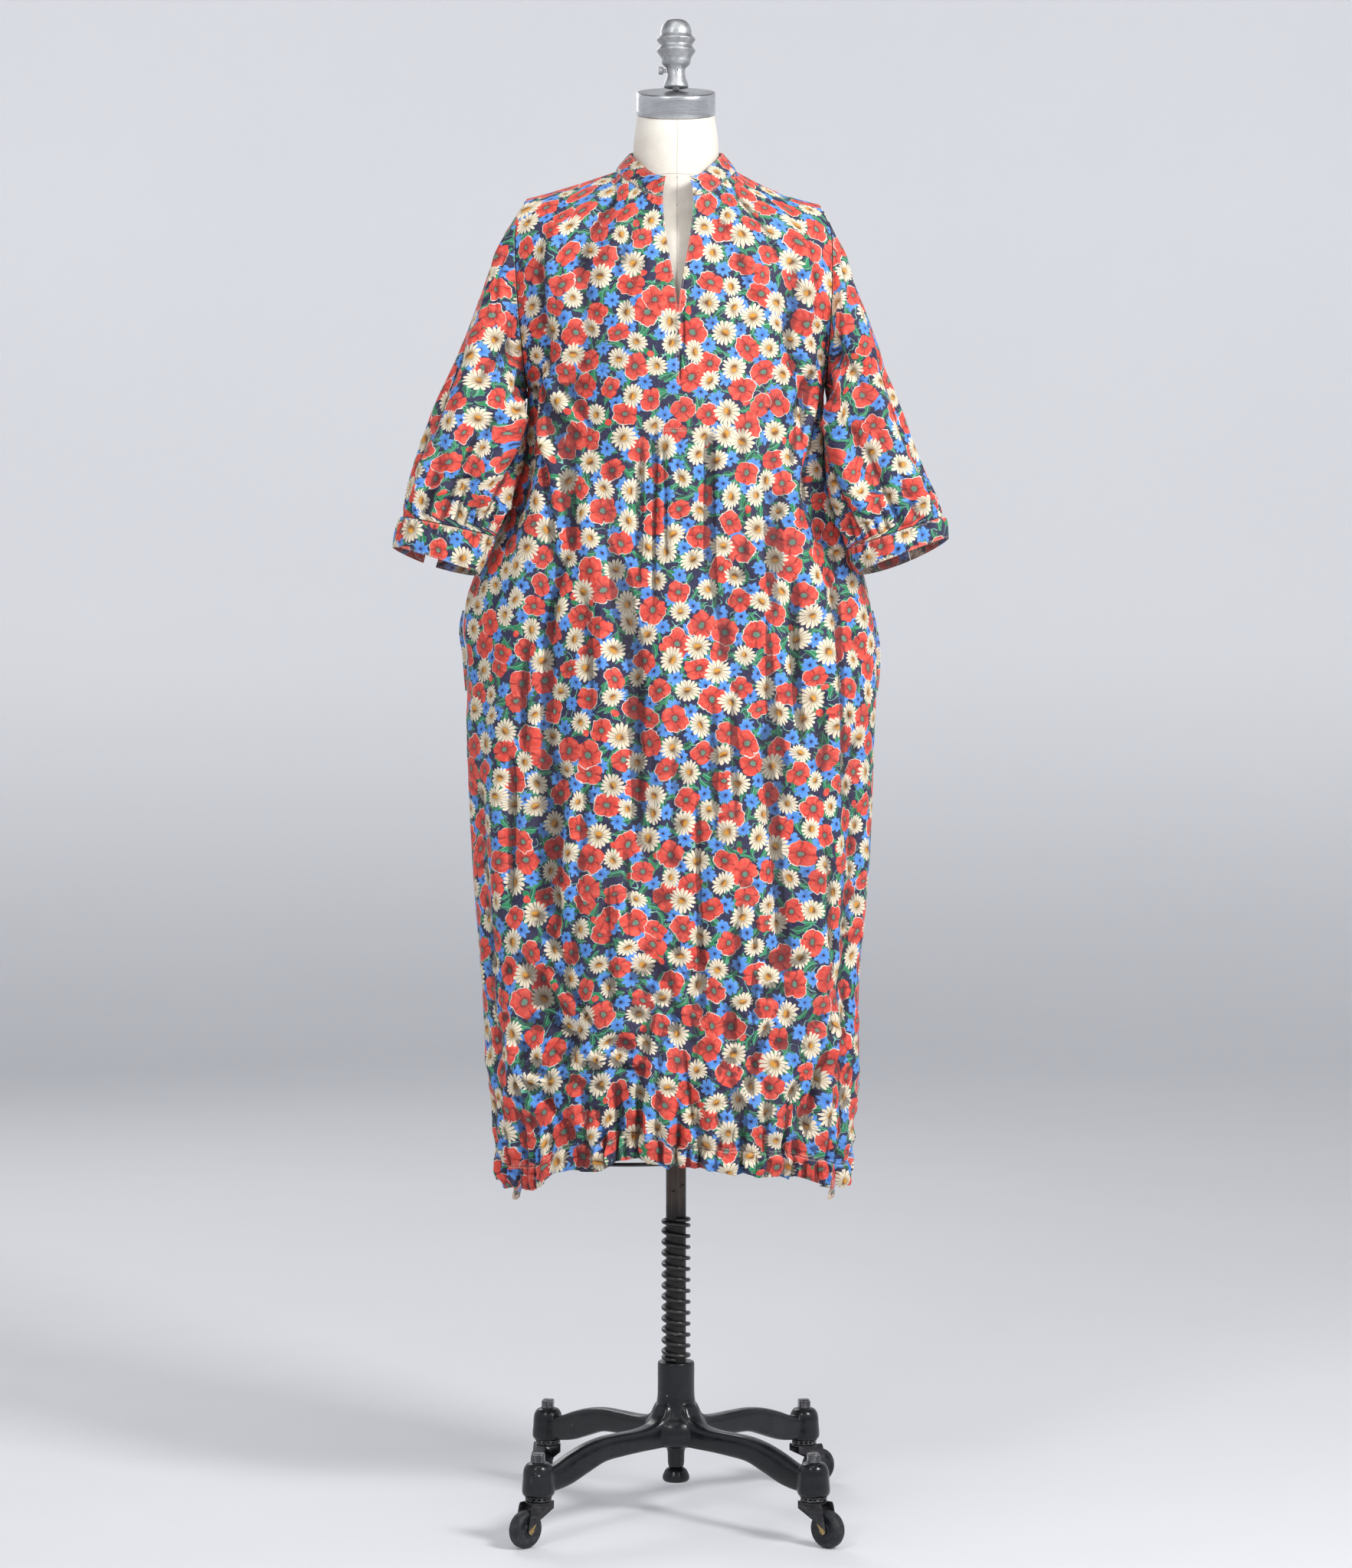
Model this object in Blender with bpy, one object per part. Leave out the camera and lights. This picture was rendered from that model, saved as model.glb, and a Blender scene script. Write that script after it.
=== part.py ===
"""A cocoon shirt dress on a limbless dress form, whose cast base stands on four casters.

Metres, +Z up, +X to the wearer's left as the viewer's right, the front faces -Y.
The origin is on the floor, under the pole.
"""

import math
from collections import namedtuple

import bmesh
import bpy
import numpy as np
from mathutils import Matrix, Vector

# ---------------------------------------------------------------- driving sizes
CLOTH = 0.0012  # wall of the cloth
SEAM = 0.0004  # gap between two pieces that are sewn together
ARMHOLE_GAP = 0.0010  # gap at the armhole, where the two walls meet at an angle
COLLAR_GAP = 0.0011  # from the neckline up to the collar's lower edge

NECK_HALF_WIDTH = 0.0735
NECK_FRONT = -0.0885  # how far forward the neckline's centre front lies
NECK_BACK = 0.0640
SHOULDER_Y = 0.006  # the shoulder seam's place from front to back
NECK_FRONT_HEIGHT = 1.632
NECK_BACK_HEIGHT = 1.682

ARMHOLE_TOP = 1.640
ARMHOLE_BOTTOM = 1.402
ARMHOLE_DEPTH = 0.062  # half the armhole's width from front to back

SLIT_BOTTOM = 1.487
SLIT_HALF = 0.0185  # half the opening's width at the neckline
SLIT_CENTRE = 0.0025  # the centre front lies a little to one side of the pole
HEM_HEIGHT = 0.470  # where the panels end and the casing begins
CASING_HEIGHT = 0.026
CASING_INSET = 0.0030

CUFF_WALL = 0.0016

POLE_RADIUS = 0.0125
POLE_FOOT = 0.1000
POLE_TOP = 1.180
TUBE_WALL = 0.0030
TUBE_CLEARANCE = 0.0004
TUBE_BOTTOM = 0.560
SPRING_WIRE = 0.0027  # radius of the wire
SPRING_RADIUS = 0.0157
SPRING_TURNS = 12
HUB_TOP = 0.1925
SPRING_TOP = 0.3745

CASTER_X = 0.166
CASTER_Y = 0.170
WHEEL_RADIUS = 0.0230
WHEEL_WIDTH = 0.0180
TRAIL = 0.0220

CAP_RADIUS = 0.0488
CAP_HEIGHT = 0.0280
CAP_TILT = math.radians(15)
CAP_CENTRE = 1.7575  # the middle of the cap's thickness

# ---------------------------------------------------------------- tables
Side = namedtuple("Side", "name sign tip_x tip_height neck_height sag")
SIDES = (
    Side("left", -1, 0.1830, 1.6400, 1.6735, 0.0010),
    Side("right", 1, 0.1757, 1.6330, 1.6740, 0.0050),
)

# The dress from the underarm down: half widths at the side seams, depths at the centres.
Section = namedtuple("Section", "height left right front back")
BODY = (
    Section(1.632, 0.183, 0.176, 0.0885, 0.0640),
    Section(1.560, 0.190, 0.186, 0.1080, 0.1000),
    Section(1.480, 0.189, 0.186, 0.1240, 0.1120),
    Section(1.402, 0.184, 0.183, 0.1330, 0.1140),
    Section(1.335, 0.190, 0.186, 0.1350, 0.1140),
    Section(1.259, 0.213, 0.199, 0.1370, 0.1170),
    Section(1.172, 0.250, 0.2330, 0.1400, 0.1220),
    Section(1.114, 0.2640, 0.2440, 0.1420, 0.1260),
    Section(1.070, 0.2590, 0.2480, 0.1430, 0.1290),
    Section(0.975, 0.2590, 0.2460, 0.1450, 0.1330),
    Section(0.817, 0.2530, 0.2404, 0.1480, 0.1370),
    Section(0.680, 0.2425, 0.2280, 0.1490, 0.1390),
    Section(0.560, 0.2340, 0.2265, 0.1480, 0.1400),
    Section(0.480, 0.2240, 0.2145, 0.1440, 0.1360),
    Section(0.420, 0.2290, 0.2190, 0.1400, 0.1330),
)

# The armhole seam, from the shoulder down: how far out it lies at each height.
Seam = namedtuple("Seam", "height out")
ARMHOLE = (
    Seam(1.640, 0.183),
    Seam(1.606, 0.1950),
    Seam(1.566, 0.1962),
    Seam(1.505, 0.1930),
    Seam(1.459, 0.1890),
    Seam(1.402, 0.1836),
)

# Sleeve sections: the outer edge, the inner edge, half the depth and the middle's depth.
Ring = namedtuple("Ring", "along out_x out_z in_x in_z depth middle")
SLEEVE_LEFT = (
    Ring(0.00, 0.1830, 1.6400, 0.1836, 1.4020, 0.0620, 0.006),
    Ring(0.13, 0.2150, 1.5880, 0.1862, 1.3850, 0.0680, 0.002),
    Ring(0.27, 0.2380, 1.5290, 0.1905, 1.3620, 0.0700, -0.004),
    Ring(0.42, 0.2570, 1.4750, 0.1975, 1.3350, 0.0690, -0.012),
    Ring(0.65, 0.2940, 1.3800, 0.2085, 1.2920, 0.0640, -0.026),
    Ring(0.83, 0.3165, 1.3130, 0.2215, 1.2590, 0.0590, -0.038),
    Ring(1.00, 0.3350, 1.2445, 0.2351, 1.2200, 0.0470, -0.048),
)
SLEEVE_RIGHT = (
    Ring(0.00, 0.1757, 1.6330, 0.1830, 1.4020, 0.0620, 0.006),
    Ring(0.13, 0.2020, 1.5800, 0.1855, 1.3830, 0.0670, 0.000),
    Ring(0.27, 0.2230, 1.5260, 0.1885, 1.3560, 0.0680, -0.010),
    Ring(0.42, 0.2430, 1.4715, 0.1905, 1.3240, 0.0660, -0.022),
    Ring(0.65, 0.2780, 1.3620, 0.1955, 1.2720, 0.0580, -0.045),
    Ring(0.83, 0.3020, 1.2960, 0.2050, 1.2380, 0.0520, -0.058),
    Ring(1.00, 0.3260, 1.2440, 0.2170, 1.2050, 0.0400, -0.066),
)
# The cuff below: its lower ring, the drop of its back edge, and the vent at the back.
Cuff = namedtuple("Cuff", "out_x out_z in_x in_z depth middle back_drop vent")
CUFF_LEFT = Cuff(0.3455, 1.2085, 0.2540, 1.1760, 0.0440, -0.050, 0.010, 0.014)
CUFF_RIGHT = Cuff(0.3320, 1.2195, 0.2235, 1.1770, 0.0370, -0.068, 0.012, 0.002)

# Folds: where each starts and ends (across: -1 left seam to 1 right seam), its width
# along the cloth and how far it stands out; a negative rise is a trough.
Fold = namedtuple("Fold", "top_across top_height low_across low_height width rise")
FRONT_FOLDS = (
    Fold(-0.115, 1.350, -0.105, 0.95, 0.020, -0.0080),
    Fold(-0.065, 1.345, -0.045, 0.80, 0.018, 0.0060),
    Fold(0.155, 1.345, 0.165, 0.86, 0.020, -0.0080),
    Fold(0.205, 1.345, 0.225, 0.80, 0.020, 0.0060),
    Fold(-0.62, 1.580, -0.50, 1.10, 0.034, 0.0090),
    Fold(-0.52, 1.560, -0.38, 1.00, 0.030, -0.0070),
    Fold(-0.78, 1.560, -0.72, 1.20, 0.026, -0.0060),
    Fold(0.52, 1.560, 0.44, 0.92, 0.036, 0.0080),
    Fold(0.64, 1.540, 0.58, 1.02, 0.028, -0.0080),
    Fold(0.78, 1.500, 0.74, 1.08, 0.030, 0.0060),
    Fold(-0.30, 1.300, -0.26, 0.56, 0.036, 0.0080),
    Fold(0.34, 1.260, 0.30, 0.62, 0.036, -0.0060),
    Fold(-0.58, 1.120, -0.62, 0.50, 0.034, 0.0080),
    Fold(-0.42, 1.050, -0.44, 0.52, 0.030, -0.0080),
    Fold(0.50, 0.980, 0.56, 0.52, 0.034, 0.0080),
    Fold(0.05, 0.980, 0.02, 0.50, 0.034, -0.0070),
    Fold(0.72, 1.020, 0.76, 0.55, 0.032, -0.0060),
    Fold(-0.80, 0.950, -0.76, 0.50, 0.030, -0.0060),
    Fold(-0.55, 0.740, -0.18, 0.60, 0.030, 0.0060),
    Fold(0.62, 0.720, 0.20, 0.58, 0.030, 0.0060),
)
BACK_FOLDS = (
    Fold(-0.55, 1.580, -0.46, 0.90, 0.040, 0.0080),
    Fold(0.55, 1.580, 0.48, 0.95, 0.040, 0.0080),
    Fold(-0.16, 1.560, -0.12, 0.70, 0.034, -0.0070),
    Fold(0.14, 1.560, 0.16, 0.74, 0.034, 0.0080),
    Fold(-0.32, 1.300, -0.30, 0.56, 0.038, 0.0080),
    Fold(0.34, 1.250, 0.32, 0.54, 0.036, -0.0080),
    Fold(0.70, 1.200, 0.66, 0.56, 0.034, 0.0070),
    Fold(-0.70, 1.180, -0.68, 0.52, 0.034, -0.0070),
    Fold(0.02, 0.900, -0.04, 0.50, 0.034, 0.0060),
    Fold(-0.52, 0.720, -0.20, 0.58, 0.030, 0.0060),
)
# Sleeve folds: places round the sleeve in turns from its outer edge, forward first.
SleeveFold = namedtuple("SleeveFold", "top_turn top_along low_turn low_along width rise")
SLEEVE_FOLDS = (
    SleeveFold(0.34, 0.02, 0.16, 0.55, 0.016, -0.0090),
    SleeveFold(0.22, 0.04, 0.10, 0.50, 0.018, 0.0070),
    SleeveFold(0.40, 0.20, 0.30, 0.98, 0.018, 0.0080),
    SleeveFold(0.30, 0.40, 0.22, 1.05, 0.014, -0.0070),
    SleeveFold(0.16, 0.35, 0.12, 1.05, 0.016, 0.0060),
    SleeveFold(0.66, 0.05, 0.82, 0.60, 0.018, -0.0080),
    SleeveFold(0.78, 0.30, 0.72, 1.00, 0.018, 0.0070),
    SleeveFold(0.90, 0.40, 0.88, 1.05, 0.014, -0.0050),
)
GATHERS_AT_CUFF = 9
HEM_GATHERS = 9  # gathers across each panel's hem

# The drawstring's free ends, from where each leaves the casing: up it, aside, out from it.
Fall = namedtuple("Fall", "up aside out")
TIE_LEFT_COLUMN = 4
TIE_RIGHT_COLUMN = -6
TIE_LEFT = (
    Fall(0.010, 0.001, 0.0000), Fall(0.001, 0.000, 0.0000), Fall(-0.007, -0.001, 0.0004),
    Fall(-0.015, -0.002, 0.0002),
)
TIE_RIGHT = (
    Fall(0.011, 0.003, 0.0000), Fall(0.001, 0.002, 0.0000), Fall(-0.007, 0.000, 0.0006),
    Fall(-0.016, -0.003, 0.0002),
)

# The hem's lower edge across the front and the back: how far it is lifted.
Lift = namedtuple("Lift", "across lift")
HEM_FRONT = (
    Lift(-1.00, -0.010), Lift(-0.80, -0.022), Lift(-0.55, -0.020), Lift(-0.42, 0.004),
    Lift(-0.26, 0.010), Lift(-0.16, 0.026), Lift(0.00, 0.010), Lift(0.22, 0.003),
    Lift(0.42, -0.003), Lift(0.60, -0.014), Lift(0.85, -0.026), Lift(1.00, -0.022),
)
HEM_BACK = (
    Lift(-1.00, -0.010), Lift(-0.70, -0.016), Lift(-0.30, 0.000), Lift(0.10, 0.008),
    Lift(0.40, -0.002), Lift(0.75, -0.018), Lift(1.00, -0.022),
)

# The form under the dress.
Torso = namedtuple("Torso", "height half front back")
TORSO = (
    Torso(0.930, 0.1500, 0.0980, 0.1000),
    Torso(1.000, 0.1640, 0.1060, 0.1100),
    Torso(1.080, 0.1680, 0.1080, 0.1130),
    Torso(1.180, 0.1440, 0.0960, 0.0950),
    Torso(1.270, 0.1200, 0.0900, 0.0760),
    Torso(1.360, 0.1350, 0.1020, 0.0820),
    Torso(1.440, 0.1480, 0.1130, 0.0900),
    Torso(1.520, 0.1560, 0.1040, 0.0920),
    Torso(1.580, 0.1600, 0.0860, 0.0800),
)

# Turned outlines, from the top down the outer side: radius and height.
Turn = namedtuple("Turn", "radius height")
FINIAL = (
    Turn(0.0060, 1.8606), Turn(0.0115, 1.8590), Turn(0.0163, 1.8545), Turn(0.0190, 1.8475),
    Turn(0.0197, 1.8415), Turn(0.0238, 1.8368), Turn(0.0238, 1.8352), Turn(0.0202, 1.8300),
    Turn(0.0202, 1.8278), Turn(0.0238, 1.8229), Turn(0.0236, 1.8210), Turn(0.0190, 1.8140),
    Turn(0.0172, 1.8060), Turn(0.0118, 1.8005), Turn(0.0112, 1.7950), Turn(0.0118, 1.7900),
    Turn(0.0151, 1.7800), Turn(0.0148, 1.7768), Turn(0.0045, 1.7766), Turn(0.0045, 1.7738),
)
HUB = (
    Turn(0.0215, HUB_TOP), Turn(0.0230, 0.1905), Turn(0.0230, 0.1600), Turn(0.0242, 0.1420),
    Turn(0.0285, 0.1250), Turn(0.0360, 0.1120), Turn(0.0340, 0.0950), Turn(0.0240, 0.0870),
    Turn(0.0122, 0.0840), Turn(0.0092, 0.0590),
)
BOSS = (
    Turn(0.0095, 0.1005), Turn(0.0145, 0.0983), Turn(0.0180, 0.0915), Turn(0.0190, 0.0800),
    Turn(0.0186, 0.0610),
)
FOOT = (
    Turn(0.0100, 0.0585), Turn(0.0130, 0.0560), Turn(0.0168, 0.0480), Turn(0.0168, 0.0450),
    Turn(0.0140, 0.0415),
)
WHEEL = (
    Turn(0.0180, 0.0086), Turn(0.0212, 0.0066), Turn(0.0230, 0.0032),
    Turn(0.0230, -0.0032), Turn(0.0212, -0.0066), Turn(0.0180, -0.0086),
)
# The legs, from the hub outwards: top, underside and half the width.
Leg = namedtuple("Leg", "reach top bottom half")
LEG = (
    Leg(0.010, 0.1450, 0.0880, 0.0150),
    Leg(0.0255, 0.1410, 0.0880, 0.0145),
    Leg(0.035, 0.1265, 0.0880, 0.0138),
    Leg(0.048, 0.1190, 0.0880, 0.0128),
    Leg(0.070, 0.1160, 0.0880, 0.0118),
    Leg(0.100, 0.1160, 0.0872, 0.0108),
    Leg(0.130, 0.1155, 0.0850, 0.0102),
    Leg(0.158, 0.1115, 0.0760, 0.0098),
    Leg(0.186, 0.1035, 0.0665, 0.0095),
    Leg(0.210, 0.0945, 0.0625, 0.0092),
    Leg(0.2376, 0.0880, 0.0615, 0.0090),
)
# The casters: where each stands and the way its wheel trails at rest.
Caster = namedtuple("Caster", "name x_sign y_sign trail_x trail_y")
CASTERS = (
    Caster("front_left", -1, -1, -0.69, -0.72),
    Caster("front_right", 1, -1, 0.75, -0.66),
    Caster("rear_left", -1, 1, -0.40, 0.92),
    Caster("rear_right", 1, 1, 0.85, 0.53),
)

# ---------------------------------------------------------------- smaller sizes
CASING_GAP = 0.0007
CASING_WALL = 0.0016
CUFF_GAP = 0.0008
UNDERARM_GAP = 0.0014  # what the armhole's gap grows by under the arm
ARMHOLE_BLEND = 0.30  # the share of the sleeve that turns from the armhole to its rings
SLEEVE_GIRTH = 0.40
GATHER_RISE = 0.0040
VENT_TURN = 0.783  # where the cuff's vent lies, in turns from the outer edge
COLLAR_WALL = 0.0016
COLLAR_TOP_HALF = 0.0570  # the collar's upper edge: half its width, its front and its back
COLLAR_TOP_FRONT = -0.0860
COLLAR_TOP_BACK = 0.0582
COLLAR_RISE_FRONT = 0.0235
COLLAR_RISE_SIDE = 0.0210
COLLAR_RISE_BACK = 0.0290
TIE_WIDTH = 0.0100
TIE_WALL = 0.0016
TIE_GAP = 0.0005
POCKET_TOP = 1.130
POCKET_HEIGHT = 0.100
POCKET_LIP = 0.0030
POCKET_WALL = 0.0020
POCKET_GAP = 0.0008

SHOULDER_EDGE = 8  # how sharply the form's shoulder falls away from its ridge
SHOULDER_CLEARANCE = 0.0080
SHOULDER_RINGS = (
    Torso(1.6000, 0.1560, 0.0720, 0.0700),
    Torso(1.6180, 0.1150, 0.0680, 0.0640),
    Torso(1.6330, 0.0750, 0.0670, 0.0590),
)
NECK_RINGS = (
    Torso(1.6720, 0.0565, 0.0620, 0.0580),
    Torso(1.6950, 0.0532, 0.0570, 0.0566),
    Torso(1.7120, 0.0520, 0.0530, 0.0568),
)
NECK_TOP = 0.0478
NECK_TOP_DROP = -CAP_HEIGHT / 2 - 0.0004
BORE_TOP = 1.312
TUBE_TOP = 1.310
SCREW_HEIGHT = 1.7975
SCREW = (
    Turn(0.0030, 0.0216), Turn(0.0046, 0.0206), Turn(0.0046, 0.0166), Turn(0.0022, 0.0156),
    Turn(0.0022, 0.0121),
)
HOOP_RADIUS = 0.1250
HOOP_HEIGHT = 0.4470
HOOP_WIRE = 0.0024
HOOP_PITCH = math.radians(-4)
HOOP_ROLL = math.radians(-2)
CAGE_WIRES = 4
CAGE_WIRE = 0.0018
CAGE_TOP_RADIUS = 0.0850
CAGE_BOW = 0.0120
CLOSED_TURNS = 1
SET_SCREW = (Turn(0.0050, 0.0016), Turn(0.0062, 0.0004), Turn(0.0062, -0.0080))
SET_SCREW_OUT = 0.0190
SET_SCREW_HEIGHT = 0.0830
BOLT_WIDTH = 0.0145
BOLT_BOTTOM = 0.1009
BOLT_TOP = 0.1115
BOLT_TURN = math.radians(8)
RACE = (
    Turn(0.0150, 0.0606), Turn(0.0168, 0.0590), Turn(0.0168, 0.0560), Turn(0.0140, 0.0544),
)
PLATE_TOP = 0.0540
PLATE_RADIUS = 0.0165
PLATE_WALL = 0.0022
FORK_WALL = 0.0018
FORK_GAP = 0.0010
FORK_TIP = 0.0058
AXLE_RADIUS = 0.0032
WHEEL_BORE = 0.0036

# ---------------------------------------------------------------- counts
FRONT_NECK = 6  # columns from the centre front to the neck point
FRONT_SHOULDER = 9
BACK_NECK = 5
BACK_SHOULDER = 6
SLIT_EASE_COLUMNS = 3
ARMHOLE_ROWS = 9
SKIRT_ROWS = 17
CASING_ROWS = 2
COLLAR_ROWS = 3
SLEEVE_SIDES = 18
SLEEVE_ROWS = 11
CUFF_SIDES = 20
CUFF_ROWS = 2
POCKET_STEPS = 8
TORSO_SIDES = 24
CAP_SIDES = 32
FINIAL_SIDES = 16
SCREW_SIDES = 8
POLE_SIDES = 20
HOOP_STEPS = 30
CAGE_STEPS = 6
SPRING_STEPS = 9
HUB_SIDES = 16
BOSS_SIDES = 12
FOOT_SIDES = 16
WHEEL_SIDES = 18
FORK_SIDES = 12
FORK_TIP_STEPS = 5
NECK_SHARE = 0.34  # the neckline's share of half a panel's width
# A wheel rests on one flat of its outline, so its axle is that much lower than its radius.
AXLE_HEIGHT = WHEEL_RADIUS * math.cos(math.pi / WHEEL_SIDES)


# ---------------------------------------------------------------- helpers
def curve(rows, key, value, at):
    """A smooth curve through a table's rows, read at one place."""
    rows = sorted(rows, key=lambda row: getattr(row, key))
    xs = [getattr(row, key) for row in rows]
    ys = [getattr(row, value) for row in rows]
    at = min(max(at, xs[0]), xs[-1])
    right = next(index for index in range(1, len(xs)) if at <= xs[index] or index == len(xs) - 1)
    left = right - 1
    before, after = max(left - 1, 0), min(right + 1, len(xs) - 1)
    span = xs[right] - xs[left]
    slope_left = (ys[right] - ys[before]) / (xs[right] - xs[before])
    slope_right = (ys[after] - ys[left]) / (xs[after] - xs[left])
    s = (at - xs[left]) / span
    return (
        ys[left] * (2 * s**3 - 3 * s**2 + 1)
        + ys[right] * (3 * s**2 - 2 * s**3)
        + span * slope_left * (s**3 - 2 * s**2 + s)
        + span * slope_right * (s**3 - s**2)
    )


def smooth(low, high, value):
    s = min(max((value - low) / (high - low), 0.0), 1.0)
    return s * s * (3 - 2 * s)


def normals_of(grid):
    """Unit normals of a grid of points, rows by columns."""
    across = np.gradient(grid, axis=1)
    down = np.gradient(grid, axis=0)
    normals = np.cross(down, across)
    return normals / np.maximum(np.linalg.norm(normals, axis=2, keepdims=True), 1e-9)


def material(name, colour, roughness, metallic=0.0):
    made = bpy.data.materials.new(name)
    made.use_nodes = True
    shader = made.node_tree.nodes["Principled BSDF"]
    shader.inputs["Base Color"].default_value = (*colour, 1.0)
    shader.inputs["Roughness"].default_value = roughness
    shader.inputs["Metallic"].default_value = metallic
    return made


def add_object(name, vertices, faces, finish, smooth_angle=math.radians(40)):
    mesh = bpy.data.meshes.new(name)
    mesh.from_pydata([tuple(point) for point in vertices], [], faces)
    mesh.validate()
    shape = bmesh.new()
    shape.from_mesh(mesh)
    bmesh.ops.recalc_face_normals(shape, faces=shape.faces)
    shape.to_mesh(mesh)
    shape.free()
    mesh.shade_smooth()
    mesh.set_sharp_from_angle(angle=smooth_angle)
    mesh.materials.append(finish)
    made = bpy.data.objects.new(name, mesh)
    bpy.context.scene.collection.objects.link(made)
    return made


def halves_of(points, quad):
    """A quad's two triangles, split along its shorter diagonal."""
    a, b, c, d = quad
    if np.linalg.norm(points[a] - points[c]) <= np.linalg.norm(points[b] - points[d]):
        return [a, b, c], [a, c, d]
    return [a, b, d], [b, c, d]


def thicken(points, normals, faces, wall):
    """A closed wall round a surface: the points moved both ways, and its open edges filled."""
    points, normals = np.asarray(points), np.asarray(normals)
    count = len(points)
    vertices = np.concatenate([points + normals * wall / 2, points - normals * wall / 2])
    # Both sides of the wall are split along the same diagonals, so that they stay apart.
    faces = [half for face in faces for half in halves_of(points, face)]
    edges = {}
    for face in faces:
        for start, end in zip(face, face[1:] + face[:1]):
            edges[(start, end)] = True
    closed = [list(face) for face in faces]
    closed += [[index + count for index in reversed(face)] for face in faces]
    for start, end in edges:
        if (end, start) not in edges:
            closed.append([end, start, start + count, end + count])
    return vertices, closed


def grid_faces(rows, columns, wrap=False, skip=None):
    """Quads over a grid of rows by columns; skip leaves some cells out."""
    faces = []
    for row in range(rows - 1):
        for column in range(columns if wrap else columns - 1):
            if skip and skip(row, column):
                continue
            following = (column + 1) % columns
            faces.append(
                [
                    row * columns + column,
                    (row + 1) * columns + column,
                    (row + 1) * columns + following,
                    row * columns + following,
                ]
            )
    return faces


def add_cloth(name, points, normals, faces, wall, finish):
    """A cloth piece: a closed wall round the points that its faces use."""
    used = sorted({index for face in faces for index in face})
    place = {index: position for position, index in enumerate(used)}
    faces = [[place[index] for index in face] for face in faces]
    vertices, closed = thicken(points[used], normals[used], faces, wall)
    return add_object(name, vertices, closed, finish, math.radians(60))


def turned(name, outline, sides, finish, bore=0.0, centre=(0, 0, 0), turn=None):
    """A turned piece, closed at both ends, or with a bore right through."""
    vertices, faces = [], []
    outline = list(outline)
    if bore:
        outline.append(Turn(bore, outline[-1].height))
        outline.append(Turn(bore, outline[0].height))
    count = len(outline)
    for row in outline:
        for step in range(sides):
            angle = 2 * math.pi * step / sides
            vertices.append(
                Vector((row.radius * math.cos(angle), row.radius * math.sin(angle), row.height))
            )
    rings = count if bore else count - 1
    for ring in range(rings):
        low = (ring + 1) % count
        for step in range(sides):
            after = (step + 1) % sides
            faces.append(
                [
                    ring * sides + step,
                    low * sides + step,
                    low * sides + after,
                    ring * sides + after,
                ]
            )
    if not bore:
        faces.append(list(range(sides)))
        faces.append([(count - 1) * sides + step for step in reversed(range(sides))])
    turn = turn or Matrix.Identity(3)
    placed = [turn @ point + Vector(centre) for point in vertices]
    return add_object(name, placed, faces, finish)


def swept(name, path, profile, finish, closed_path=False):
    """A profile of (sideways, up) pairs carried along a path of (point, sideways, up)."""
    vertices, faces = [], []
    sides = len(profile)
    for point, sideways, upward in path:
        for across, height in profile:
            vertices.append(point + sideways * across + upward * height)
    rings = len(path)
    for ring in range(rings if closed_path else rings - 1):
        following = (ring + 1) % rings
        for step in range(sides):
            after = (step + 1) % sides
            faces.append(
                [
                    ring * sides + step,
                    ring * sides + after,
                    following * sides + after,
                    following * sides + step,
                ]
            )
    if not closed_path:
        faces.append(list(reversed(range(sides))))
        faces.append([(rings - 1) * sides + step for step in range(sides)])
    return add_object(name, vertices, faces, finish)


def round_profile(radius, sides):
    return [
        (radius * math.cos(2 * math.pi * k / sides), radius * math.sin(2 * math.pi * k / sides))
        for k in range(sides)
    ]


def union(target, others):
    return join(target, others, "UNION")


def join(target, others, operation):
    """Joins solids into one body, or cuts them away, with exact Booleans."""
    for other in others:
        cut = target.modifiers.new("join", "BOOLEAN")
        cut.operation = operation
        cut.solver = "EXACT"
        cut.object = other
        bpy.context.view_layer.objects.active = target
        with bpy.context.temp_override(object=target, active_object=target):
            bpy.ops.object.modifier_apply(modifier=cut.name)
        bpy.data.objects.remove(other, do_unlink=True)
    target.data.shade_smooth()
    target.data.set_sharp_from_angle(angle=math.radians(40))
    return target


# ---------------------------------------------------------------- the dress: shape
def armhole_point(side, turn, face):
    """A point of the armhole seam. turn: 0 at the shoulder, pi under the arm. face: -1 front."""
    drop = ARMHOLE_TOP - side.tip_height
    middle = (ARMHOLE_TOP + ARMHOLE_BOTTOM) / 2
    half = (ARMHOLE_TOP - ARMHOLE_BOTTOM) / 2
    height = middle + half * math.cos(turn)
    out = curve(ARMHOLE, "height", "out", height)
    fade = (1 + math.cos(turn)) / 2
    out += (side.tip_x - ARMHOLE[0].out) * fade
    depth = SHOULDER_Y + face * ARMHOLE_DEPTH * math.sin(turn)
    return np.array([side.sign * out, depth, height - drop * fade])


def top_edge(side, across, face):
    """The panel's upper boundary: the neckline, then the shoulder seam to its tip."""
    neck_y = NECK_FRONT if face < 0 else NECK_BACK
    neck_z = NECK_FRONT_HEIGHT if face < 0 else NECK_BACK_HEIGHT
    if across <= NECK_SHARE:
        turn = across / NECK_SHARE * math.pi / 2
        x = side.sign * NECK_HALF_WIDTH * math.sin(turn)
        y = SHOULDER_Y + (neck_y - SHOULDER_Y) * math.cos(turn)
        z = side.neck_height + (neck_z - side.neck_height) * math.cos(turn) ** 1.5
        return np.array([x, y, z])
    share = (across - NECK_SHARE) / (1 - NECK_SHARE)
    neck = np.array([side.sign * NECK_HALF_WIDTH, SHOULDER_Y, side.neck_height])
    tip = np.array([side.sign * side.tip_x, SHOULDER_Y, side.tip_height])
    point = neck + (tip - neck) * share
    point[2] -= side.sag * math.sin(math.pi * share)
    return point


def row_places():
    """Each row's place: the armhole's turn, or the height below it."""
    rows = [("armhole", k / ARMHOLE_ROWS) for k in range(ARMHOLE_ROWS + 1)]
    rows += [("skirt", k / SKIRT_ROWS) for k in range(1, SKIRT_ROWS + 1)]
    return rows


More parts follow.
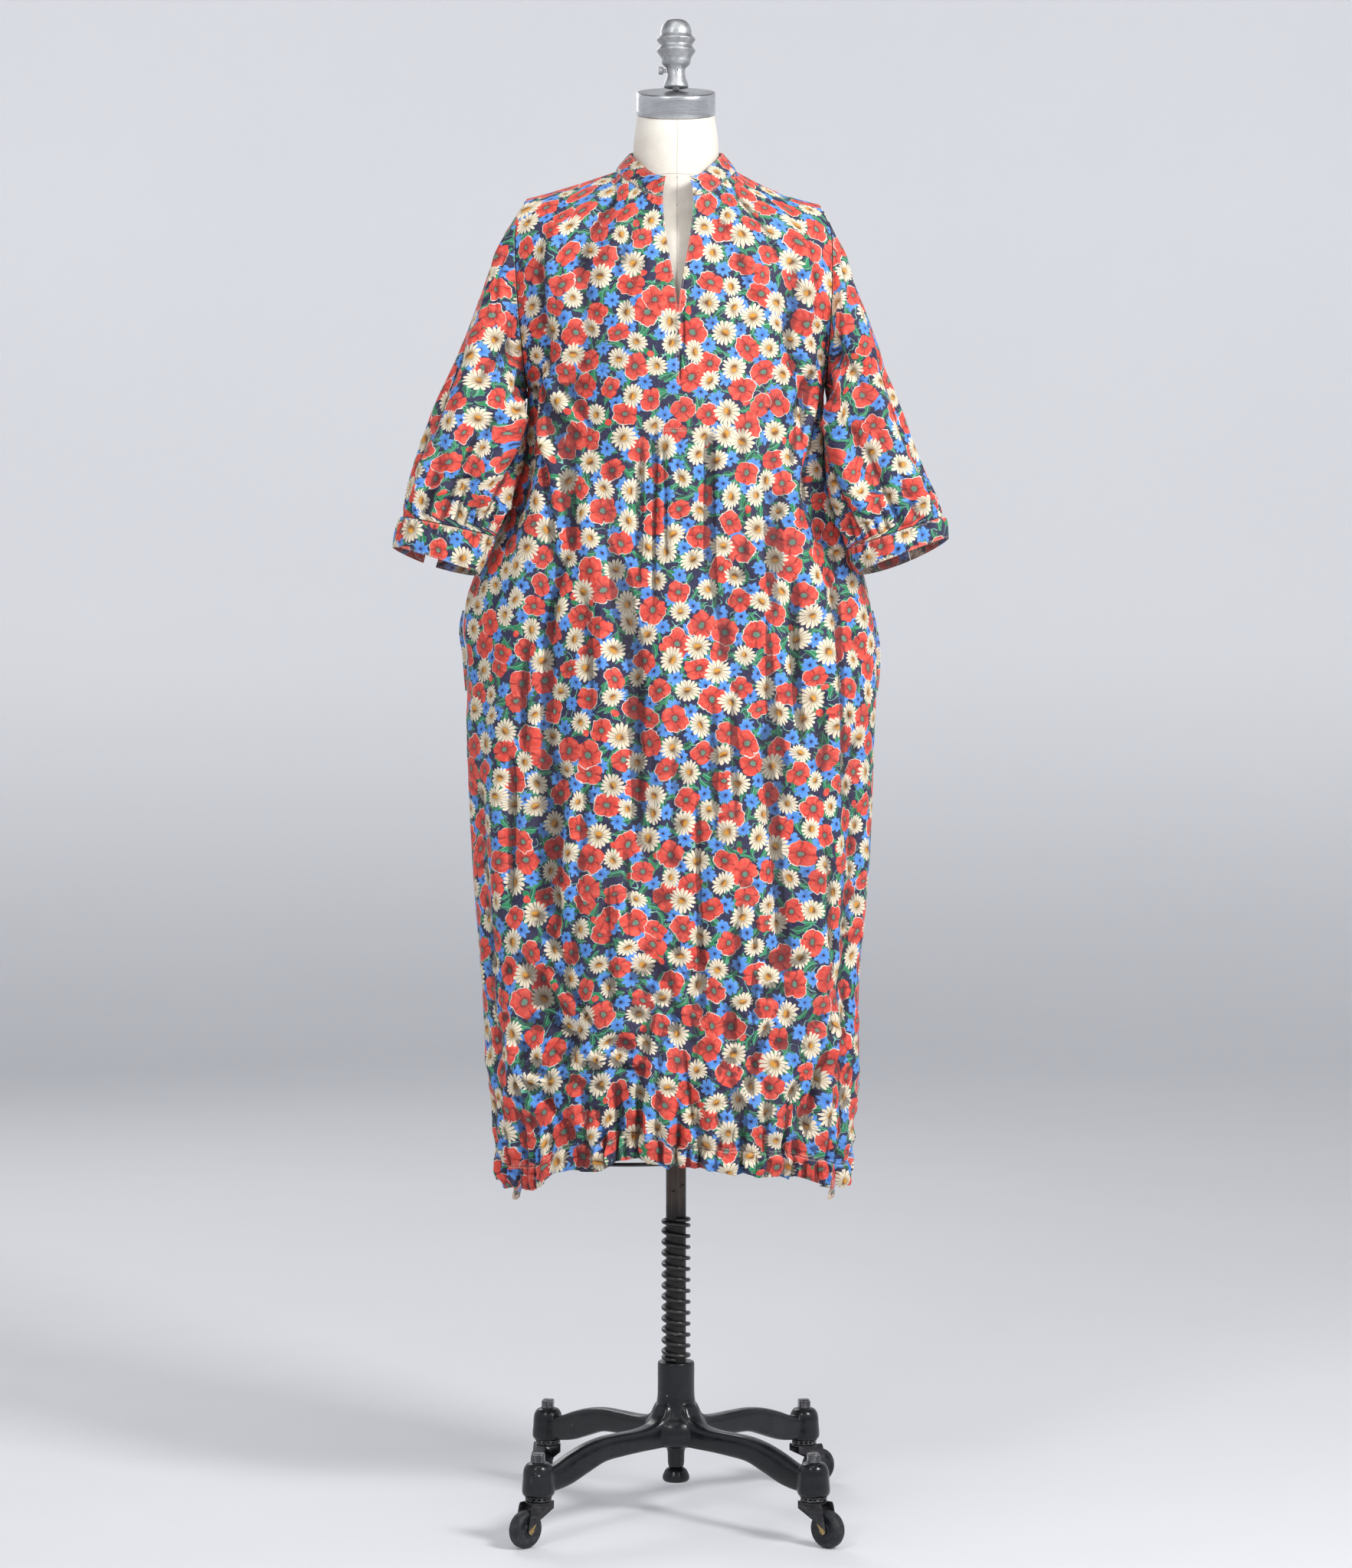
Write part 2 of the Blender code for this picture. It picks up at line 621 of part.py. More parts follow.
def hem_lift(face, across):
    return curve(HEM_FRONT if face < 0 else HEM_BACK, "across", "lift", across)


def body_point(kind, place, side, across, face):
    """A point of the dress before its folds. across runs from 0 to 1 on one side."""
    neck_y = NECK_FRONT if face < 0 else NECK_BACK
    neck_z = NECK_FRONT_HEIGHT if face < 0 else NECK_BACK_HEIGHT
    if kind == "armhole":
        turn = math.pi * place
        edge = armhole_point(side, turn, face)
        centre_z = neck_z + (ARMHOLE_BOTTOM - neck_z) * place
        level = centre_z
        open_angle = math.radians(62 + 28 * smooth(0.62, 1.0, place))
    else:
        level = ARMHOLE_BOTTOM + (HEM_HEIGHT - ARMHOLE_BOTTOM) * place
        if place > 1:
            level = HEM_HEIGHT - (place - 1)
        half = curve(BODY, "height", side.name, level)
        edge = np.array([side.sign * half, SHOULDER_Y * (1 - smooth(0, 0.3, place)), level])
        centre_z = level
        open_angle = math.pi / 2
    depth = curve(BODY, "height", "front" if face < 0 else "back", min(level, 1.632))
    if face > 0 and level > 1.632:
        depth = NECK_BACK
    if kind == "armhole" and place == 0:
        depth = abs(neck_y)
    angle = across * open_angle
    x = edge[0] * math.sin(angle) / math.sin(open_angle)
    bend = (1 - math.cos(angle)) / (1 - math.cos(open_angle))
    y = face * depth + (edge[1] - face * depth) * bend
    z = centre_z + (edge[2] - centre_z) * across**2
    return np.array([x, y, z])


def rise_of(folds, across, height, girth):
    """How far the folds lift the cloth at one place."""
    total = 0.0
    for fold in folds:
        share = (fold.top_height - height) / (fold.top_height - fold.low_height)
        if not -0.05 < share < 1.05:
            continue
        line = fold.top_across + (fold.low_across - fold.top_across) * share
        away = (across - line) * girth / fold.width
        ends = smooth(-0.05, 0.14, share) * (1 - smooth(0.80, 1.05, share))
        total += fold.rise * ends * math.exp(-(away**2))
    return total


def panel_grid(face, places, columns):
    """The panel's points: rows down, columns from the left seam to the right one."""
    folds = FRONT_FOLDS if face < 0 else BACK_FOLDS
    grid = np.zeros((len(places), len(columns), 3))
    for row, (kind, place) in enumerate(places):
        shoulder = place * ARMHOLE_ROWS / 3.2 if kind == "armhole" else 2.0
        turn = min(shoulder, 1.0) * math.pi / 2
        for column, across in enumerate(columns):
            side = SIDES[0] if across < 0 else SIDES[1]
            point = body_point(kind, place, side, abs(across), face)
            start = body_point("armhole", 0.0, side, abs(across), face)
            missing = top_edge(side, abs(across), face) - start
            if kind == "armhole":
                point[0] += missing[0] * math.cos(turn)
                point[1] += missing[1] * (1 - math.sin(turn)) ** 1.2
                point[2] += missing[2] * math.cos(turn)
            if face < 0:
                reach = 1.0
                if kind == "armhole":
                    reach = NECK_SHARE + (1 - NECK_SHARE) * smooth(0, 0.5, place)
                middle = max(1 - (across / reach) ** 2, 0) ** 2
                point[0] += SLIT_CENTRE * middle * smooth(0.9, 1.3, point[2])
            if kind == "skirt":
                near_hem = smooth(0.62, 1.0, place)
                point[2] += hem_lift(face, across) * near_hem
            grid[row, column] = point
    bare = normals_of(grid)
    outward = 1.0 if np.sum(bare[:, :, 1] * face) > 0 else -1.0
    for row, (kind, place) in enumerate(places):
        for column, across in enumerate(columns):
            height = grid[row, column, 2]
            at_seam = 1 - across**10
            rise = rise_of(folds, across, height, 0.33)
            if kind == "skirt":
                wave = math.sin(math.pi * (HEM_GATHERS * (across + 1) + 0.35 * math.sin(5 * across)))
                rise += 0.0050 * wave * smooth(0.80, 1.0, place)
                rise += 0.0060 * smooth(0.86, 0.97, place) * (1 - smooth(0.97, 1.0, place))
            rise *= at_seam * (smooth(0.0, 0.2, place) if kind == "armhole" else 1.0)
            grid[row, column] += outward * bare[row, column] * rise
    return grid


def column_places(neck_count, shoulder_count):
    neck = [NECK_SHARE * k / neck_count for k in range(neck_count + 1)]
    step = (1 - NECK_SHARE) / shoulder_count
    half = neck + [NECK_SHARE + step * k for k in range(1, shoulder_count + 1)]
    return np.array([-across for across in reversed(half)] + half[1:])


def slit_half(height):
    """Half the width of the neck opening at a height, on the left and on the right."""
    share = smooth(SLIT_BOTTOM, NECK_FRONT_HEIGHT, height)
    return SLIT_HALF * share**0.8


def shoulder_columns(grid):
    """Which columns of the first row lie on a shoulder seam."""
    return np.abs(grid[0, :, 0]) > NECK_HALF_WIDTH - 0.001


def edge_normals(grid, face):
    """Panel normals, square to the seam on every edge that is sewn to another panel."""
    normals = normals_of(grid)
    if np.sum(normals[:, :, 1] * face) < 0:
        normals = -normals
    normals[0, shoulder_columns(grid), 1] = 0.0
    normals[ARMHOLE_ROWS:, [0, -1], 1] = 0.0
    normals[-1, :, 2] = 0.0
    return normals / np.linalg.norm(normals, axis=2, keepdims=True)


def shift_seam(grid, face):
    """Opens the gap at the shoulder and side seams."""
    grid[:, [0, -1], 1] += face * SEAM / 2
    grid[0, shoulder_columns(grid), 1] += face * SEAM / 2
    return grid


def build_front(finish):
    columns = column_places(FRONT_NECK, FRONT_SHOULDER)
    middle = len(columns) // 2
    grid = shift_seam(panel_grid(-1, row_places(), columns), -1)
    normals = edge_normals(grid, -1)
    # The middle column is doubled, so that the cloth can part down to the slit's foot.
    grid = np.insert(grid, middle, grid[:, middle], axis=1)
    normals = np.insert(normals, middle, normals[:, middle], axis=1)
    foot = next(row for row in range(len(grid)) if grid[row, middle, 2] < SLIT_BOTTOM)
    for row in range(foot):
        half = slit_half(grid[row, middle, 2])
        for step in range(SLIT_EASE_COLUMNS):
            ease = half * (1 - step / SLIT_EASE_COLUMNS)
            grid[row, middle - step, 0] -= ease
            grid[row, middle + 1 + step, 0] += ease
    rows, count = grid.shape[:2]
    faces = grid_faces(rows, count, skip=lambda row, column: column == middle)
    faces = [[sewn_index(index, count, middle, foot) for index in face] for face in faces]
    add_cloth("front", grid.reshape(-1, 3), normals.reshape(-1, 3), faces, CLOTH, finish)
    return grid


def sewn_index(index, count, middle, foot):
    """Below the slit's foot the doubled column is one column again."""
    row, column = divmod(index, count)
    return index - 1 if column == middle + 1 and row >= foot else index


def build_back(finish):
    grid = shift_seam(panel_grid(1, row_places(), column_places(BACK_NECK, BACK_SHOULDER)), 1)
    normals = edge_normals(grid, 1)
    faces = grid_faces(*grid.shape[:2])
    add_cloth("back", grid.reshape(-1, 3), normals.reshape(-1, 3), faces, CLOTH, finish)
    return grid


def build_casing(name, face, columns, finish):
    """The drawstring casing: the panels' folds carried down, a little further in."""
    depths = [CASING_GAP + CASING_HEIGHT * k / CASING_ROWS for k in range(CASING_ROWS + 1)]
    places = [("skirt", 1 + depth) for depth in depths]
    grid = panel_grid(face, places, columns)
    normals = normals_of(grid)
    if np.sum(normals[:, :, 1] * face) < 0:
        normals = -normals
    for row in range(1, len(places)):
        grid[row] -= normals[row] * CASING_INSET * (1 - np.abs(columns) ** 10)[:, None]
    grid[:, [0, -1], 1] += face * SEAM / 2
    normals[0, :, 2] = 0.0
    normals[:, [0, -1], 1] = 0.0
    normals /= np.linalg.norm(normals, axis=2, keepdims=True)
    faces = grid_faces(*grid.shape[:2])
    add_cloth(name, grid.reshape(-1, 3), normals.reshape(-1, 3), faces, CASING_WALL, finish)
    return grid


def build_collar(front_top, back_top, finish):
    """A band that stands on the neckline, from one edge of the slit round to the other."""
    middle = len(front_top) // 2
    left = front_top[middle - 1 - FRONT_NECK : middle][::-1]
    right = front_top[middle : middle + 1 + FRONT_NECK][::-1]
    centre = len(back_top) // 2
    behind = back_top[centre - BACK_NECK : centre + BACK_NECK + 1]
    path = np.concatenate([left[:-1], behind, right[1:]])
    grid = np.zeros((COLLAR_ROWS + 1, len(path), 3))
    for column, foot in enumerate(path):
        aside = foot[0] / NECK_HALF_WIDTH
        back = smooth(-0.02, NECK_BACK, foot[1])
        forward = foot[1] < SHOULDER_Y
        neck_y = NECK_FRONT if forward else NECK_BACK
        top_y = COLLAR_TOP_FRONT if forward else COLLAR_TOP_BACK
        depth = (foot[1] - SHOULDER_Y) / (neck_y - SHOULDER_Y)
        top = np.array([COLLAR_TOP_HALF * aside, SHOULDER_Y + (top_y - SHOULDER_Y) * depth, foot[2]])
        tall = COLLAR_RISE_FRONT + (COLLAR_RISE_BACK - COLLAR_RISE_FRONT) * back
        tall += (COLLAR_RISE_SIDE - tall) * 0.8 * aside**2
        for row in range(COLLAR_ROWS + 1):
            share = row / COLLAR_ROWS
            point = foot + (top - foot) * share**1.3
            point[2] += COLLAR_GAP + tall * share
            grid[row, column] = point
    normals = normals_of(grid)
    if np.sum(normals[:, :, 0] * grid[:, :, 0]) < 0:
        normals = -normals
    normals[0, :, 2] = 0.0
    normals /= np.linalg.norm(normals, axis=2, keepdims=True)
    faces = grid_faces(*grid.shape[:2])
    add_cloth("collar", grid.reshape(-1, 3), normals.reshape(-1, 3), faces, COLLAR_WALL, finish)


def sleeve_point(rings, side, along, turn):
    """A point of the sleeve before its folds. turn: 0 on the outer edge, then forward."""
    out_x, out_z, in_x, in_z, depth, middle = (
        curve(rings, "along", value, along)
        for value in ("out_x", "out_z", "in_x", "in_z", "depth", "middle")
    )
    share = (1 + math.cos(turn)) / 2
    x = side.sign * (in_x + (out_x - in_x) * share)
    z = in_z + (out_z - in_z) * share
    ring = np.array([x, middle - depth * math.sin(turn), z])
    if along >= ARMHOLE_BLEND:
        return ring
    face = -1 if math.sin(turn) >= 0 else 1
    seam = armhole_point(side, turn if face < 0 else 2 * math.pi - turn, face)
    start = sleeve_ring_start(rings, side, turn)
    return ring + (seam - start) * (1 - smooth(0, ARMHOLE_BLEND, along))


def sleeve_ring_start(rings, side, turn):
    first = rings[0]
    share = (1 + math.cos(turn)) / 2
    x = side.sign * (first.in_x + (first.out_x - first.in_x) * share)
    z = first.in_z + (first.out_z - first.in_z) * share
    return np.array([x, first.middle - first.depth * math.sin(turn), z])


def sleeve_grid(rings, side, rows, columns):
    grid = np.zeros((rows + 1, columns, 3))
    for row in range(rows + 1):
        along = row / rows
        for column in range(columns):
            turn = 2 * math.pi * column / columns
            point = sleeve_point(rings, side, along, turn)
            gap = ARMHOLE_GAP + UNDERARM_GAP * (1 - math.cos(turn)) / 2
            point[0] += side.sign * gap
            grid[row, column] = point
    wrapped = np.concatenate([grid[:, -1:], grid, grid[:, :1]], axis=1)
    normals = normals_of(wrapped)[:, 1:-1]
    middle = grid.mean(axis=1, keepdims=True)
    if np.sum(normals * (grid - middle)) < 0:
        normals = -normals
    for row in range(rows + 1):
        along = row / rows
        for column in range(columns):
            turn = column / columns
            rise = 0.0
            for fold in SLEEVE_FOLDS:
                share = (along - fold.top_along) / (fold.low_along - fold.top_along)
                if not 0 < share < 1:
                    continue
                line = fold.top_turn + (fold.low_turn - fold.top_turn) * share
                away = ((turn - line + 0.5) % 1 - 0.5) * SLEEVE_GIRTH / fold.width
                ends = smooth(0, 0.2, share) * (1 - smooth(0.8, 1, share))
                rise += fold.rise * ends * math.exp(-(away**2))
            gather = math.cos(2 * math.pi * GATHERS_AT_CUFF * turn)
            rise += GATHER_RISE * gather * smooth(0.60, 0.88, along) * (1 - smooth(0.90, 1.0, along))
            grid[row, column] += normals[row, column] * rise * smooth(0, 0.15, along)
    return grid, normals


def build_sleeve(name, rings, side, finish):
    grid, normals = sleeve_grid(rings, side, SLEEVE_ROWS, SLEEVE_SIDES)
    faces = grid_faces(SLEEVE_ROWS + 1, SLEEVE_SIDES, wrap=True)
    add_cloth(name, grid.reshape(-1, 3), normals.reshape(-1, 3), faces, CLOTH, finish)


def cuff_grid(rings, cuff, side, columns, rows):
    """The cuff band, open along the vent at its back."""
    top = rings[-1]
    grid = np.zeros((rows + 1, columns + 1, 3))
    open_turn = VENT_TURN * 2 * math.pi
    half_gap = cuff.vent / 2 / cuff.depth / 1.1
    shift = side.sign * (ARMHOLE_GAP + UNDERARM_GAP / 2)
    for column in range(columns + 1):
        turn = open_turn + half_gap + (2 * math.pi - 2 * half_gap) * column / columns
        share = (1 + math.cos(turn)) / 2
        forward = math.sin(turn)
        back_drop = cuff.back_drop * ((1 - forward) / 2) ** 2
        upper = np.array(
            [
                side.sign * (top.in_x + (top.out_x - top.in_x) * share) + shift,
                top.middle - top.depth * forward,
                top.in_z + (top.out_z - top.in_z) * share,
            ]
        )
        lower = np.array(
            [
                side.sign * (cuff.in_x + (cuff.out_x - cuff.in_x) * share) + shift,
                cuff.middle - cuff.depth * forward,
                cuff.in_z + (cuff.out_z - cuff.in_z) * share - back_drop,
            ]
        )
        slope = lower - upper
        upper = upper + slope / np.linalg.norm(slope) * CUFF_GAP
        for row in range(rows + 1):
            grid[row, column] = upper + (lower - upper) * row / rows
    return grid


def build_cuff(name, rings, cuff, side, finish):
    grid = cuff_grid(rings, cuff, side, CUFF_SIDES, CUFF_ROWS)
    normals = normals_of(grid)
    if np.sum(normals * (grid - grid.mean(axis=1, keepdims=True))) < 0:
        normals = -normals
    faces = grid_faces(CUFF_ROWS + 1, CUFF_SIDES + 1)
    add_cloth(name, grid.reshape(-1, 3), normals.reshape(-1, 3), faces, CUFF_WALL, finish)


def build_tie(name, casing, column, fall, finish):
    """A flat drawstring end: a tape that lies on the casing between two columns and hangs below."""
    foot = (Vector(casing[-1, column]) + Vector(casing[-1, column + 1])) / 2
    above = (Vector(casing[-2, column]) + Vector(casing[-2, column + 1])) / 2
    across = (Vector(casing[-1, column + 1]) - Vector(casing[-1, column])).normalized()
    upward = (above - foot).normalized()
    outward = across.cross(upward).normalized()
    lie = (CASING_WALL + TIE_WALL) / 2 + TIE_GAP
    places = [foot + upward * row.up + across * row.aside + outward * (lie + row.out) for row in fall]
    path = []
    for index, place in enumerate(places):
        before, after = places[max(index - 1, 0)], places[min(index + 1, len(places) - 1)]
        along = (after - before).normalized()
        path.append((place, across, across.cross(along).normalized()))
    half, thick = TIE_WIDTH / 2, TIE_WALL / 2
    profile = [(-half, -thick), (half, -thick), (half, thick), (-half, thick)]
    return swept(name, path, profile, finish)


def build_pocket(name, side, seam, finish):
    """The lip of a pocket in the side seam: a lens of cloth that stands out of the seam."""
    vertices, faces = [], []
    heights = seam[::-1, 2]
    for step in range(POCKET_STEPS + 1):
        share = step / POCKET_STEPS
        height = POCKET_TOP - POCKET_HEIGHT * share
        out = np.interp(height, heights, np.abs(seam[::-1, 0])) + CLOTH / 2 + POCKET_GAP
        lip = POCKET_LIP * math.sin(math.pi * share) + POCKET_WALL
        for x, y in ((out, -1), (out + lip, -1), (out + lip, 1), (out, 1)):
            vertices.append((side.sign * x, y * POCKET_WALL / 2, height))
    for step in range(POCKET_STEPS):
        for corner in range(4):
            after = (corner + 1) % 4
            faces.append([step * 4 + corner, step * 4 + after, step * 4 + 4 + after, step * 4 + 4 + corner])
    last = POCKET_STEPS * 4
    faces += [[3, 2, 1, 0], [last, last + 1, last + 2, last + 3]]
    return add_object(name, vertices, faces, finish)


# ---------------------------------------------------------------- the form
def torso_ring(half, front, back, side_height, middle_height, ridge_y=0.0):
    """One ring round the form; the side heights differ from the middle's at the shoulders."""
    ring = []
    for step in range(TORSO_SIDES):
        turn = 2 * math.pi * step / TORSO_SIDES
        aside = math.sin(turn)
        depth = ridge_y - (front + ridge_y if math.cos(turn) > 0 else back - ridge_y) * math.cos(turn)
        rise = abs(aside) ** SHOULDER_EDGE
        side_z = side_height[0] if aside < 0 else side_height[1]
        ring.append(Vector((half * aside, depth, middle_height + (side_z - middle_height) * rise)))
    return ring


def ridge_heights(half):
    """The form's shoulder heights under the two shoulder seams, this far from the neck."""
    heights = []
    for side in SIDES:
        fall = (side.neck_height - side.tip_height) / (side.tip_x - NECK_HALF_WIDTH)
        heights.append(side.neck_height - fall * (half - NECK_HALF_WIDTH) - SHOULDER_CLEARANCE)
    return heights


def build_torso(finish):
    rings = [torso_ring(row.half, row.front, row.back, (row.height,) * 2, row.height) for row in TORSO]
    for row in SHOULDER_RINGS:
        sides = ridge_heights(row.half)
        rings.append(torso_ring(row.half, row.front, row.back, sides, row.height, SHOULDER_Y))
    for row in NECK_RINGS:
        rings.append(torso_ring(row.half, row.front, row.back, (row.height,) * 2, row.height))
    tilt = Matrix.Rotation(CAP_TILT, 3, "X")
    rings.append(
        [
            tilt @ Vector((NECK_TOP * math.sin(turn), -NECK_TOP * math.cos(turn), NECK_TOP_DROP))
            + Vector((0, 0, CAP_CENTRE))
            for turn in (2 * math.pi * step / TORSO_SIDES for step in range(TORSO_SIDES))
        ]
    )
    bore = POLE_RADIUS + TUBE_CLEARANCE + TUBE_WALL + SEAM
    for height in (TORSO[0].height, BORE_TOP):
        circle = torso_ring(bore, bore, bore, (height,) * 2, height)
        rings.insert(0, circle)
    vertices = [point for ring in rings for point in ring]
    faces = grid_faces(len(rings), TORSO_SIDES, wrap=True)
    faces.append(list(range(TORSO_SIDES)))
    faces.append([(len(rings) - 1) * TORSO_SIDES + step for step in range(TORSO_SIDES)])
    return add_object("form_torso", vertices, faces, finish)


def build_cap(steel):
    half = CAP_HEIGHT / 2
    outline = (
        Turn(CAP_RADIUS - 0.0015, half), Turn(CAP_RADIUS, half - 0.0012),
        Turn(CAP_RADIUS, -half + 0.0008), Turn(CAP_RADIUS - 0.0010, -half),
    )
    tilt = Matrix.Rotation(CAP_TILT, 3, "X")
    return turned("neck_cap", outline, CAP_SIDES, steel, centre=(0, 0, CAP_CENTRE), turn=tilt)


def build_finial(aluminium):
    turned("finial", FINIAL, FINIAL_SIDES, aluminium)
    sideways = Matrix.Rotation(-math.pi / 2, 3, "Y")
    return turned("thumb_screw", SCREW, SCREW_SIDES, aluminium, centre=(0, 0, SCREW_HEIGHT), turn=sideways)


def build_tube(steel):
    inner = POLE_RADIUS + TUBE_CLEARANCE
    outline = (Turn(inner + TUBE_WALL, TUBE_TOP), Turn(inner + TUBE_WALL, TUBE_BOTTOM))
    return turned("form_tube", outline, POLE_SIDES, steel, bore=inner)


def hoop_point(turn, lift=0.0):
    tilt = Matrix.Rotation(HOOP_PITCH, 3, "X") @ Matrix.Rotation(HOOP_ROLL, 3, "Y")
    flat = Vector((HOOP_RADIUS * math.sin(turn), -HOOP_RADIUS * math.cos(turn), lift))
    return tilt @ flat + Vector((0, 0, HOOP_HEIGHT))


def build_cage(black):
    """The wire hoop under the form, and the wires that carry it."""
    path = []
    for step in range(HOOP_STEPS):
        turn = 2 * math.pi * step / HOOP_STEPS
        outward = Vector((math.sin(turn), -math.cos(turn), 0))
        path.append((hoop_point(turn), outward, Vector((0, 0, 1))))
    swept("cage_hoop", path, round_profile(HOOP_WIRE, 6), black, closed_path=True)
    for number in range(CAGE_WIRES):
        turn = 2 * math.pi * (number + 0.5) / CAGE_WIRES
        outward = Vector((math.sin(turn), -math.cos(turn), 0))
        foot = hoop_point(turn, HOOP_WIRE + 0.0004)
        head = outward * CAGE_TOP_RADIUS + Vector((0, 0, TORSO[0].height - 0.0004))
        path = []
        for step in range(CAGE_STEPS + 1):
            share = step / CAGE_STEPS
            place = foot.lerp(head, share) + outward * CAGE_BOW * math.sin(math.pi * share)
            path.append((place, outward, Vector((-outward.y, outward.x, 0))))
        swept(f"cage_wire_{number + 1}", path, round_profile(CAGE_WIRE, 5), black)


# ---------------------------------------------------------------- the stand
def build_pole(finish):
    outline = (Turn(POLE_RADIUS, POLE_TOP), Turn(POLE_RADIUS, POLE_FOOT))
    return turned("pole", outline, POLE_SIDES, finish)


def build_spring(black):
    """An open coil round the pole, its end turns closed, resting on the hub."""
    low = HUB_TOP + SPRING_WIRE + 0.0004
    high = SPRING_TOP - SPRING_WIRE
    closed = 2 * SPRING_WIRE + 0.0003
    turns = SPRING_TURNS + 2 * CLOSED_TURNS
    pitch = (high - low - 2 * CLOSED_TURNS * closed) / SPRING_TURNS
    path = []
    steps = round(turns * SPRING_STEPS)
    for step in range(steps + 1):
        place = step / SPRING_STEPS
        rise = closed * min(place, CLOSED_TURNS)
        rise += pitch * min(max(place - CLOSED_TURNS, 0), SPRING_TURNS)
        rise += closed * max(place - CLOSED_TURNS - SPRING_TURNS, 0)
        turn = -2 * math.pi * place
        outward = Vector((math.sin(turn), -math.cos(turn), 0))
        path.append((outward * SPRING_RADIUS + Vector((0, 0, low + rise)), outward, Vector((0, 0, 1))))
    return swept("spring", path, round_profile(SPRING_WIRE, 5), black)


def leg_solid(name, x_sign, y_sign, finish):
    reach = math.hypot(CASTER_X, CASTER_Y)
    outward = Vector((x_sign * CASTER_X / reach, y_sign * CASTER_Y / reach, 0))
    sideways = Vector((-outward.y, outward.x, 0))
    vertices, faces = [], []
    for row in LEG:
        middle = outward * row.reach
        chamfer = row.half * 0.30
        for across, height in (
            (-row.half, row.bottom + chamfer), (-row.half + chamfer, row.bottom),
            (row.half - chamfer, row.bottom), (row.half, row.bottom + chamfer),
            (row.half, row.top - chamfer), (row.half - chamfer, row.top),
            (-row.half + chamfer, row.top), (-row.half, row.top - chamfer),
        ):
            vertices.append(middle + sideways * across + Vector((0, 0, height)))
    faces = grid_faces(len(LEG), 8, wrap=True)
    faces += [list(range(8)), [(len(LEG) - 1) * 8 + corner for corner in range(8)]]
    return add_object(name, vertices, faces, finish)


def build_base(iron):
    """The cast base: hub, four arched legs, four bosses and the stem, in one casting."""
    hub = turned("base_casting", HUB, HUB_SIDES, iron)
    parts = []
    for caster in CASTERS:
        parts.append(leg_solid(f"leg_{caster.name}", caster.x_sign, caster.y_sign, iron))
        centre = (caster.x_sign * CASTER_X, caster.y_sign * CASTER_Y, 0)
        parts.append(turned(f"boss_{caster.name}", BOSS, BOSS_SIDES, iron, centre=centre))
    screw_turn = Matrix.Rotation(math.pi / 2, 3, "X")
    screw_centre = (-CASTER_X - 0.002, -CASTER_Y - SET_SCREW_OUT, SET_SCREW_HEIGHT)
    parts.append(turned("set_screw", SET_SCREW, 10, iron, centre=screw_centre, turn=screw_turn))
    union(hub, parts)
    bore = POLE_RADIUS + SEAM
    outline = (Turn(bore, HUB_TOP + 0.01), Turn(bore, POLE_FOOT - SEAM))
    socket = turned("socket", outline, POLE_SIDES, iron)
    return join(hub, [socket], "DIFFERENCE")


def build_foot(iron):
    return turned("centre_foot", FOOT, FOOT_SIDES, iron)


def build_bolt(caster, steel):
    """The square head on top of a boss."""
    half, chamfer = BOLT_WIDTH / 2, 0.0018
    vertices, faces = [], []
    turn = Matrix.Rotation(BOLT_TURN * caster.x_sign, 3, "Z")
    centre = Vector((caster.x_sign * CASTER_X, caster.y_sign * CASTER_Y, 0))
    for height, width in ((BOLT_BOTTOM, half), (BOLT_TOP - chamfer, half), (BOLT_TOP, half - chamfer)):
        for x, y in ((-1, -1), (1, -1), (1, 1), (-1, 1)):
            vertices.append(turn @ Vector((x * width, y * width, height)) + centre)
    faces = grid_faces(3, 4, wrap=True)
    faces += [[3, 2, 1, 0], [8, 9, 10, 11]]
    return add_object(f"bolt_{caster.name}", vertices, faces, steel)


def fork_plate(name, offset, steel):
    """One side plate of the fork, in the plane of the trail, tapering to a round tip."""
    outline = [(-0.0150, 0.0446), (-0.0150, PLATE_TOP - 0.0004), (0.0200, PLATE_TOP - 0.0004)]
    for step in range(FORK_TIP_STEPS + 1):
        turn = math.radians(25 - 205 * step / FORK_TIP_STEPS)
        outline.append((TRAIL + FORK_TIP * math.cos(turn), AXLE_HEIGHT + FORK_TIP * math.sin(turn)))
    count = len(outline)
    vertices = [Vector((t, offset - FORK_WALL / 2, z)) for t, z in outline]
    vertices += [Vector((t, offset + FORK_WALL / 2, z)) for t, z in outline]
    faces = [list(range(count)), [count + index for index in reversed(range(count))]]
    for index in range(count):
        after = (index + 1) % count
        faces.append([after, index, count + index, count + after])
    return add_object(name, vertices, faces, steel)


def build_fork(steel):
    """The fork of one caster, about the swivel's axis, trailing towards +X."""
    plate = (Turn(PLATE_RADIUS, PLATE_TOP), Turn(PLATE_RADIUS, PLATE_TOP - PLATE_WALL))
    fork = turned("fork", plate, FORK_SIDES, steel)
    side = WHEEL_WIDTH / 2 + FORK_GAP + FORK_WALL / 2
    parts = [fork_plate("plate_a", -side, steel), fork_plate("plate_b", side, steel)]
    lengthwise = Matrix.Rotation(math.pi / 2, 3, "X")
    half = side + FORK_WALL / 2 + 0.0008
    axle = (Turn(AXLE_RADIUS, half), Turn(AXLE_RADIUS, -half))
    parts.append(turned("axle", axle, 8, steel, centre=(TRAIL, 0, AXLE_HEIGHT), turn=lengthwise))
    return union(fork, parts)


def build_wheel(rubber):
    onto_a_flat = Matrix.Rotation(math.pi / 2 + math.pi / WHEEL_SIDES, 3, "Z")
    lengthwise = Matrix.Rotation(math.pi / 2, 3, "X") @ onto_a_flat
    return turned("wheel", WHEEL, WHEEL_SIDES, rubber, bore=WHEEL_BORE, turn=lengthwise)


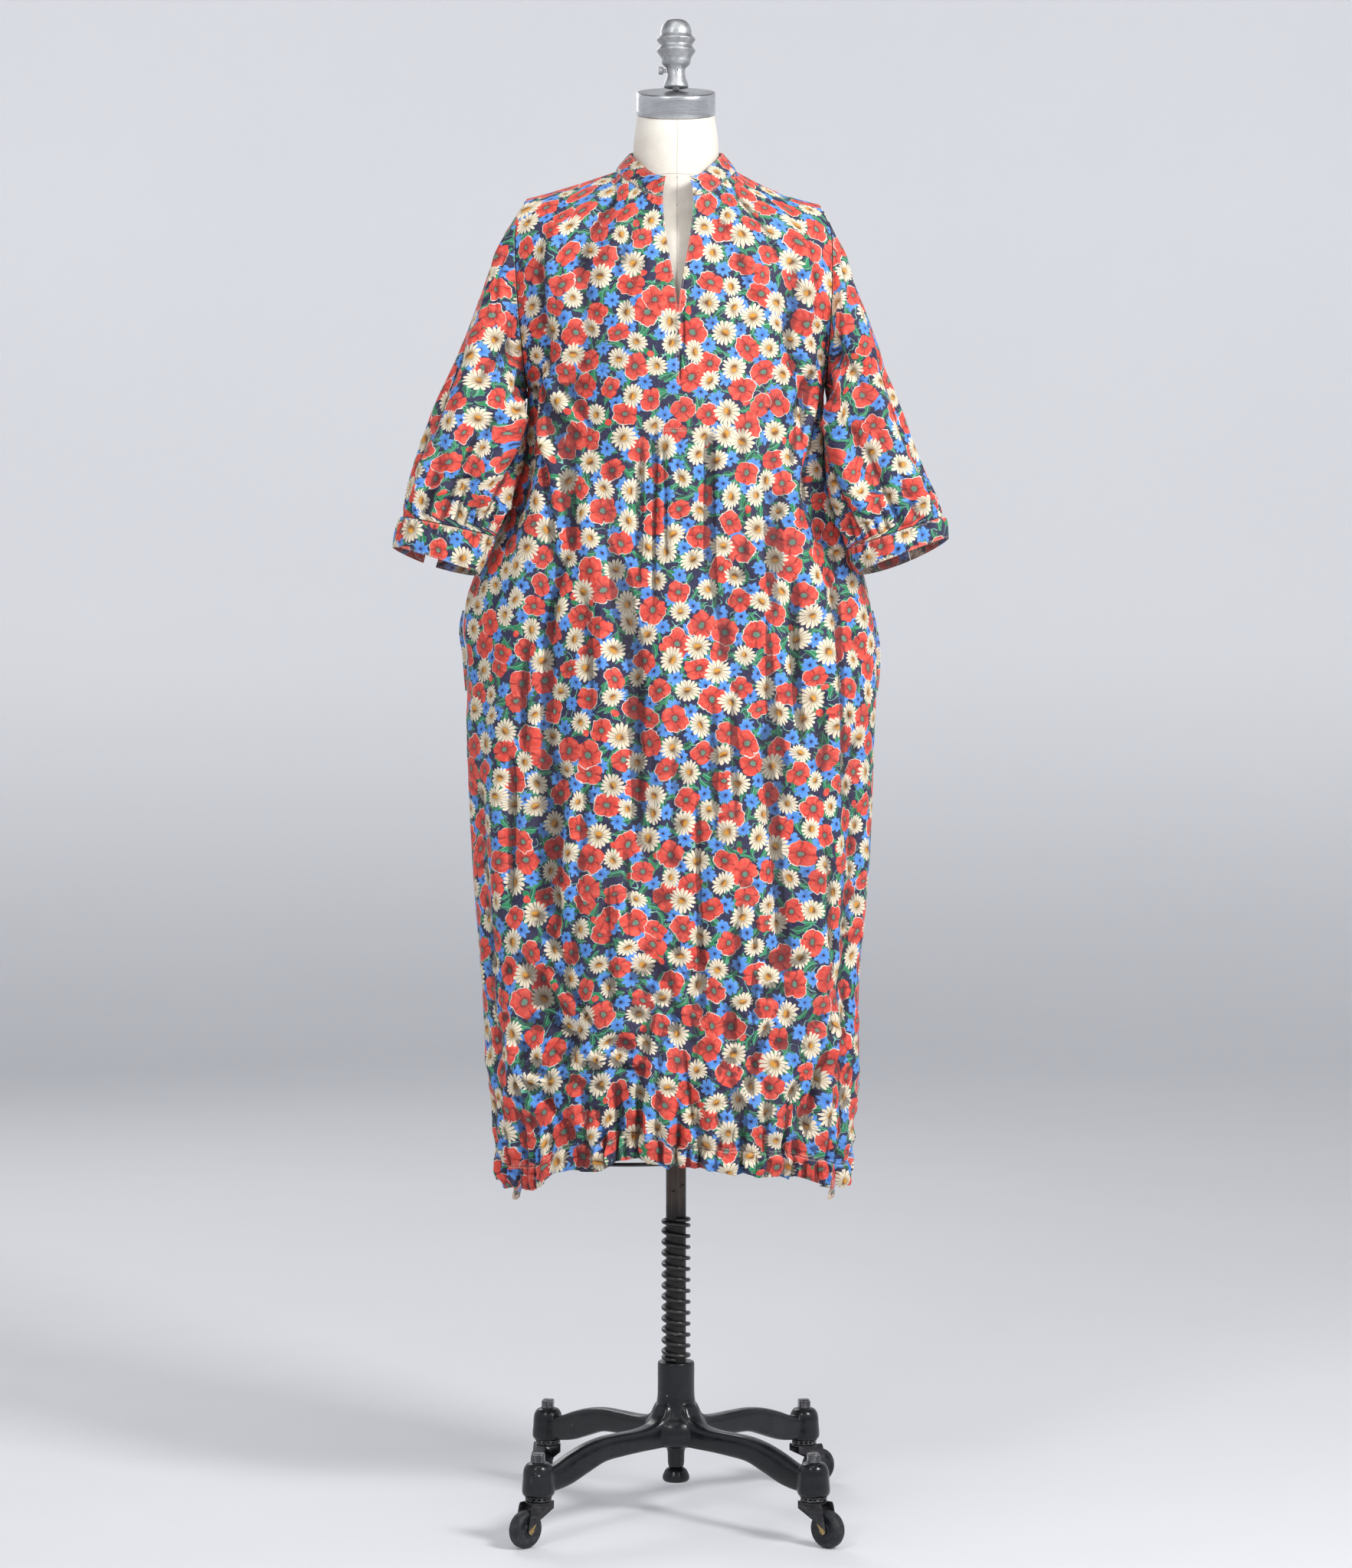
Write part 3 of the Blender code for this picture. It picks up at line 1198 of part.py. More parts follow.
def build_casters(steel, rubber):
    fork = build_fork(steel)
    wheel = build_wheel(rubber)
    for caster in CASTERS:
        build_bolt(caster, steel)
        centre = Vector((caster.x_sign * CASTER_X, caster.y_sign * CASTER_Y, 0))
        trail = Vector((caster.trail_x, caster.trail_y, 0)).normalized()
        turn = math.atan2(trail.y, trail.x)
        turned(f"race_{caster.name}", RACE, BOSS_SIDES, steel, centre=centre)
        for source, label, place in (
            (fork, "fork", centre),
            (wheel, "wheel", centre + trail * TRAIL + Vector((0, 0, AXLE_HEIGHT))),
        ):
            copy = bpy.data.objects.new(f"{label}_{caster.name}", source.data)
            copy.location = place
            copy.rotation_euler = (0, 0, turn)
            bpy.context.scene.collection.objects.link(copy)
    for source in (fork, wheel):
        bpy.data.objects.remove(source, do_unlink=True)


# ---------------------------------------------------------------- running order
def clear_scene():
    for made in list(bpy.data.objects):
        bpy.data.objects.remove(made, do_unlink=True)


def main():
    clear_scene()
    cloth = material("print cloth", (0.45, 0.12, 0.10), 0.75)
    canvas = material("canvas", (0.76, 0.70, 0.58), 0.90)
    steel = material("brushed steel", (0.55, 0.56, 0.57), 0.32, 1.0)
    aluminium = material("cast aluminium", (0.50, 0.51, 0.50), 0.42, 1.0)
    brown = material("brown steel", (0.045, 0.030, 0.022), 0.45, 0.6)
    black = material("black wire", (0.010, 0.010, 0.011), 0.35, 0.6)
    iron = material("black enamel", (0.012, 0.014, 0.016), 0.32, 0.2)
    rubber = material("hard rubber", (0.020, 0.024, 0.027), 0.50)
    fork_steel = material("dark steel", (0.10, 0.10, 0.11), 0.40, 0.8)

    front = build_front(cloth)
    back = build_back(cloth)
    build_collar(front[0], back[0], cloth)
    for side, rings, cuff in zip(SIDES, (SLEEVE_LEFT, SLEEVE_RIGHT), (CUFF_LEFT, CUFF_RIGHT)):
        build_sleeve(f"sleeve_{side.name}", rings, side, cloth)
        build_cuff(f"cuff_{side.name}", rings, cuff, side, cloth)
        build_pocket(f"pocket_{side.name}", side, front[:, 0 if side.sign < 0 else -1], cloth)
    casing = build_casing("casing_front", -1, column_places(FRONT_NECK, FRONT_SHOULDER), cloth)
    build_casing("casing_back", 1, column_places(BACK_NECK, BACK_SHOULDER), cloth)
    build_tie("tie_left", casing, TIE_LEFT_COLUMN, TIE_LEFT, cloth)
    build_tie("tie_right", casing, TIE_RIGHT_COLUMN, TIE_RIGHT, cloth)

    build_torso(canvas)
    build_cap(steel)
    build_finial(aluminium)
    build_tube(steel)
    build_cage(black)

    build_pole(brown)
    build_spring(black)
    build_base(iron)
    build_foot(iron)
    build_casters(fork_steel, rubber)


main()
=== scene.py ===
# A printed cotton shirt dress on a canvas dress form, whose cast base stands on four casters.
import math

import bmesh
import bpy
import numpy as np
from mathutils import Matrix, Vector
from mathutils.bvhtree import BVHTree


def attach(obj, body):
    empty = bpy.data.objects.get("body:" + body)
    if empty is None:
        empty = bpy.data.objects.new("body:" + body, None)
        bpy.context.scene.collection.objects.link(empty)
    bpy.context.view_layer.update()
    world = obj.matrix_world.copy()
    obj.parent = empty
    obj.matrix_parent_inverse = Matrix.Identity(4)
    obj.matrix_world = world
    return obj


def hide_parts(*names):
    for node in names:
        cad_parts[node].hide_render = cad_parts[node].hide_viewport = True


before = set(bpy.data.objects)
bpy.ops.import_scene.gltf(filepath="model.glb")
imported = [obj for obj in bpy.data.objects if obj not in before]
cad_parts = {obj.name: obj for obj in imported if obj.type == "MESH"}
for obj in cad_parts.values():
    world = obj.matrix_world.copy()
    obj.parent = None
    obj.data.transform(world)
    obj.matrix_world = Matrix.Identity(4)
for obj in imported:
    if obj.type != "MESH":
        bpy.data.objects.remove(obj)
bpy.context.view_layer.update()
scene = bpy.context.scene
scene.view_settings.view_transform = "Standard"  # the dyes keep their full strength
fullTurn = 2 * math.pi
print("frame loaded:", len(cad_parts), "nodes")


# the camera stands 4.7 m in front of the dress, a little above its middle
cameraPlace = {"place": (0.0, -4.7, 1.05), "aim": (0.0, 0.0, 0.914), "lens": 86.7, "sensor": 36.0}


def standAndAim(thing, spec):
    place = Vector(spec["place"])
    thing.location = place
    thing.rotation_euler = (Vector(spec["aim"]) - place).to_track_quat("-Z", "Y").to_euler()
    scene.collection.objects.link(thing)


def makeCamera(place):
    data = bpy.data.cameras.new("studioCamera")
    data.lens = place["lens"]
    data.sensor_width = place["sensor"]
    data.sensor_fit = "AUTO"
    data.clip_end = 60.0
    camera = bpy.data.objects.new("studioCamera", data)
    standAndAim(camera, place)
    scene.camera = camera


makeCamera(cameraPlace)
print("camera placed")


# ---- small tools for numbers
def smooth(low, high, value):
    s = np.clip((np.asarray(value, float) - low) / (high - low), 0.0, 1.0)
    return s * s * (3 - 2 * s)


def stacked(*parts):
    # coordinates, or other columns, side by side in the last axis
    return np.stack(np.broadcast_arrays(*parts), axis=-1)


def turnsOf(count):
    # so many equal steps of turn
    return fullTurn * np.arange(count) / count


def millimetres(rows, bare=()):
    # a table written in millimetres, as metres; the bare columns are shares, turns and kinds
    return [tuple(value if k in bare else value / 1000 for k, value in enumerate(row)) for row in rows]


def hermite(places, values, at):
    # a smooth curve through the values at these places
    right = np.clip(np.searchsorted(places, at), 1, len(places) - 1)
    left = right - 1
    before, after = np.maximum(left - 1, 0), np.minimum(right + 1, len(places) - 1)
    shape = np.shape(at) + (1,) * (values.ndim - 1)
    span = (places[right] - places[left]).reshape(shape)
    slopeLeft = (values[right] - values[before]) / (places[right] - places[before]).reshape(shape)
    slopeRight = (values[after] - values[left]) / (places[after] - places[left]).reshape(shape)
    s = (at - places[left]).reshape(shape) / span
    return (
        values[left] * (2 * s**3 - 3 * s**2 + 1)
        + values[right] * (3 * s**2 - 2 * s**3)
        + span * slopeLeft * (s**3 - 2 * s**2 + s)
        + span * slopeRight * (s**3 - s**2)
    )


def curveAt(rows, at, column=1):
    # one column of a table as a smooth curve over its first
    table = np.array(sorted(rows), float)
    places = table[:, 0]
    return hermite(places, table[:, column], np.clip(at, places[0], places[-1]))


def between(rings, steps):
    # smooth rings through the given ones, so many steps from each to the next
    rings = np.asarray(rings, float)
    gaps = np.linalg.norm(np.diff(rings, axis=0), axis=-1)
    gaps = gaps.reshape(len(gaps), -1).mean(axis=1) + 1e-7
    t = np.concatenate([[0.0], np.cumsum(gaps)])
    parts = [np.linspace(low, high, steps, endpoint=False) for low, high in zip(t, t[1:])]
    return hermite(t, rings, np.concatenate([*parts, t[-1:]]))


def spread(low, high, count):
    return np.linspace(low, high, count)


def valueNoise(u, v, seed):
    # smooth noise between 0 and 1 over the cloth, the same each run
    size = 64
    lattice = np.random.default_rng(seed).random((size, size))
    u, v = np.broadcast_arrays(np.asarray(u, float), np.asarray(v, float))
    column, row = np.floor(u).astype(int), np.floor(v).astype(int)
    s, t = u - column, v - row
    s, t = s * s * (3 - 2 * s), t * t * (3 - 2 * t)
    near = lattice[row % size, column % size] * (1 - s) + lattice[row % size, (column + 1) % size] * s
    far = lattice[(row + 1) % size, column % size] * (1 - s)
    far += lattice[(row + 1) % size, (column + 1) % size] * s
    return near * (1 - t) + far * t


def crinkle(u, v, seed):
    # small sharp creases, 12 to 50 mm apart
    total = 0.0
    for step, (across, down, share) in enumerate(((38, 24, 1.0), (70, 44, 0.55), (120, 90, 0.28))):
        # each layer of noise is turned a little against the one before
        turn = 0.5 + 0.9 * step
        a = (u * math.cos(turn) + v * math.sin(turn)) * across
        b = (v * math.cos(turn) - u * math.sin(turn)) * down
        total = total + share * (1 - np.abs(2 * valueNoise(a + 3.1 * step, b + 7.7, seed + step) - 1) * 1.6)
    return total / 1.83


def normalsOf(grid):
    across = np.gradient(grid, axis=1)
    down = np.gradient(grid, axis=0)
    normals = np.cross(down, across)
    return normals / np.maximum(np.linalg.norm(normals, axis=2, keepdims=True), 1e-9)


def facing(normals, way):
    # the normals, turned about if they point against the given way
    return -normals if np.sum(normals * way) < 0 else normals


def quadCorners(table):
    # the four corners of each square of a grid
    return np.stack([table[:-1, :-1], table[1:, :-1], table[1:, 1:], table[:-1, 1:]], axis=2)


def quadNormals(points, quads):
    first = points[quads[:, 0]]
    return np.cross(points[quads[:, 1]] - first, points[quads[:, 3]] - first)


def lengthAlong(grid, axis):
    steps = np.linalg.norm(np.diff(grid, axis=axis), axis=2)
    start = np.zeros_like(np.take(steps, [0], axis=axis))
    return np.concatenate([start, np.cumsum(steps, axis=axis)], axis=axis)


# ---- small tools for materials
def worked(operation, swapped=False):
    def apply(self, other):
        pair = (other, self) if swapped else (self, other)
        return self.graph.math(operation, *pair)

    return apply


class Term:
    # a node's output; a sum or a product with it makes the node that works it out
    def __init__(self, graph, socket):
        self.graph = graph
        self.socket = socket

    __add__ = __radd__ = worked("ADD")
    __mul__ = __rmul__ = worked("MULTIPLY")
    __sub__, __rsub__ = worked("SUBTRACT"), worked("SUBTRACT", True)
    __truediv__, __rtruediv__ = worked("DIVIDE"), worked("DIVIDE", True)
    __pow__, __gt__, __lt__ = worked("POWER"), worked("GREATER_THAN"), worked("LESS_THAN")

    def __abs__(self):
        return self.graph.math("ABSOLUTE", self)


class Graph:
    def __init__(self, tree):
        self.tree = tree

    def put(self, socket, value):
        if isinstance(value, Term):
            value = value.socket
        if isinstance(value, bpy.types.NodeSocket):
            self.tree.links.new(value, socket)
        else:
            socket.default_value = (*value, 1.0) if socket.type == "RGBA" else value

    def node(self, kind, inputs=None, **settings):
        made = self.tree.nodes.new(kind)
        for key, value in settings.items():
            setattr(made, key, value)
        for key, value in (inputs or {}).items():
            self.put(made.inputs[key], value)
        return made

    def term(self, kind, inputs=None, output=0, **settings):
        return Term(self, self.node(kind, inputs, **settings).outputs[output])

    def math(self, operation, *values, clamp=False):
        return self.term("ShaderNodeMath", dict(enumerate(values)), operation=operation, use_clamp=clamp)

    def sine(self, value):
        return self.math("SINE", value)

    def cosine(self, value):
        return self.math("COSINE", value)

    def fraction(self, value):
        return self.math("FRACT", value)

    def vector(self, operation, *values):
        output = 1 if operation == "LENGTH" else 0
        return self.term("ShaderNodeVectorMath", dict(enumerate(values)), output, operation=operation)

    def scaled(self, vector, factor):
        return self.term("ShaderNodeVectorMath", {0: vector, "Scale": factor}, operation="SCALE")

    def split(self, vector):
        return [Term(self, output) for output in self.node("ShaderNodeSeparateXYZ", {0: vector}).outputs]

    def combine(self, x, y, z=0.0):
        return self.term("ShaderNodeCombineXYZ", {0: x, 1: y, 2: z})

    def ramp(self, value, low, high, start=0.0, end=1.0):
        inputs = {"Value": value, "From Min": low, "From Max": high, "To Min": start, "To Max": end}
        return self.term("ShaderNodeMapRange", inputs, interpolation_type="SMOOTHSTEP")

    def mix(self, factor, first, second):
        return self.term("ShaderNodeMix", {0: factor, 6: first, 7: second}, 2, data_type="RGBA")

    def choose(self, which, first, second):
        return self.term("ShaderNodeMix", {0: which, 2: first, 3: second}, data_type="FLOAT")

    def noise(self, vector, scale, detail=2.0, rough=0.5):
        inputs = {"Vector": vector, "Scale": scale, "Detail": detail, "Roughness": rough}
        return self.term("ShaderNodeTexNoise", inputs)

    def bump(self, height, strength, distance, **more):
        inputs = {"Height": height, "Strength": strength, "Distance": distance, **more}
        return self.term("ShaderNodeBump", inputs)

    def uv(self, name):
        return self.term("ShaderNodeUVMap", uv_map=name)


def newGroup(name, inputs, outputs):
    # the kinds of socket go by their first letters
    kinds = {"v": "NodeSocketVector", "f": "NodeSocketFloat", "c": "NodeSocketColor"}
    tree = bpy.data.node_groups.new(name, "ShaderNodeTree")
    for way, sockets in (("INPUT", inputs), ("OUTPUT", outputs)):
        for label, kind in sockets.items():
            tree.interface.new_socket(label, in_out=way, socket_type=kinds[kind])
    g = Graph(tree)
    given = {socket.name: Term(g, socket) for socket in g.node("NodeGroupInput").outputs}
    return tree, g, given, g.node("NodeGroupOutput").inputs


def motifGroup(name, more=None):
    # every motif is drawn at its own place, with three random numbers and the hand's wobble
    inputs = {"Local": "v", "Random": "v", "Wobble": "f", **(more or {})}
    return newGroup(name, inputs, {"Mask": "f", "Colour": "c"})


def newMaterial(name):
    made = bpy.data.materials.new(name)
    made.use_nodes = True
    return made, Graph(made.node_tree), made.node_tree.nodes["Principled BSDF"]


# ---- the flower print: poppies, daisies, small blue flowers and leaves on navy
printLook = {
    "turn": 0.24,  # the whole layout leans a little against the grain
    "flowerCell": 0.062,
    "gapCell": 0.031,
    "leafCell": 0.0215,
    "poppyShare": (0.92, 0.9, 0.12, 0.18),  # the four layers of large flowers
    "poppyRadius": 0.017,
    "daisyRadius": 0.0152,
    "blueRadius": 0.0105,
    "navy": (0.015, 0.0165, 0.064),
    "red": (0.74, 0.052, 0.034),
    "redDeep": (0.36, 0.014, 0.012),
    "redLight": (0.84, 0.115, 0.072),
    "white": (0.88, 0.79, 0.71),
    "petal": (0.85, 0.75, 0.57),
    "cream": (0.74, 0.6, 0.39),
    "creamShade": (0.23, 0.15, 0.08),
    "amber": (0.7, 0.31, 0.03),
    "amberShade": (0.23, 0.08, 0.012),
    "blue": (0.048, 0.22, 0.69),
    "blueLight": (0.15, 0.4, 0.85),
    "green": (0.008, 0.24, 0.085),
    "greenDeep": (0.006, 0.112, 0.05),
    "mint": (0.23, 0.56, 0.43),
    "pistil": (0.09, 0.15, 0.105),
    "ink": (0.02, 0.014, 0.02),
}


def siteGroup():
    # the nearest flower's place: local x and y in metres, turned at random, and three random numbers
    tree, g, given, out = newGroup(
        "flowerSite", {"Cloth": "v", "Cell": "f", "Spread": "f"}, {"Local": "v", "Random": "v"}
    )
    placed = g.scaled(given["Cloth"], 1.0 / given["Cell"])
    inputs = {"Vector": placed, "Scale": 1.0, "Randomness": given["Spread"]}
    sites = g.node("ShaderNodeTexVoronoi", inputs, voronoi_dimensions="2D", feature="F1")
    away = g.scaled(g.vector("SUBTRACT", placed, sites.outputs["Position"]), given["Cell"])
    chance = g.split(sites.outputs["Color"])
    turn = chance[0] * fullTurn
    local = g.term("ShaderNodeVectorRotate", {"Vector": away, "Angle": turn}, rotation_type="Z_AXIS")
    g.put(out["Local"], local)
    g.put(out["Random"], sites.outputs["Color"])
    return tree


def bigFlowerGroup(look):
    # one poppy or one daisy at each site
    tree, g, given, out = motifGroup("poppyOrDaisy", {"Poppies": "f"})
    chance = g.split(given["Random"])
    place = g.split(given["Local"])
    slant = g.ramp(g.fraction(chance[0] * 7.3), 0.0, 1.0, 1.0, 1.34)
    x = place[0]
    y = place[1] * slant
    size = g.ramp(chance[2], 0.0, 1.0, 0.88, 1.12)
    reach = g.vector("LENGTH", g.combine(x, y)) / size
    angle = g.math("ARCTAN2", y, x)
    wobble = given["Wobble"]

    # the poppy: four broad petals with a pale edge on one side
    lobes = abs(g.sine(angle * 2.0)) ** 0.45
    outline = lobes * 0.22 + 0.76
    outline = outline + (wobble - 0.5) * 0.34
    outline = outline * look["poppyRadius"]
    inside = outline - reach
    poppyMask = g.ramp(inside, -0.0002, 0.0003)
    lit = g.ramp(g.sine(angle + 1.1), -0.35, 0.15)
    edge = g.ramp(inside, 0.0012, 0.0006) * lit
    shade = g.ramp(lobes, 0.68, 0.35) * g.ramp(reach, 0.003, 0.008)
    red = g.mix(g.ramp(wobble, 0.35, 0.68), look["red"], look["redLight"])
    red = g.mix(shade * 0.85, red, look["redDeep"])
    red = g.mix(g.ramp(inside, 0.005, 0.0125, 0.0, 0.65), red, look["redDeep"])
    red = g.mix(edge, red, look["white"])
    spokes = g.sine(angle * 13.0)
    ring = g.ramp(reach, 0.006, 0.0045) * g.ramp(spokes, -0.2, 0.4)
    red = g.mix(ring, red, look["ink"])
    heart = g.mix(g.ramp(spokes, 0.2, 0.9, 0.0, 0.65), look["pistil"], look["mint"])
    red = g.mix(g.ramp(reach, 0.0034, 0.0028), red, heart)

    # the daisy: sixteen narrow petals round an amber heart
    petals = abs(g.cosine(angle * 8.0))
    rim = petals ** 0.7 * 0.36 + 0.62
    rim = rim + (wobble - 0.5) * 0.34
    inPetal = rim * look["daisyRadius"] - reach
    daisyMask = g.ramp(inPetal, -0.0002, 0.0003)
    between = g.ramp(petals, 0.46, 0.14) * g.ramp(reach, 0.0036, 0.007)
    cream = g.mix(g.ramp(reach, 0.0045, 0.01), look["cream"], look["petal"])
    cream = g.mix(between * 0.8, cream, look["creamShade"])
    cream = g.mix(g.ramp(reach, 0.0072, 0.0038, 0.0, 0.62), cream, look["creamShade"])
    amber = g.mix(g.ramp(y + wobble * 0.004, 0.0005, 0.004),
                  look["amber"], look["amberShade"])
    cream = g.mix(g.ramp(reach, 0.0042, 0.0036), cream, amber)

    isDaisy = chance[1] > given["Poppies"]
    g.put(out["Mask"], g.choose(isDaisy, poppyMask, daisyMask))
    g.put(out["Colour"], g.mix(isDaisy, red, cream))
    return tree


def smallFlowerGroup(look):
    # in the gaps: a blue flower, or a red bud on its green calyx
    tree, g, given, out = motifGroup("blueOrBud")
    chance = g.split(given["Random"])
    place = g.split(given["Local"])
    reach = g.vector("LENGTH", given["Local"])
    angle = g.math("ARCTAN2", place[1], place[0])
    rays = abs(g.cosine(angle * 4.0))
    rim = rays ** 0.7 * 0.42 + 0.52
    rim = rim + (given["Wobble"] - 0.5) * 0.7
    inRay = rim * look["blueRadius"] - reach
    blueMask = g.ramp(inRay, -0.0002, 0.0003)
    streak = abs(g.cosine(angle * 12.0))
    blue = g.mix(g.ramp(streak, 0.45, 0.95) * g.ramp(reach, 0.0018, 0.006),
                 look["blue"], look["blueLight"])
    blue = g.mix(g.ramp(reach, 0.0026, 0.0012), blue, look["navy"])
    budReach = g.vector("LENGTH", g.combine(place[0] * 1.25, place[1]))
    budMask = g.ramp(budReach, 0.0052, 0.0047)
    calyx = g.vector("LENGTH", g.combine(place[0], place[1] * 0.8 + 0.0048))
    calyxMask = g.ramp(calyx, 0.0041, 0.0036)
    bud = g.mix(g.ramp(given["Wobble"], 0.42, 0.6), look["red"], look["redLight"])
    bud = g.mix(calyxMask * (1.0 - budMask), bud, look["green"])
    isBud = chance[1] > 0.86
    g.put(out["Mask"], g.choose(isBud, blueMask, g.math("MAXIMUM", budMask, calyxMask)))
    g.put(out["Colour"], g.mix(isBud, blue, bud))
    return tree


def leafGroup(look):
    # one pointed leaf with a pale vein
    tree, g, given, out = motifGroup("leaf")
    place = g.split(given["Local"])
    bow = place[0] * place[0] * 18.0
    aside = place[1] - bow
    along = place[0] / 0.0118
    half = 1.0 - along * along
    half = half * g.ramp(given["Wobble"], 0.3, 0.7, 0.0022, 0.0052)
    inside = half - abs(aside)
    g.put(out["Mask"], g.ramp(inside, -0.0002, 0.0003))
    colour = g.mix(g.ramp(aside, -0.0004, 0.0006), look["green"], look["greenDeep"])
    vein = g.ramp(abs(aside), 0.0007, 0.0003, 0.0, 0.55)
    colour = g.mix(vein, colour, look["mint"])
    g.put(out["Colour"], g.mix(g.ramp(inside, 0.0008, 0.0004, 0.0, 0.28), colour, look["mint"]))
    return tree


def printGroup(look):
    site, big, small, leaf = siteGroup(), bigFlowerGroup(look), smallFlowerGroup(look), leafGroup(look)
    tree, g, given, out = newGroup("flowerPrint", {"Cloth": "v"}, {"Colour": "c"})
    inputs = {"Vector": given["Cloth"], "Angle": look["turn"]}
    cloth = g.term("ShaderNodeVectorRotate", inputs, rotation_type="Z_AXIS")
    # the drawing hand: every outline is pushed about a little
    drift = g.term("ShaderNodeTexNoise", {"Vector": cloth, "Scale": 75.0, "Detail": 1.0}, output=1)
    push = g.scaled(g.vector("SUBTRACT", drift, (0.5, 0.5, 0.5)), 0.0062)
    cloth = g.vector("ADD", cloth, push)
    wobble = g.noise(cloth, 160.0, 1.0)
    colour = look["navy"]
    # pale stems that wander over the ground
    line = abs(g.noise(cloth, 62.0, 0.0) - 0.5)
    stems = g.ramp(line, 0.016, 0.008) * g.ramp(g.noise(cloth, 34.0, 0.0), 0.5, 0.56)
    colour = g.mix(stems, colour, look["mint"])
    flowerCell, gapCell, leafCell = look["flowerCell"], look["gapCell"], look["leafCell"]
    layers = [
        (leaf, leafCell, 0.55, (0.0, 0.0)),
        (leaf, leafCell * 1.13, 0.55, (11.317, 5.709)),
        (small, gapCell, 0.34, (gapCell * 0.41, gapCell * 0.41)),
    ]
    half = flowerCell / 2
    for step, (aside, up) in enumerate(((0, 0), (half, half), (half, 0), (0, half))):
        far = flowerCell * 40 * step
        layers.append((big, flowerCell, 0.26, (aside + far, up + far), look["poppyShare"][step]))
    for motif, cell, loose, shift, *share in layers:
        moved = g.vector("ADD", cloth, (shift[0], shift[1], 0.0))
        found = g.node("ShaderNodeGroup", {"Cloth": moved, "Cell": cell, "Spread": loose}, node_tree=site)
        inputs = {label: found.outputs[label] for label in ("Local", "Random")}
        if share:
            inputs["Poppies"] = share[0]
        drawn = g.node("ShaderNodeGroup", {**inputs, "Wobble": wobble}, node_tree=motif)
        colour = g.mix(drawn.outputs["Mask"], colour, drawn.outputs["Colour"])
    g.put(out["Colour"], colour)
    return tree


clothLook = {
    "weave": 1500.0,  # threads to the metre
    "stitchFrom": 0.0021,  # the row of stitches lies this far from the edge
    "stitchHalf": 0.00034,
    "stitchPitch": 0.003,
    "thread": (0.62, 0.5, 0.42),
}


def makeClothMaterial(name, flowerPrint, wrongSide):
    made, g, shader = newMaterial(name)
    cloth = g.uv("cloth")
    along, away = g.split(g.uv("seam"))[:2]
    colour = g.term("ShaderNodeGroup", {"Cloth": cloth}, node_tree=flowerPrint)
    uv = g.split(cloth)
    # warp and weft
    warp = g.sine(uv[0] * (fullTurn * clothLook["weave"]))
    weft = g.sine(uv[1] * (fullTurn * clothLook["weave"]))
    weave = warp * weft
    slub = g.noise(g.combine(uv[0] * 9.0, uv[1]), 190.0, 3.0)
    mottle = g.noise(cloth, 14.0, 3.0)
    colour = g.mix(g.ramp(slub, 0.35, 0.75, 0.0, 0.07), colour, (0.8, 0.72, 0.64))
    colour = g.mix(g.ramp(mottle, 0.35, 0.7, 0.0, 0.14), colour, (0.1, 0.08, 0.09))
    if wrongSide:
        # the ink comes through only in part
        colour = g.mix(0.42, colour, (0.33, 0.2, 0.19))
    # the stitches beside an edge, and the small puckers that they draw
    inRow = g.ramp(abs(away - clothLook["stitchFrom"]),
                   clothLook["stitchHalf"], clothLook["stitchHalf"] * 0.6)
    step = g.fraction(along / clothLook["stitchPitch"])
    stitch = inRow * g.ramp(abs(step - 0.5), 0.38, 0.32)
    colour = g.mix(stitch * 0.85, colour, clothLook["thread"])
    worn = g.ramp(away, 0.0016, 0.0) * g.ramp(g.noise(cloth, 260.0, 2.0), 0.4, 0.65)
    colour = g.mix(worn * 0.35, colour, (0.72, 0.64, 0.58))
    # painted shade: the colour is darkened down in the folds, the more the deeper each hollow lies
    hollow = g.split(g.uv("fold"))[0]
    colour = g.mix(g.ramp(hollow, 0.015, 0.22, 0.0, 0.66), colour, (0.012, 0.008, 0.014))
    g.put(shader.inputs["Base Color"], colour)
    g.put(shader.inputs["Roughness"], g.ramp(slub, 0.2, 0.8, 0.6, 0.8))
    shader.inputs["Sheen Weight"].default_value = 0.05
    shader.inputs["Sheen Roughness"].default_value = 0.45
    shader.inputs["Specular IOR Level"].default_value = 0.3
    # crumpled cotton: long soft dents, short sharp ones, and puckers along the seams
    ridges = abs(g.noise(cloth, 44.0, 3.0, 0.55) - 0.5)
    small = abs(g.noise(cloth, 115.0, 2.0) - 0.5)
    drift = g.noise(cloth, 55.0, 0.0) * 9.0
    pucker = g.sine(along * (fullTurn / 0.011) + drift)
    pucker = pucker * g.ramp(away, 0.016, 0.002)
    height = ridges * -3.2
    height = height + small * -0.9
    height = height + pucker * 0.34
    normal = g.bump(height, 0.8, 0.0019)
    fine = weave * 0.22 + stitch * 2.2
    dent = g.ramp(abs(away - clothLook["stitchFrom"]), 0.0016, 0.0004)
    fine = fine - dent * 1.1
    g.put(shader.inputs["Normal"], g.bump(fine, 0.4, 0.0004, Normal=normal))
    return made


flowerPrint = printGroup(printLook)
printRight = makeClothMaterial("printedCotton", flowerPrint, False)
printWrong = makeClothMaterial("printedCottonInside", flowerPrint, True)
print("print and cloth materials made")


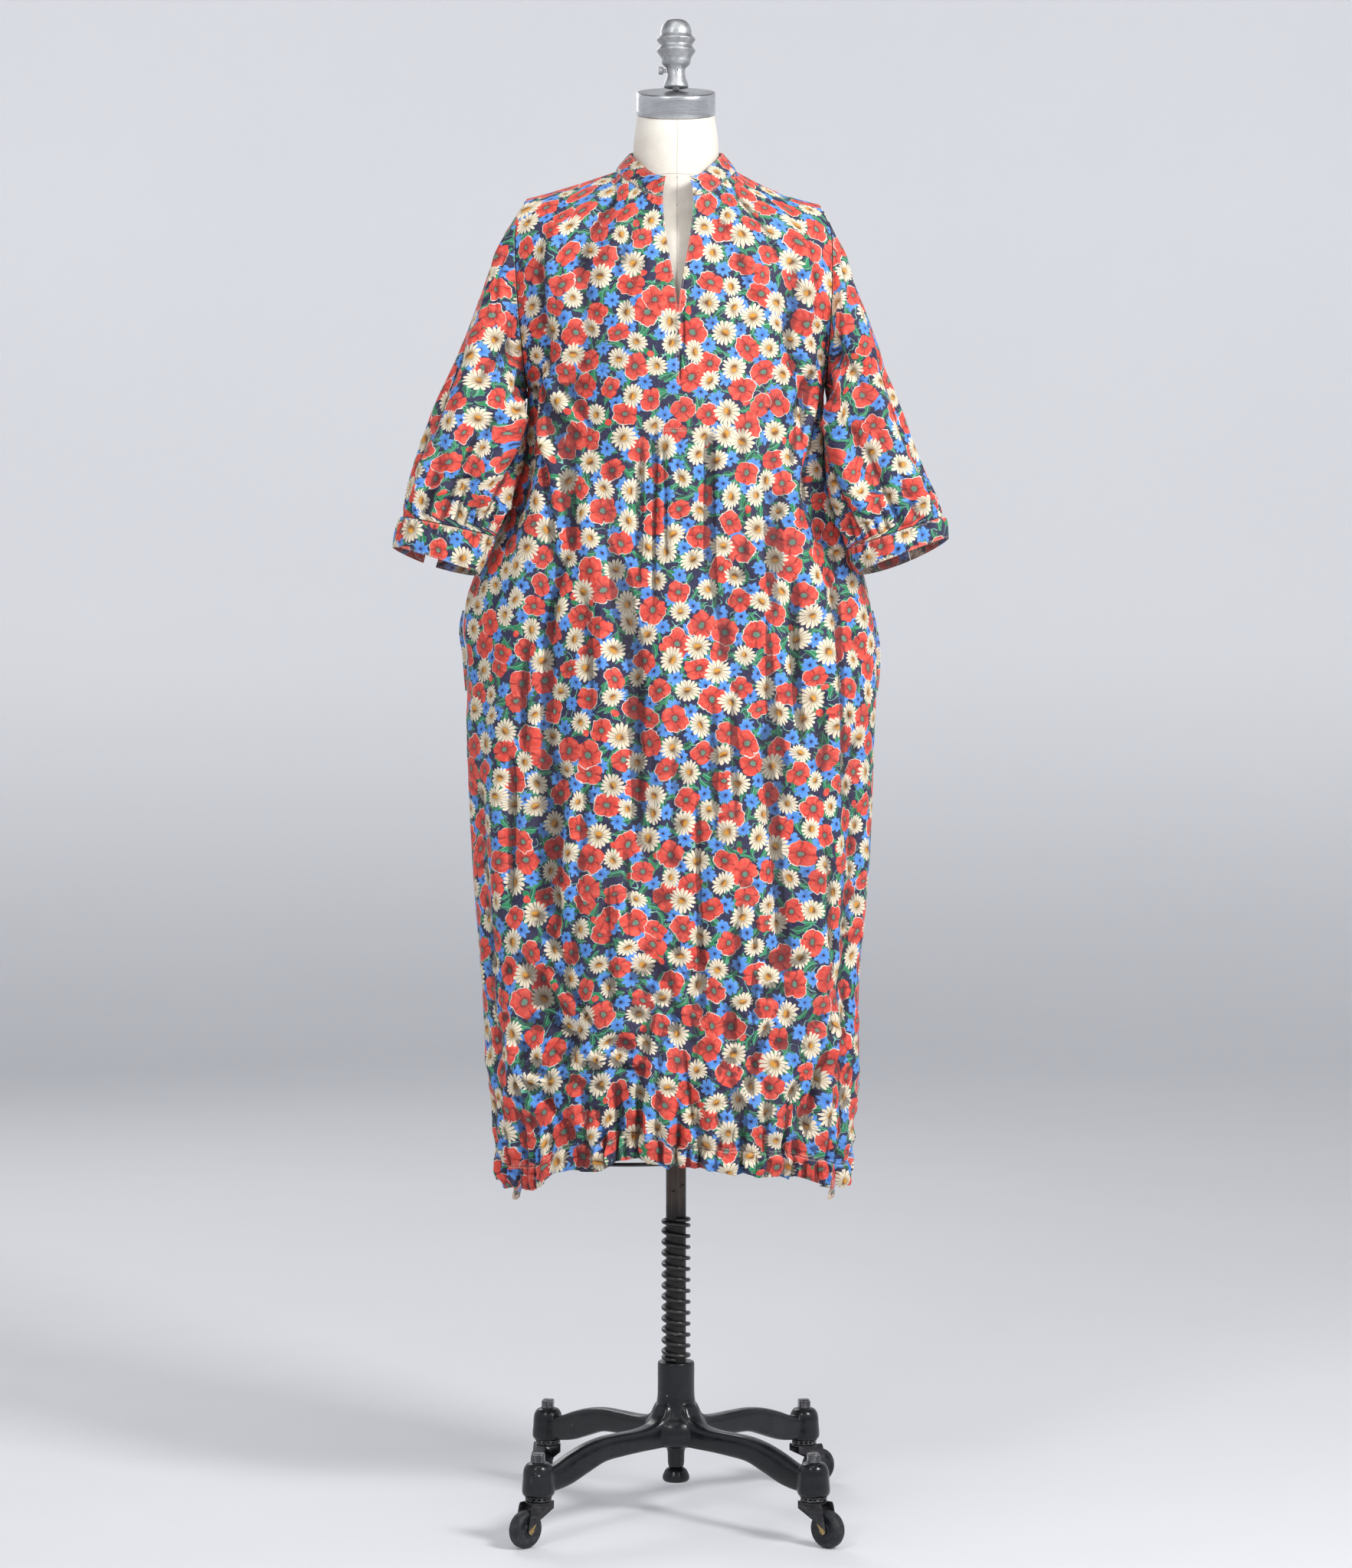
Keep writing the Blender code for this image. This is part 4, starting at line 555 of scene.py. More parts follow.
# ---- the dress: the same form as its solids, drawn finely
dress = {
    "wall": 0.0012,
    "seamGap": 0.0004,
    "armholeGap": 0.001,
    "underarmGap": 0.0014,
    "collarGap": 0.0011,
    "neckHalf": 0.0735,
    "neckY": {-1: -0.0885, 1: 0.064},
    "neckZ": {-1: 1.632, 1: 1.682},
    "shoulderY": 0.006,
    "armholeTop": 1.64,
    "armholeBottom": 1.402,
    "armholeDepth": 0.062,
    "hem": 0.47,
    "neckShare": 0.34,
    "tuck": 0.003,  # how deep the seam allowance turns in
    "unsewn": 0.004,  # a seam without a row of stitches counts as this much further away
}
sides = {
    "left": {"sign": -1, "tipX": 0.183, "tipZ": 1.64, "neckZ": 1.6735, "sag": 0.001},
    "right": {"sign": 1, "tipX": 0.1757, "tipZ": 1.633, "neckZ": 1.674, "sag": 0.005},
}
# height, half width on the left and on the right, depth in front and behind
bodyRows = millimetres((
    (1632, 183, 176, 88.5, 64), (1560, 190, 186, 108, 100), (1480, 189, 186, 124, 112),
    (1402, 184, 183, 133, 114), (1335, 190, 186, 135, 114), (1259, 213, 199, 137, 117),
    (1172, 250, 233, 140, 122), (1114, 264, 244, 142, 126), (1070, 259, 248, 143, 129),
    (975, 259, 246, 145, 133), (817, 253, 240.4, 148, 137), (680, 242.5, 228, 149, 139),
    (560, 234, 226.5, 148, 140), (480, 224, 214.5, 144, 136), (420, 229, 219, 140, 133),
))
armholeRows = millimetres((
    (1640, 183), (1606, 195), (1566, 196.2), (1505, 193), (1459, 189), (1402, 183.6),
))
hemLift = {
    -1: millimetres((
        (-1, -10), (-0.8, -22), (-0.55, -20), (-0.42, 4), (-0.26, 10), (-0.16, 26), (0, 10), (0.22, 3),
        (0.42, -3), (0.6, -14), (0.85, -26), (1, -22),
    ), bare=(0,)),
    1: millimetres((
        (-1, -10), (-0.7, -16), (-0.3, 0), (0.1, 8), (0.4, -2), (0.75, -18), (1, -22),
    ), bare=(0,)),
}
# the large folds: across and height at the top, across and height below, width, rise
bigFolds = {
    -1: millimetres((
        (-0.115, 1350, -0.105, 950, 20, -8), (-0.065, 1345, -0.045, 800, 18, 6),
        (0.155, 1345, 0.165, 860, 20, -8), (0.205, 1345, 0.225, 800, 20, 6),
        (-0.62, 1580, -0.5, 1100, 34, 9), (-0.52, 1560, -0.38, 1000, 30, -7),
        (-0.78, 1560, -0.72, 1200, 26, -6), (0.52, 1560, 0.44, 920, 36, 8),
        (0.64, 1540, 0.58, 1020, 28, -8), (0.78, 1500, 0.74, 1080, 30, 6), (-0.3, 1300, -0.26, 560, 36, 8),
        (0.34, 1260, 0.3, 620, 36, -6), (-0.58, 1120, -0.62, 500, 34, 8),
        (-0.42, 1050, -0.44, 520, 30, -8), (0.5, 980, 0.56, 520, 34, 8), (0.05, 980, 0.02, 500, 34, -7),
        (0.72, 1020, 0.76, 550, 32, -6), (-0.8, 950, -0.76, 500, 30, -6), (-0.55, 740, -0.18, 600, 30, 6),
        (0.62, 720, 0.2, 580, 30, 6),
    ), bare=(0, 2)),
    1: millimetres((
        (-0.55, 1580, -0.46, 900, 40, 8), (0.55, 1580, 0.48, 950, 40, 8),
        (-0.16, 1560, -0.12, 700, 34, -7), (0.14, 1560, 0.16, 740, 34, 8), (-0.32, 1300, -0.3, 560, 38, 8),
        (0.34, 1250, 0.32, 540, 36, -8), (0.7, 1200, 0.66, 560, 34, 7), (-0.7, 1180, -0.68, 520, 34, -7),
        (0.02, 900, -0.04, 500, 34, 6), (-0.52, 720, -0.2, 580, 30, 6),
    ), bare=(0, 2)),
}


def perSide(across, key):
    return np.where(across < 0, sides["left"][key], sides["right"][key])


def topEdge(across, face):
    # the neckline, then the shoulder seam to its tip
    sign, far = np.sign(across), np.abs(across)
    share = dress["neckShare"]
    turn = np.minimum(far / share, 1) * math.pi / 2
    neckZ = perSide(across, "neckZ")
    ridge = dress["shoulderY"]
    neck = stacked(
        sign * dress["neckHalf"] * np.sin(turn),
        ridge + (dress["neckY"][face] - ridge) * np.cos(turn),
        neckZ + (dress["neckZ"][face] - neckZ) * np.cos(turn) ** 1.5,
    )
    out = np.clip((far - share) / (1 - share), 0, 1)
    x = dress["neckHalf"] + (perSide(across, "tipX") - dress["neckHalf"]) * out
    z = neckZ + (perSide(across, "tipZ") - neckZ) * out - perSide(across, "sag") * np.sin(math.pi * out)
    shoulder = stacked(sign * x, np.full_like(x, ridge), z)
    return np.where((far <= share)[..., None], neck, shoulder)


def armholeAt(turn, sign, face, tipX, tipZ):
    # the armhole's edge; turn runs from 0 at the shoulder to pi under the arm
    top, bottom = dress["armholeTop"], dress["armholeBottom"]
    fade = (1 + np.cos(turn)) / 2
    height = (top + bottom) / 2 + (top - bottom) / 2 * np.cos(turn)
    x = sign * (curveAt(armholeRows, height) + (tipX - armholeRows[0][1]) * fade)
    y = dress["shoulderY"] + face * dress["armholeDepth"] * np.sin(turn) + 0 * x
    return x, y, height - (top - tipZ) * fade


def barePoints(face, place, across, inArmhole):
    # the panel before its folds; place runs from 0 to 1 down the armhole, or down the skirt
    place, across = place[:, None], across[None, :]
    sign, far = np.where(across < 0, -1.0, 1.0), np.abs(across)
    bottom, neckFoot = dress["armholeBottom"], bodyRows[0][0]
    if inArmhole:
        tipX, tipZ = perSide(across, "tipX"), perSide(across, "tipZ")
        edgeX, edgeY, edgeZ = armholeAt(math.pi * place, sign, face, tipX, tipZ)
        level = dress["neckZ"][face] + (bottom - dress["neckZ"][face]) * place
        opening = np.radians(62 + 28 * smooth(0.62, 1.0, place))
    else:
        level = bottom + (dress["hem"] - bottom) * place
        level = np.where(place > 1, dress["hem"] - (place - 1), level)
        edgeX = np.where(across < 0, -curveAt(bodyRows, level, 1), curveAt(bodyRows, level, 2))
        edgeY = dress["shoulderY"] * (1 - smooth(0, 0.3, place)) + 0 * edgeX
        edgeZ = level + 0 * edgeX
        opening = np.full_like(place, math.pi / 2)
    depth = curveAt(bodyRows, np.minimum(level, neckFoot), 3 if face < 0 else 4)
    if face > 0:
        depth = np.where(level > neckFoot, dress["neckY"][1], depth)
    angle = far * opening
    x = edgeX * np.sin(angle) / np.sin(opening)
    bend = (1 - np.cos(angle)) / (1 - np.cos(opening))
    y = face * depth + (edgeY - face * depth) * bend
    z = level + (edgeZ - level) * across**2
    return stacked(x, y, z)


slit = {"bottom": 1.487, "half": 0.0185, "centre": 0.0025, "easeTo": 0.17}


def panelGrid(face, drop, across):
    # drop runs from 0 at the shoulder to 1 under the arm and 2 at the hem
    upper, lower = drop[drop <= 1], drop[drop > 1] - 1
    start = barePoints(face, np.zeros(1), across, True)
    missing = topEdge(across[None, :], face) - start
    parts = []
    if len(upper):
        points = barePoints(face, upper, across, True)
        turn = np.minimum(upper * 9 / 3.2, 1)[:, None] * math.pi / 2
        points[..., 0] += missing[..., 0] * np.cos(turn)
        points[..., 1] += missing[..., 1] * np.maximum(1 - np.sin(turn), 0) ** 1.2
        points[..., 2] += missing[..., 2] * np.cos(turn)
        parts.append(points)
    if len(lower):
        parts.append(barePoints(face, lower, across, False))
    grid = np.concatenate(parts)
    inArmhole = (drop <= 1)[:, None]
    place = np.where(drop <= 1, drop, drop - 1)[:, None]
    far = across[None, :]
    if face < 0:
        share = dress["neckShare"]
        reach = np.where(inArmhole, share + (1 - share) * smooth(0, 0.5, place), 1.0)
        middle = np.maximum(1 - (far / reach) ** 2, 0) ** 2
        grid[..., 0] += slit["centre"] * middle * smooth(0.9, 1.3, grid[..., 2])
    nearHem = np.where(inArmhole, 0, smooth(0.62, 1.0, place))
    grid[..., 2] += curveAt(hemLift[face], far) * nearHem
    bare = facing(normalsOf(grid), (0, face, 0))
    height = grid[..., 2].copy()
    rise = np.zeros_like(height)
    for topAcross, topZ, lowAcross, lowZ, width, stand in bigFolds[face]:
        share = (topZ - height) / (topZ - lowZ)
        line = topAcross + (lowAcross - topAcross) * share
        away = (far - line) * 0.33 / width
        ends = smooth(-0.05, 0.14, share) * (1 - smooth(0.8, 1.05, share))
        rise += stand * ends * np.exp(-(away**2))
    wave = np.sin(math.pi * (9 * (far + 1) + 0.35 * np.sin(5 * far)))
    low = 0.0046 * wave * smooth(0.8, 1.0, place)
    low = low + 0.006 * smooth(0.86, 0.97, place) * (1 - smooth(0.97, 1.0, place))
    rise += np.where(inArmhole, 0, low)
    fade = (1 - far**10) * np.where(inArmhole, smooth(0.0, 0.2, place), 1.0)
    return grid + bare * (rise * fade)[..., None], bare, fade


def creaseRise(u, z, rows, girth=0.0):
    # creases placed one by one; kind 0 is a soft ridge, 1 a pleat's step, 2 a sharp crease
    total = np.zeros(np.broadcast(u, z).shape)
    for u1, z1, u2, z2, width, rise, *more in rows:
        kind, bow = (*more, 0, 0)[:2]
        du, dz = u2 - u1, z2 - z1
        length = math.hypot(du, dz)
        for shift in ((-girth, 0.0, girth) if girth else (0.0,)):
            a = u + shift - u1
            t = (a * du + (z - z1) * dz) / length**2
            inside = np.clip(t, 0, 1)
            side = (a * dz - (z - z1) * du) / length - bow * 4 * inside * (1 - inside)
            ends = smooth(-0.08, 0.28, t) * (1 - smooth(0.72, 1.08, t))
            if kind == 2:
                shape = np.exp(-np.abs(side) / width)
            elif kind == 1:
                shape = 2.33 * side / width * np.exp(-((side / width) ** 2))
            else:
                shape = np.exp(-((side / width) ** 2))
            total += rise * ends * shape
    return total


def wander(u, seed, pitch):
    # uneven gathers: no two alike
    phase = fullTurn * (u / pitch + 1.3 * valueNoise(u / (pitch * 2.7) + 5, 0.5, seed))
    tall = 0.35 + 1.1 * valueNoise(u / (pitch * 1.9) + 9, 0.5, seed + 1)
    return np.sin(phase) * tall


def placePiece(name, mesh, node, body, angle):
    # the mesh as an object that rides on its body
    mesh.shade_smooth()
    mesh.set_sharp_from_angle(angle=math.radians(angle))
    piece = bpy.data.objects.new(name, mesh)
    scene.collection.objects.link(piece)
    if node:
        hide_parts(node)
    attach(piece, body)
    return piece


# the depth of the folds, which the cloth's material turns into painted shade
def hollowsForPaintedShade(grid, normals, closed):
    # how far each point lies below its neighbours, for their distance: more than 0 in a valley
    total = np.zeros(grid.shape[:2])
    for reach in (1, 2, 4):
        tall = np.pad(grid, ((reach, reach), (0, 0), (0, 0)), mode="edge")
        if closed:
            wide = np.concatenate([grid[:, -1 - reach : -1], grid, grid[:, 1 : 1 + reach]], axis=1)
        else:
            wide = np.pad(grid, ((0, 0), (reach, reach), (0, 0)), mode="edge")
        beside = tall[: -2 * reach] + tall[2 * reach :] + wide[:, : -2 * reach] + wide[:, 2 * reach :]
        total += np.sum((beside / 4 - grid) * normals, axis=2) / (0.0047 * reach)
    return total


def clothShell(name, grid, normals, ways, wall, node, closed=False, slitAt=None):
    # both sides of the cloth and its edges, from one grid of points; ways holds each point's place in
    # the flat cloth, then its place along the nearest seam and its distance from it
    points, across = grid.reshape(-1, 3), normals.reshape(-1, 3)
    count = len(points)
    index = np.arange(count).reshape(grid.shape[:2])
    keep = np.ones((len(grid) - 1, grid.shape[1] - 1), bool)
    if closed:
        # the last column lies on the first
        index[:, -1] = index[:, 0]
    if slitAt is not None:
        # two columns stand apart beside the slit, and are one again below its foot
        column, foot = slitAt
        index[foot:, column + 1] = index[foot:, column]
        keep[:, column] = False
    quads, ways = quadCorners(index)[keep], quadCorners(ways)[keep]
    if facesInward(points, quads, across):
        quads, ways = quads[:, ::-1], ways[:, ::-1]
    both = np.concatenate([points + across * wall / 2, points - across * wall / 2])
    inside = quads[:, ::-1] + count
    # open edges get a strip of their own
    edges = np.concatenate([quads[:, [k, (k + 1) % 4]] for k in range(4)])
    edgeWays = np.concatenate([ways[:, [k, (k + 1) % 4]] for k in range(4)])
    keys = edges * (4 * count) + edges[:, ::-1]
    isOpen = ~np.isin(keys[:, 0], keys[:, 1])
    start, end = edges[isOpen].T
    rim = np.stack([end, start, start + count, end + count], axis=1)
    faces = np.concatenate([quads, inside, rim])
    ways = np.concatenate([ways, ways[:, ::-1], edgeWays[isOpen][:, [1, 0, 0, 1]]]).reshape(-1, 4)
    # how deep each point lies in its fold, kept in the "fold" layer for the painted shade in the folds
    depth = hollowsForPaintedShade(grid, normals, closed).ravel()
    below = np.concatenate([depth, -depth])[faces].ravel()
    used = np.unique(faces)
    place = np.zeros(2 * count, int)
    place[used] = np.arange(len(used))
    mesh = bpy.data.meshes.new(name)
    mesh.from_pydata(both[used].tolist(), [], place[faces].tolist())
    layers = {"cloth": ways[:, :2], "seam": ways[:, 2:], "fold": np.stack([below, 0 * below], axis=1)}
    for label, values in layers.items():
        layer = mesh.uv_layers.new(name=label)
        layer.data.foreach_set("uv", np.ascontiguousarray(values, np.float32).ravel())
    mesh.materials.append(printRight)
    mesh.materials.append(printWrong)
    inner = np.repeat((0, 1, 0), (len(quads), len(inside), len(rim)))
    mesh.polygons.foreach_set("material_index", inner.astype(np.int32))
    mesh.update()
    return placePiece(name, mesh, node, "form", 62)


def facesInward(points, quads, normals):
    # whether the squares are wound against the normals at their first corners
    return np.sum(quadNormals(points, quads) * normals[quads[:, 0]]) < 0


def skinTree(grid, normals):
    # the panel as one skin, to keep other pieces off it
    points = grid.reshape(-1, 3)
    quads = quadCorners(np.arange(len(points)).reshape(grid.shape[:2])).reshape(-1, 4)
    if facesInward(points, quads, normals.reshape(-1, 3)):
        quads = quads[:, ::-1]
    return BVHTree.FromPolygons(points.tolist(), quads.tolist())


def keptOff(grid, least):
    # points nearer to a panel's skin than least, or behind it, are moved out along its normal
    points = grid.reshape(-1, 3).copy()
    clear = np.broadcast_to(least, grid.shape[:2]).reshape(-1)
    for panel in panels.values():
        for at, (point, room) in enumerate(zip(points, clear)):
            near, normal, _, _ = panel["skin"].find_nearest(Vector(point), 0.03)
            if near is None or room <= 0:
                continue
            out = (Vector(point) - near).dot(normal)
            if out < room:
                points[at] += np.array(normal) * (room - out)
    return points.reshape(grid.shape)


def edgeDistance(flat, start, end):
    # the place along a straight seam in the flat cloth, and the distance from it
    du, dv = end[0] - start[0], end[1] - start[1]
    length = math.hypot(du, dv)
    t = ((flat[..., 0] - start[0]) * du + (flat[..., 1] - start[1]) * dv) / length**2
    inside = np.clip(t, 0, 1)
    away = np.hypot(flat[..., 0] - start[0] - inside * du, flat[..., 1] - start[1] - inside * dv)
    return inside * length, away


def nearest(first, second):
    # of two seams, each as (along, distance), the one that lies nearer
    return np.where(first[1] < second[1], first[0], second[0]), np.minimum(first[1], second[1])


# creases: from (across, height) to (across, height), width, rise, then kind and bow where not 0
frontCreases = millimetres((
    # pleats below the short cross seam
    (-31, 1348, -34, 1130, 6.5, 1.6, 1, 2), (-13, 1346, -10, 1180, 6, -1.2, 1),
    (30, 1346, 32, 1160, 6.5, 1.5, 1), (47, 1348, 53, 1110, 7, -1.6, 1, 2),
    (12, 1338, 12, 1230, 8, 1.6),
    # the overlap under the slit
    (4.5, 1492, 4.5, 1436, 3.5, 1.4, 1), (2.8, 1446, 2.6, 1400, 1.8, -1.6),
    # pulls from the neck and the shoulders
    (-50, 1640, -100, 1500, 10, 2.2, 0, 4), (-95, 1655, -128, 1520, 12, -2.2),
    (58, 1640, 108, 1490, 10, 2.2, 0, -4), (100, 1650, 130, 1540, 12, -2),
    (-150, 1610, -166, 1470, 9, 3.4, 0, 4), (150, 1600, 168, 1460, 9, 3.6, 0, -4),
    (-24, 1560, -60, 1470, 9, 1.6), (30, 1540, 70, 1450, 9, 1.6),
    # from under the arms
    (-205, 1412, -150, 1300, 9, 4.2, 0, 6), (-205, 1400, -165, 1250, 7, -3.6),
    (-196, 1440, -120, 1350, 8, 2.6, 0, 4), (204, 1420, 150, 1290, 9, 4.6, 0, -6),
    (205, 1405, 172, 1240, 7, -3.6), (192, 1450, 118, 1360, 8, 2.6, 0, -4),
    (172, 1400, 142, 1200, 6, 3, 2, 4), (-178, 1380, -150, 1190, 6, 3, 2, -4),
    # long hanging folds
    (-145, 1200, -170, 1080, 7, -4), (-178, 1100, -182, 930, 8, 3.4, 0, 3),
    (-98, 1220, -85, 960, 9, 3.2), (98, 1240, 104, 990, 9, 3.4),
    (150, 1180, 158, 960, 8, -3.6, 0, 3), (196, 1130, 204, 900, 9, 3.6),
    (-52, 1090, -48, 840, 8, -3), (-12, 1060, -20, 800, 9, 3),
    (58, 1060, 66, 780, 8, 3.2, 0, 3), (-125, 950, -140, 700, 9, 3.4),
    (120, 930, 136, 690, 9, -3.4), (28, 900, 36, 640, 7, -3.4, 0, 3),
    (-215, 960, -214, 740, 9, -3), (176, 860, 186, 640, 8, 3.4),
    (-70, 820, -62, 610, 7, 3.6), (88, 780, 80, 580, 7, 3.4),
    # the crumple above the hem, mostly to the left
    (-148, 560, -112, 604, 5, 5.2, 2, 3), (-118, 600, -60, 570, 5, 4.8, 2, 4),
    (-88, 578, -40, 574, 4.5, -4.4, 2, 2), (-50, 600, -56, 492, 5.5, 5, 2, 3),
    (-176, 636, -120, 606, 6, -4.4, 2, 3), (-210, 566, -168, 552, 5, 4.6, 2, 2),
    (-168, 690, -128, 640, 7, 4, 0, 4), (-132, 668, -94, 612, 6, -4, 2),
    (-226, 620, -190, 500, 6, 4.4, 2, 4), (-186, 540, -150, 500, 5, -4.4, 2),
    (-104, 548, -92, 490, 5, 4.4, 2), (-20, 640, -34, 520, 6, 3.6, 0, 3),
    (10, 600, 22, 500, 6, -4, 2), (50, 620, 36, 500, 6, 4.2, 2, 2), (78, 560, 110, 510, 5, 4.2, 2, 2),
    (120, 640, 92, 540, 6, -4, 2, 3), (156, 620, 128, 520, 6, 4.6, 2, 3),
    (190, 590, 176, 480, 6, -4.2, 2), (214, 650, 200, 500, 7, 4.2, 0, 4),
    (140, 520, 172, 556, 4.5, 4, 2), (64, 690, 88, 610, 6, 3.4, 2), (-2, 700, 14, 610, 7, 3),
), bare=(6,))
backCreases = millimetres((
    (-36, 1660, -40, 1440, 8, 2.6, 1), (36, 1660, 42, 1430, 8, -2.6, 1),
    (-110, 1640, -130, 1500, 11, 2.4), (108, 1640, 132, 1490, 11, 2.6),
    (-150, 1600, -160, 1460, 9, -3, 0, 3), (154, 1590, 160, 1440, 9, 3.4),
    (-196, 1430, -140, 1310, 9, 4.2, 0, 6), (-200, 1405, -160, 1230, 7, -3.4),
    (196, 1420, 142, 1300, 9, 4.4, 0, -6), (200, 1400, 166, 1220, 7, -3.4),
    (70, 1400, 76, 1150, 9, 3.2), (-76, 1380, -84, 1120, 9, 3, 0, 3),
    (-4, 1320, 4, 1050, 9, -3), (-150, 1200, -158, 940, 9, 3.6),
    (146, 1190, 152, 930, 9, 3.4), (-196, 1120, -200, 880, 8, -3.4),
    (190, 1100, 198, 860, 8, 3.4, 0, 3), (-50, 1060, -56, 800, 8, 3.2),
    (56, 1040, 60, 780, 8, -3.2), (100, 940, 110, 700, 8, 3.4),
    (-112, 920, -122, 680, 8, -3.4, 0, 3), (4, 880, -10, 640, 8, 3.2),
    (-180, 800, -186, 610, 8, 3.4), (176, 820, 184, 620, 8, -3.4),
    (36, 700, 30, 560, 6, 3.6, 2), (-40, 690, -52, 540, 6, 3.8, 2, 3),
    (-92, 620, -120, 510, 6, 4.4, 2, 3), (-150, 600, -116, 560, 5, -4.2, 2),
    (-176, 580, -192, 490, 6, 4.2, 2), (70, 600, 58, 500, 6, -4, 2),
    (100, 590, 132, 540, 5, 4.4, 2, 3), (150, 630, 140, 520, 6, 4.2, 2),
    (196, 600, 180, 490, 6, -4.2, 2, 3), (6, 570, 16, 490, 6, 3.8, 2),
    (-212, 680, -206, 540, 7, 3.6), (214, 690, 206, 560, 7, 3.4),
), bare=(6,))
panels = {
    "front": dict(face=-1, creases=frontCreases, seed=11, flat=(0.66, 1.17), area=0.72, cut=(0.0, 0.0)),
    "back": dict(face=1, creases=backCreases, seed=31, flat=(0.62, 1.2), area=0.7, cut=(3.3, 0.41)),
}


def panelColumns(fineHalf):
    # closer together at the centre front, where the slit and its seam are
    if fineHalf:
        middle = spread(-0.085, 0.085, 25)
        side = spread(0.085, 1.0, 62)[1:]
    else:
        middle = np.array([-0.0075, 0.0075])
        side = spread(0.0075, 1.0, 72)[1:]
    return np.concatenate([-side[::-1], middle, side])


def withTucks(grid, normals, ways, top=1, bottom=1, sides=1, deep=dress["tuck"]):
    # a hidden row or column turns each sewn edge in, as the seam allowance does
    margins = ((top, bottom), (sides, sides), (0, 0))
    grid, normals, ways = (np.pad(part, margins, mode="edge") for part in (grid, normals, ways))
    for edge, turned in ((np.s_[0], top), (np.s_[-1], bottom), (np.s_[:, 0], sides), (np.s_[:, -1], sides)):
        if turned:
            grid[edge] -= normals[edge] * deep
    return grid, normals, ways


def shapedPanel(face, drop, columns, creases, seed):
    # the panel with its folds, creases, gathers and fine crumple, and its flat coordinates
    grid, bare, fade = panelGrid(face, drop, columns)
    flatU = lengthAlong(grid, 1)
    centre = np.argmin(np.abs(columns))
    flatU = flatU - flatU[:, centre : centre + 1]
    height = grid[..., 2]
    place = np.where(drop <= 1, 0.0, drop - 1)[:, None]
    rise = 2.7 * creaseRise(flatU, height, creases)
    # long narrow folds that hang from the bust to the hem, no two alike
    fold = valueNoise(flatU * 19 + 0.7 * np.sin(height * 6), height * 2.4, seed + 15)
    fold = 1 - np.abs(2 * fold - 1) * 1.7
    thin = 1 - np.abs(2 * valueNoise(flatU * 37 + 5, height * 4.5, seed + 16) - 1) * 1.7
    hang = smooth(1.42, 1.22, height) * (1 - 0.4 * smooth(0.62, 0.48, height))
    rise += (0.005 * (fold - 0.3) + 0.0024 * (thin - 0.3)) * hang
    # gathers that run up from the drawstring, each to its own height
    reach = 0.45 + 0.55 * valueNoise(flatU * 26 + 3, 0.5, seed + 5)
    gathered = smooth(1 - 0.16 * reach, 1.0, place)
    rise += 0.0052 * wander(flatU, seed, 0.026) * gathered * (1 - 0.35 * smooth(1.0, 1.02, place))
    rise += 0.0024 * wander(flatU + 0.4, seed + 3, 0.016) * smooth(0.93, 1.0, place)
    # the lower quarter is crumpled in larger, uneven facets
    low = smooth(0.58, 0.86, place) * (0.4 + 0.9 * valueNoise(flatU * 9 + 2, height * 9, seed + 8))
    rise += 0.0105 * low * (crinkle(flatU * 0.42, height * 0.46, seed + 9) - 0.5)
    near = 0.35 + 0.75 * smooth(0.55, 0.95, place) + 0.45 * smooth(0.55, 1.0, np.abs(columns))[None, :]
    rise += 0.0034 * near * (crinkle(flatU, height, seed) - 0.55)
    grid = grid + bare * (rise * fade * (1 - np.abs(columns) ** 40)[None, :])[..., None]
    return grid, flatU


def withInnerSeams(near, flat, height, level):
    # the short cross seam over the pleats, and the one under the slit
    crossV, footV, endV = (-float(np.interp(-z, -height, level)) for z in (1.345, 1.44, 1.403))
    near = nearest(edgeDistance(flat, (-0.04, crossV), (0.048, crossV)), near)
    return nearest(edgeDistance(flat, (0.0, footV), (0.0, endV)), near)


def withSlit(columns, centre, *parts):
    # the middle column is doubled and parted down to the slit's foot
    grid, normals, ways, down, beside = (np.insert(part, centre, part[:, centre], axis=1) for part in parts)
    split = np.insert(columns, centre, columns[centre])
    side = np.where(np.arange(len(split)) <= centre, -1.0, 1.0)
    height = grid[:, centre, 2]
    half = slit["half"] * smooth(slit["bottom"], dress["neckZ"][-1], height) ** 0.8
    apart = half[:, None] * side * np.maximum(1 - np.abs(split) / slit["easeTo"], 0)
    foot = int(np.argmax(height < slit["bottom"]))
    beside[foot + 3 :] = 1.0
    ways[..., 2], ways[..., 3] = nearest((down, beside), (ways[..., 2], ways[..., 3]))
    grid[..., 0] += apart
    ways[..., 0] += apart
    return grid, normals, ways, foot


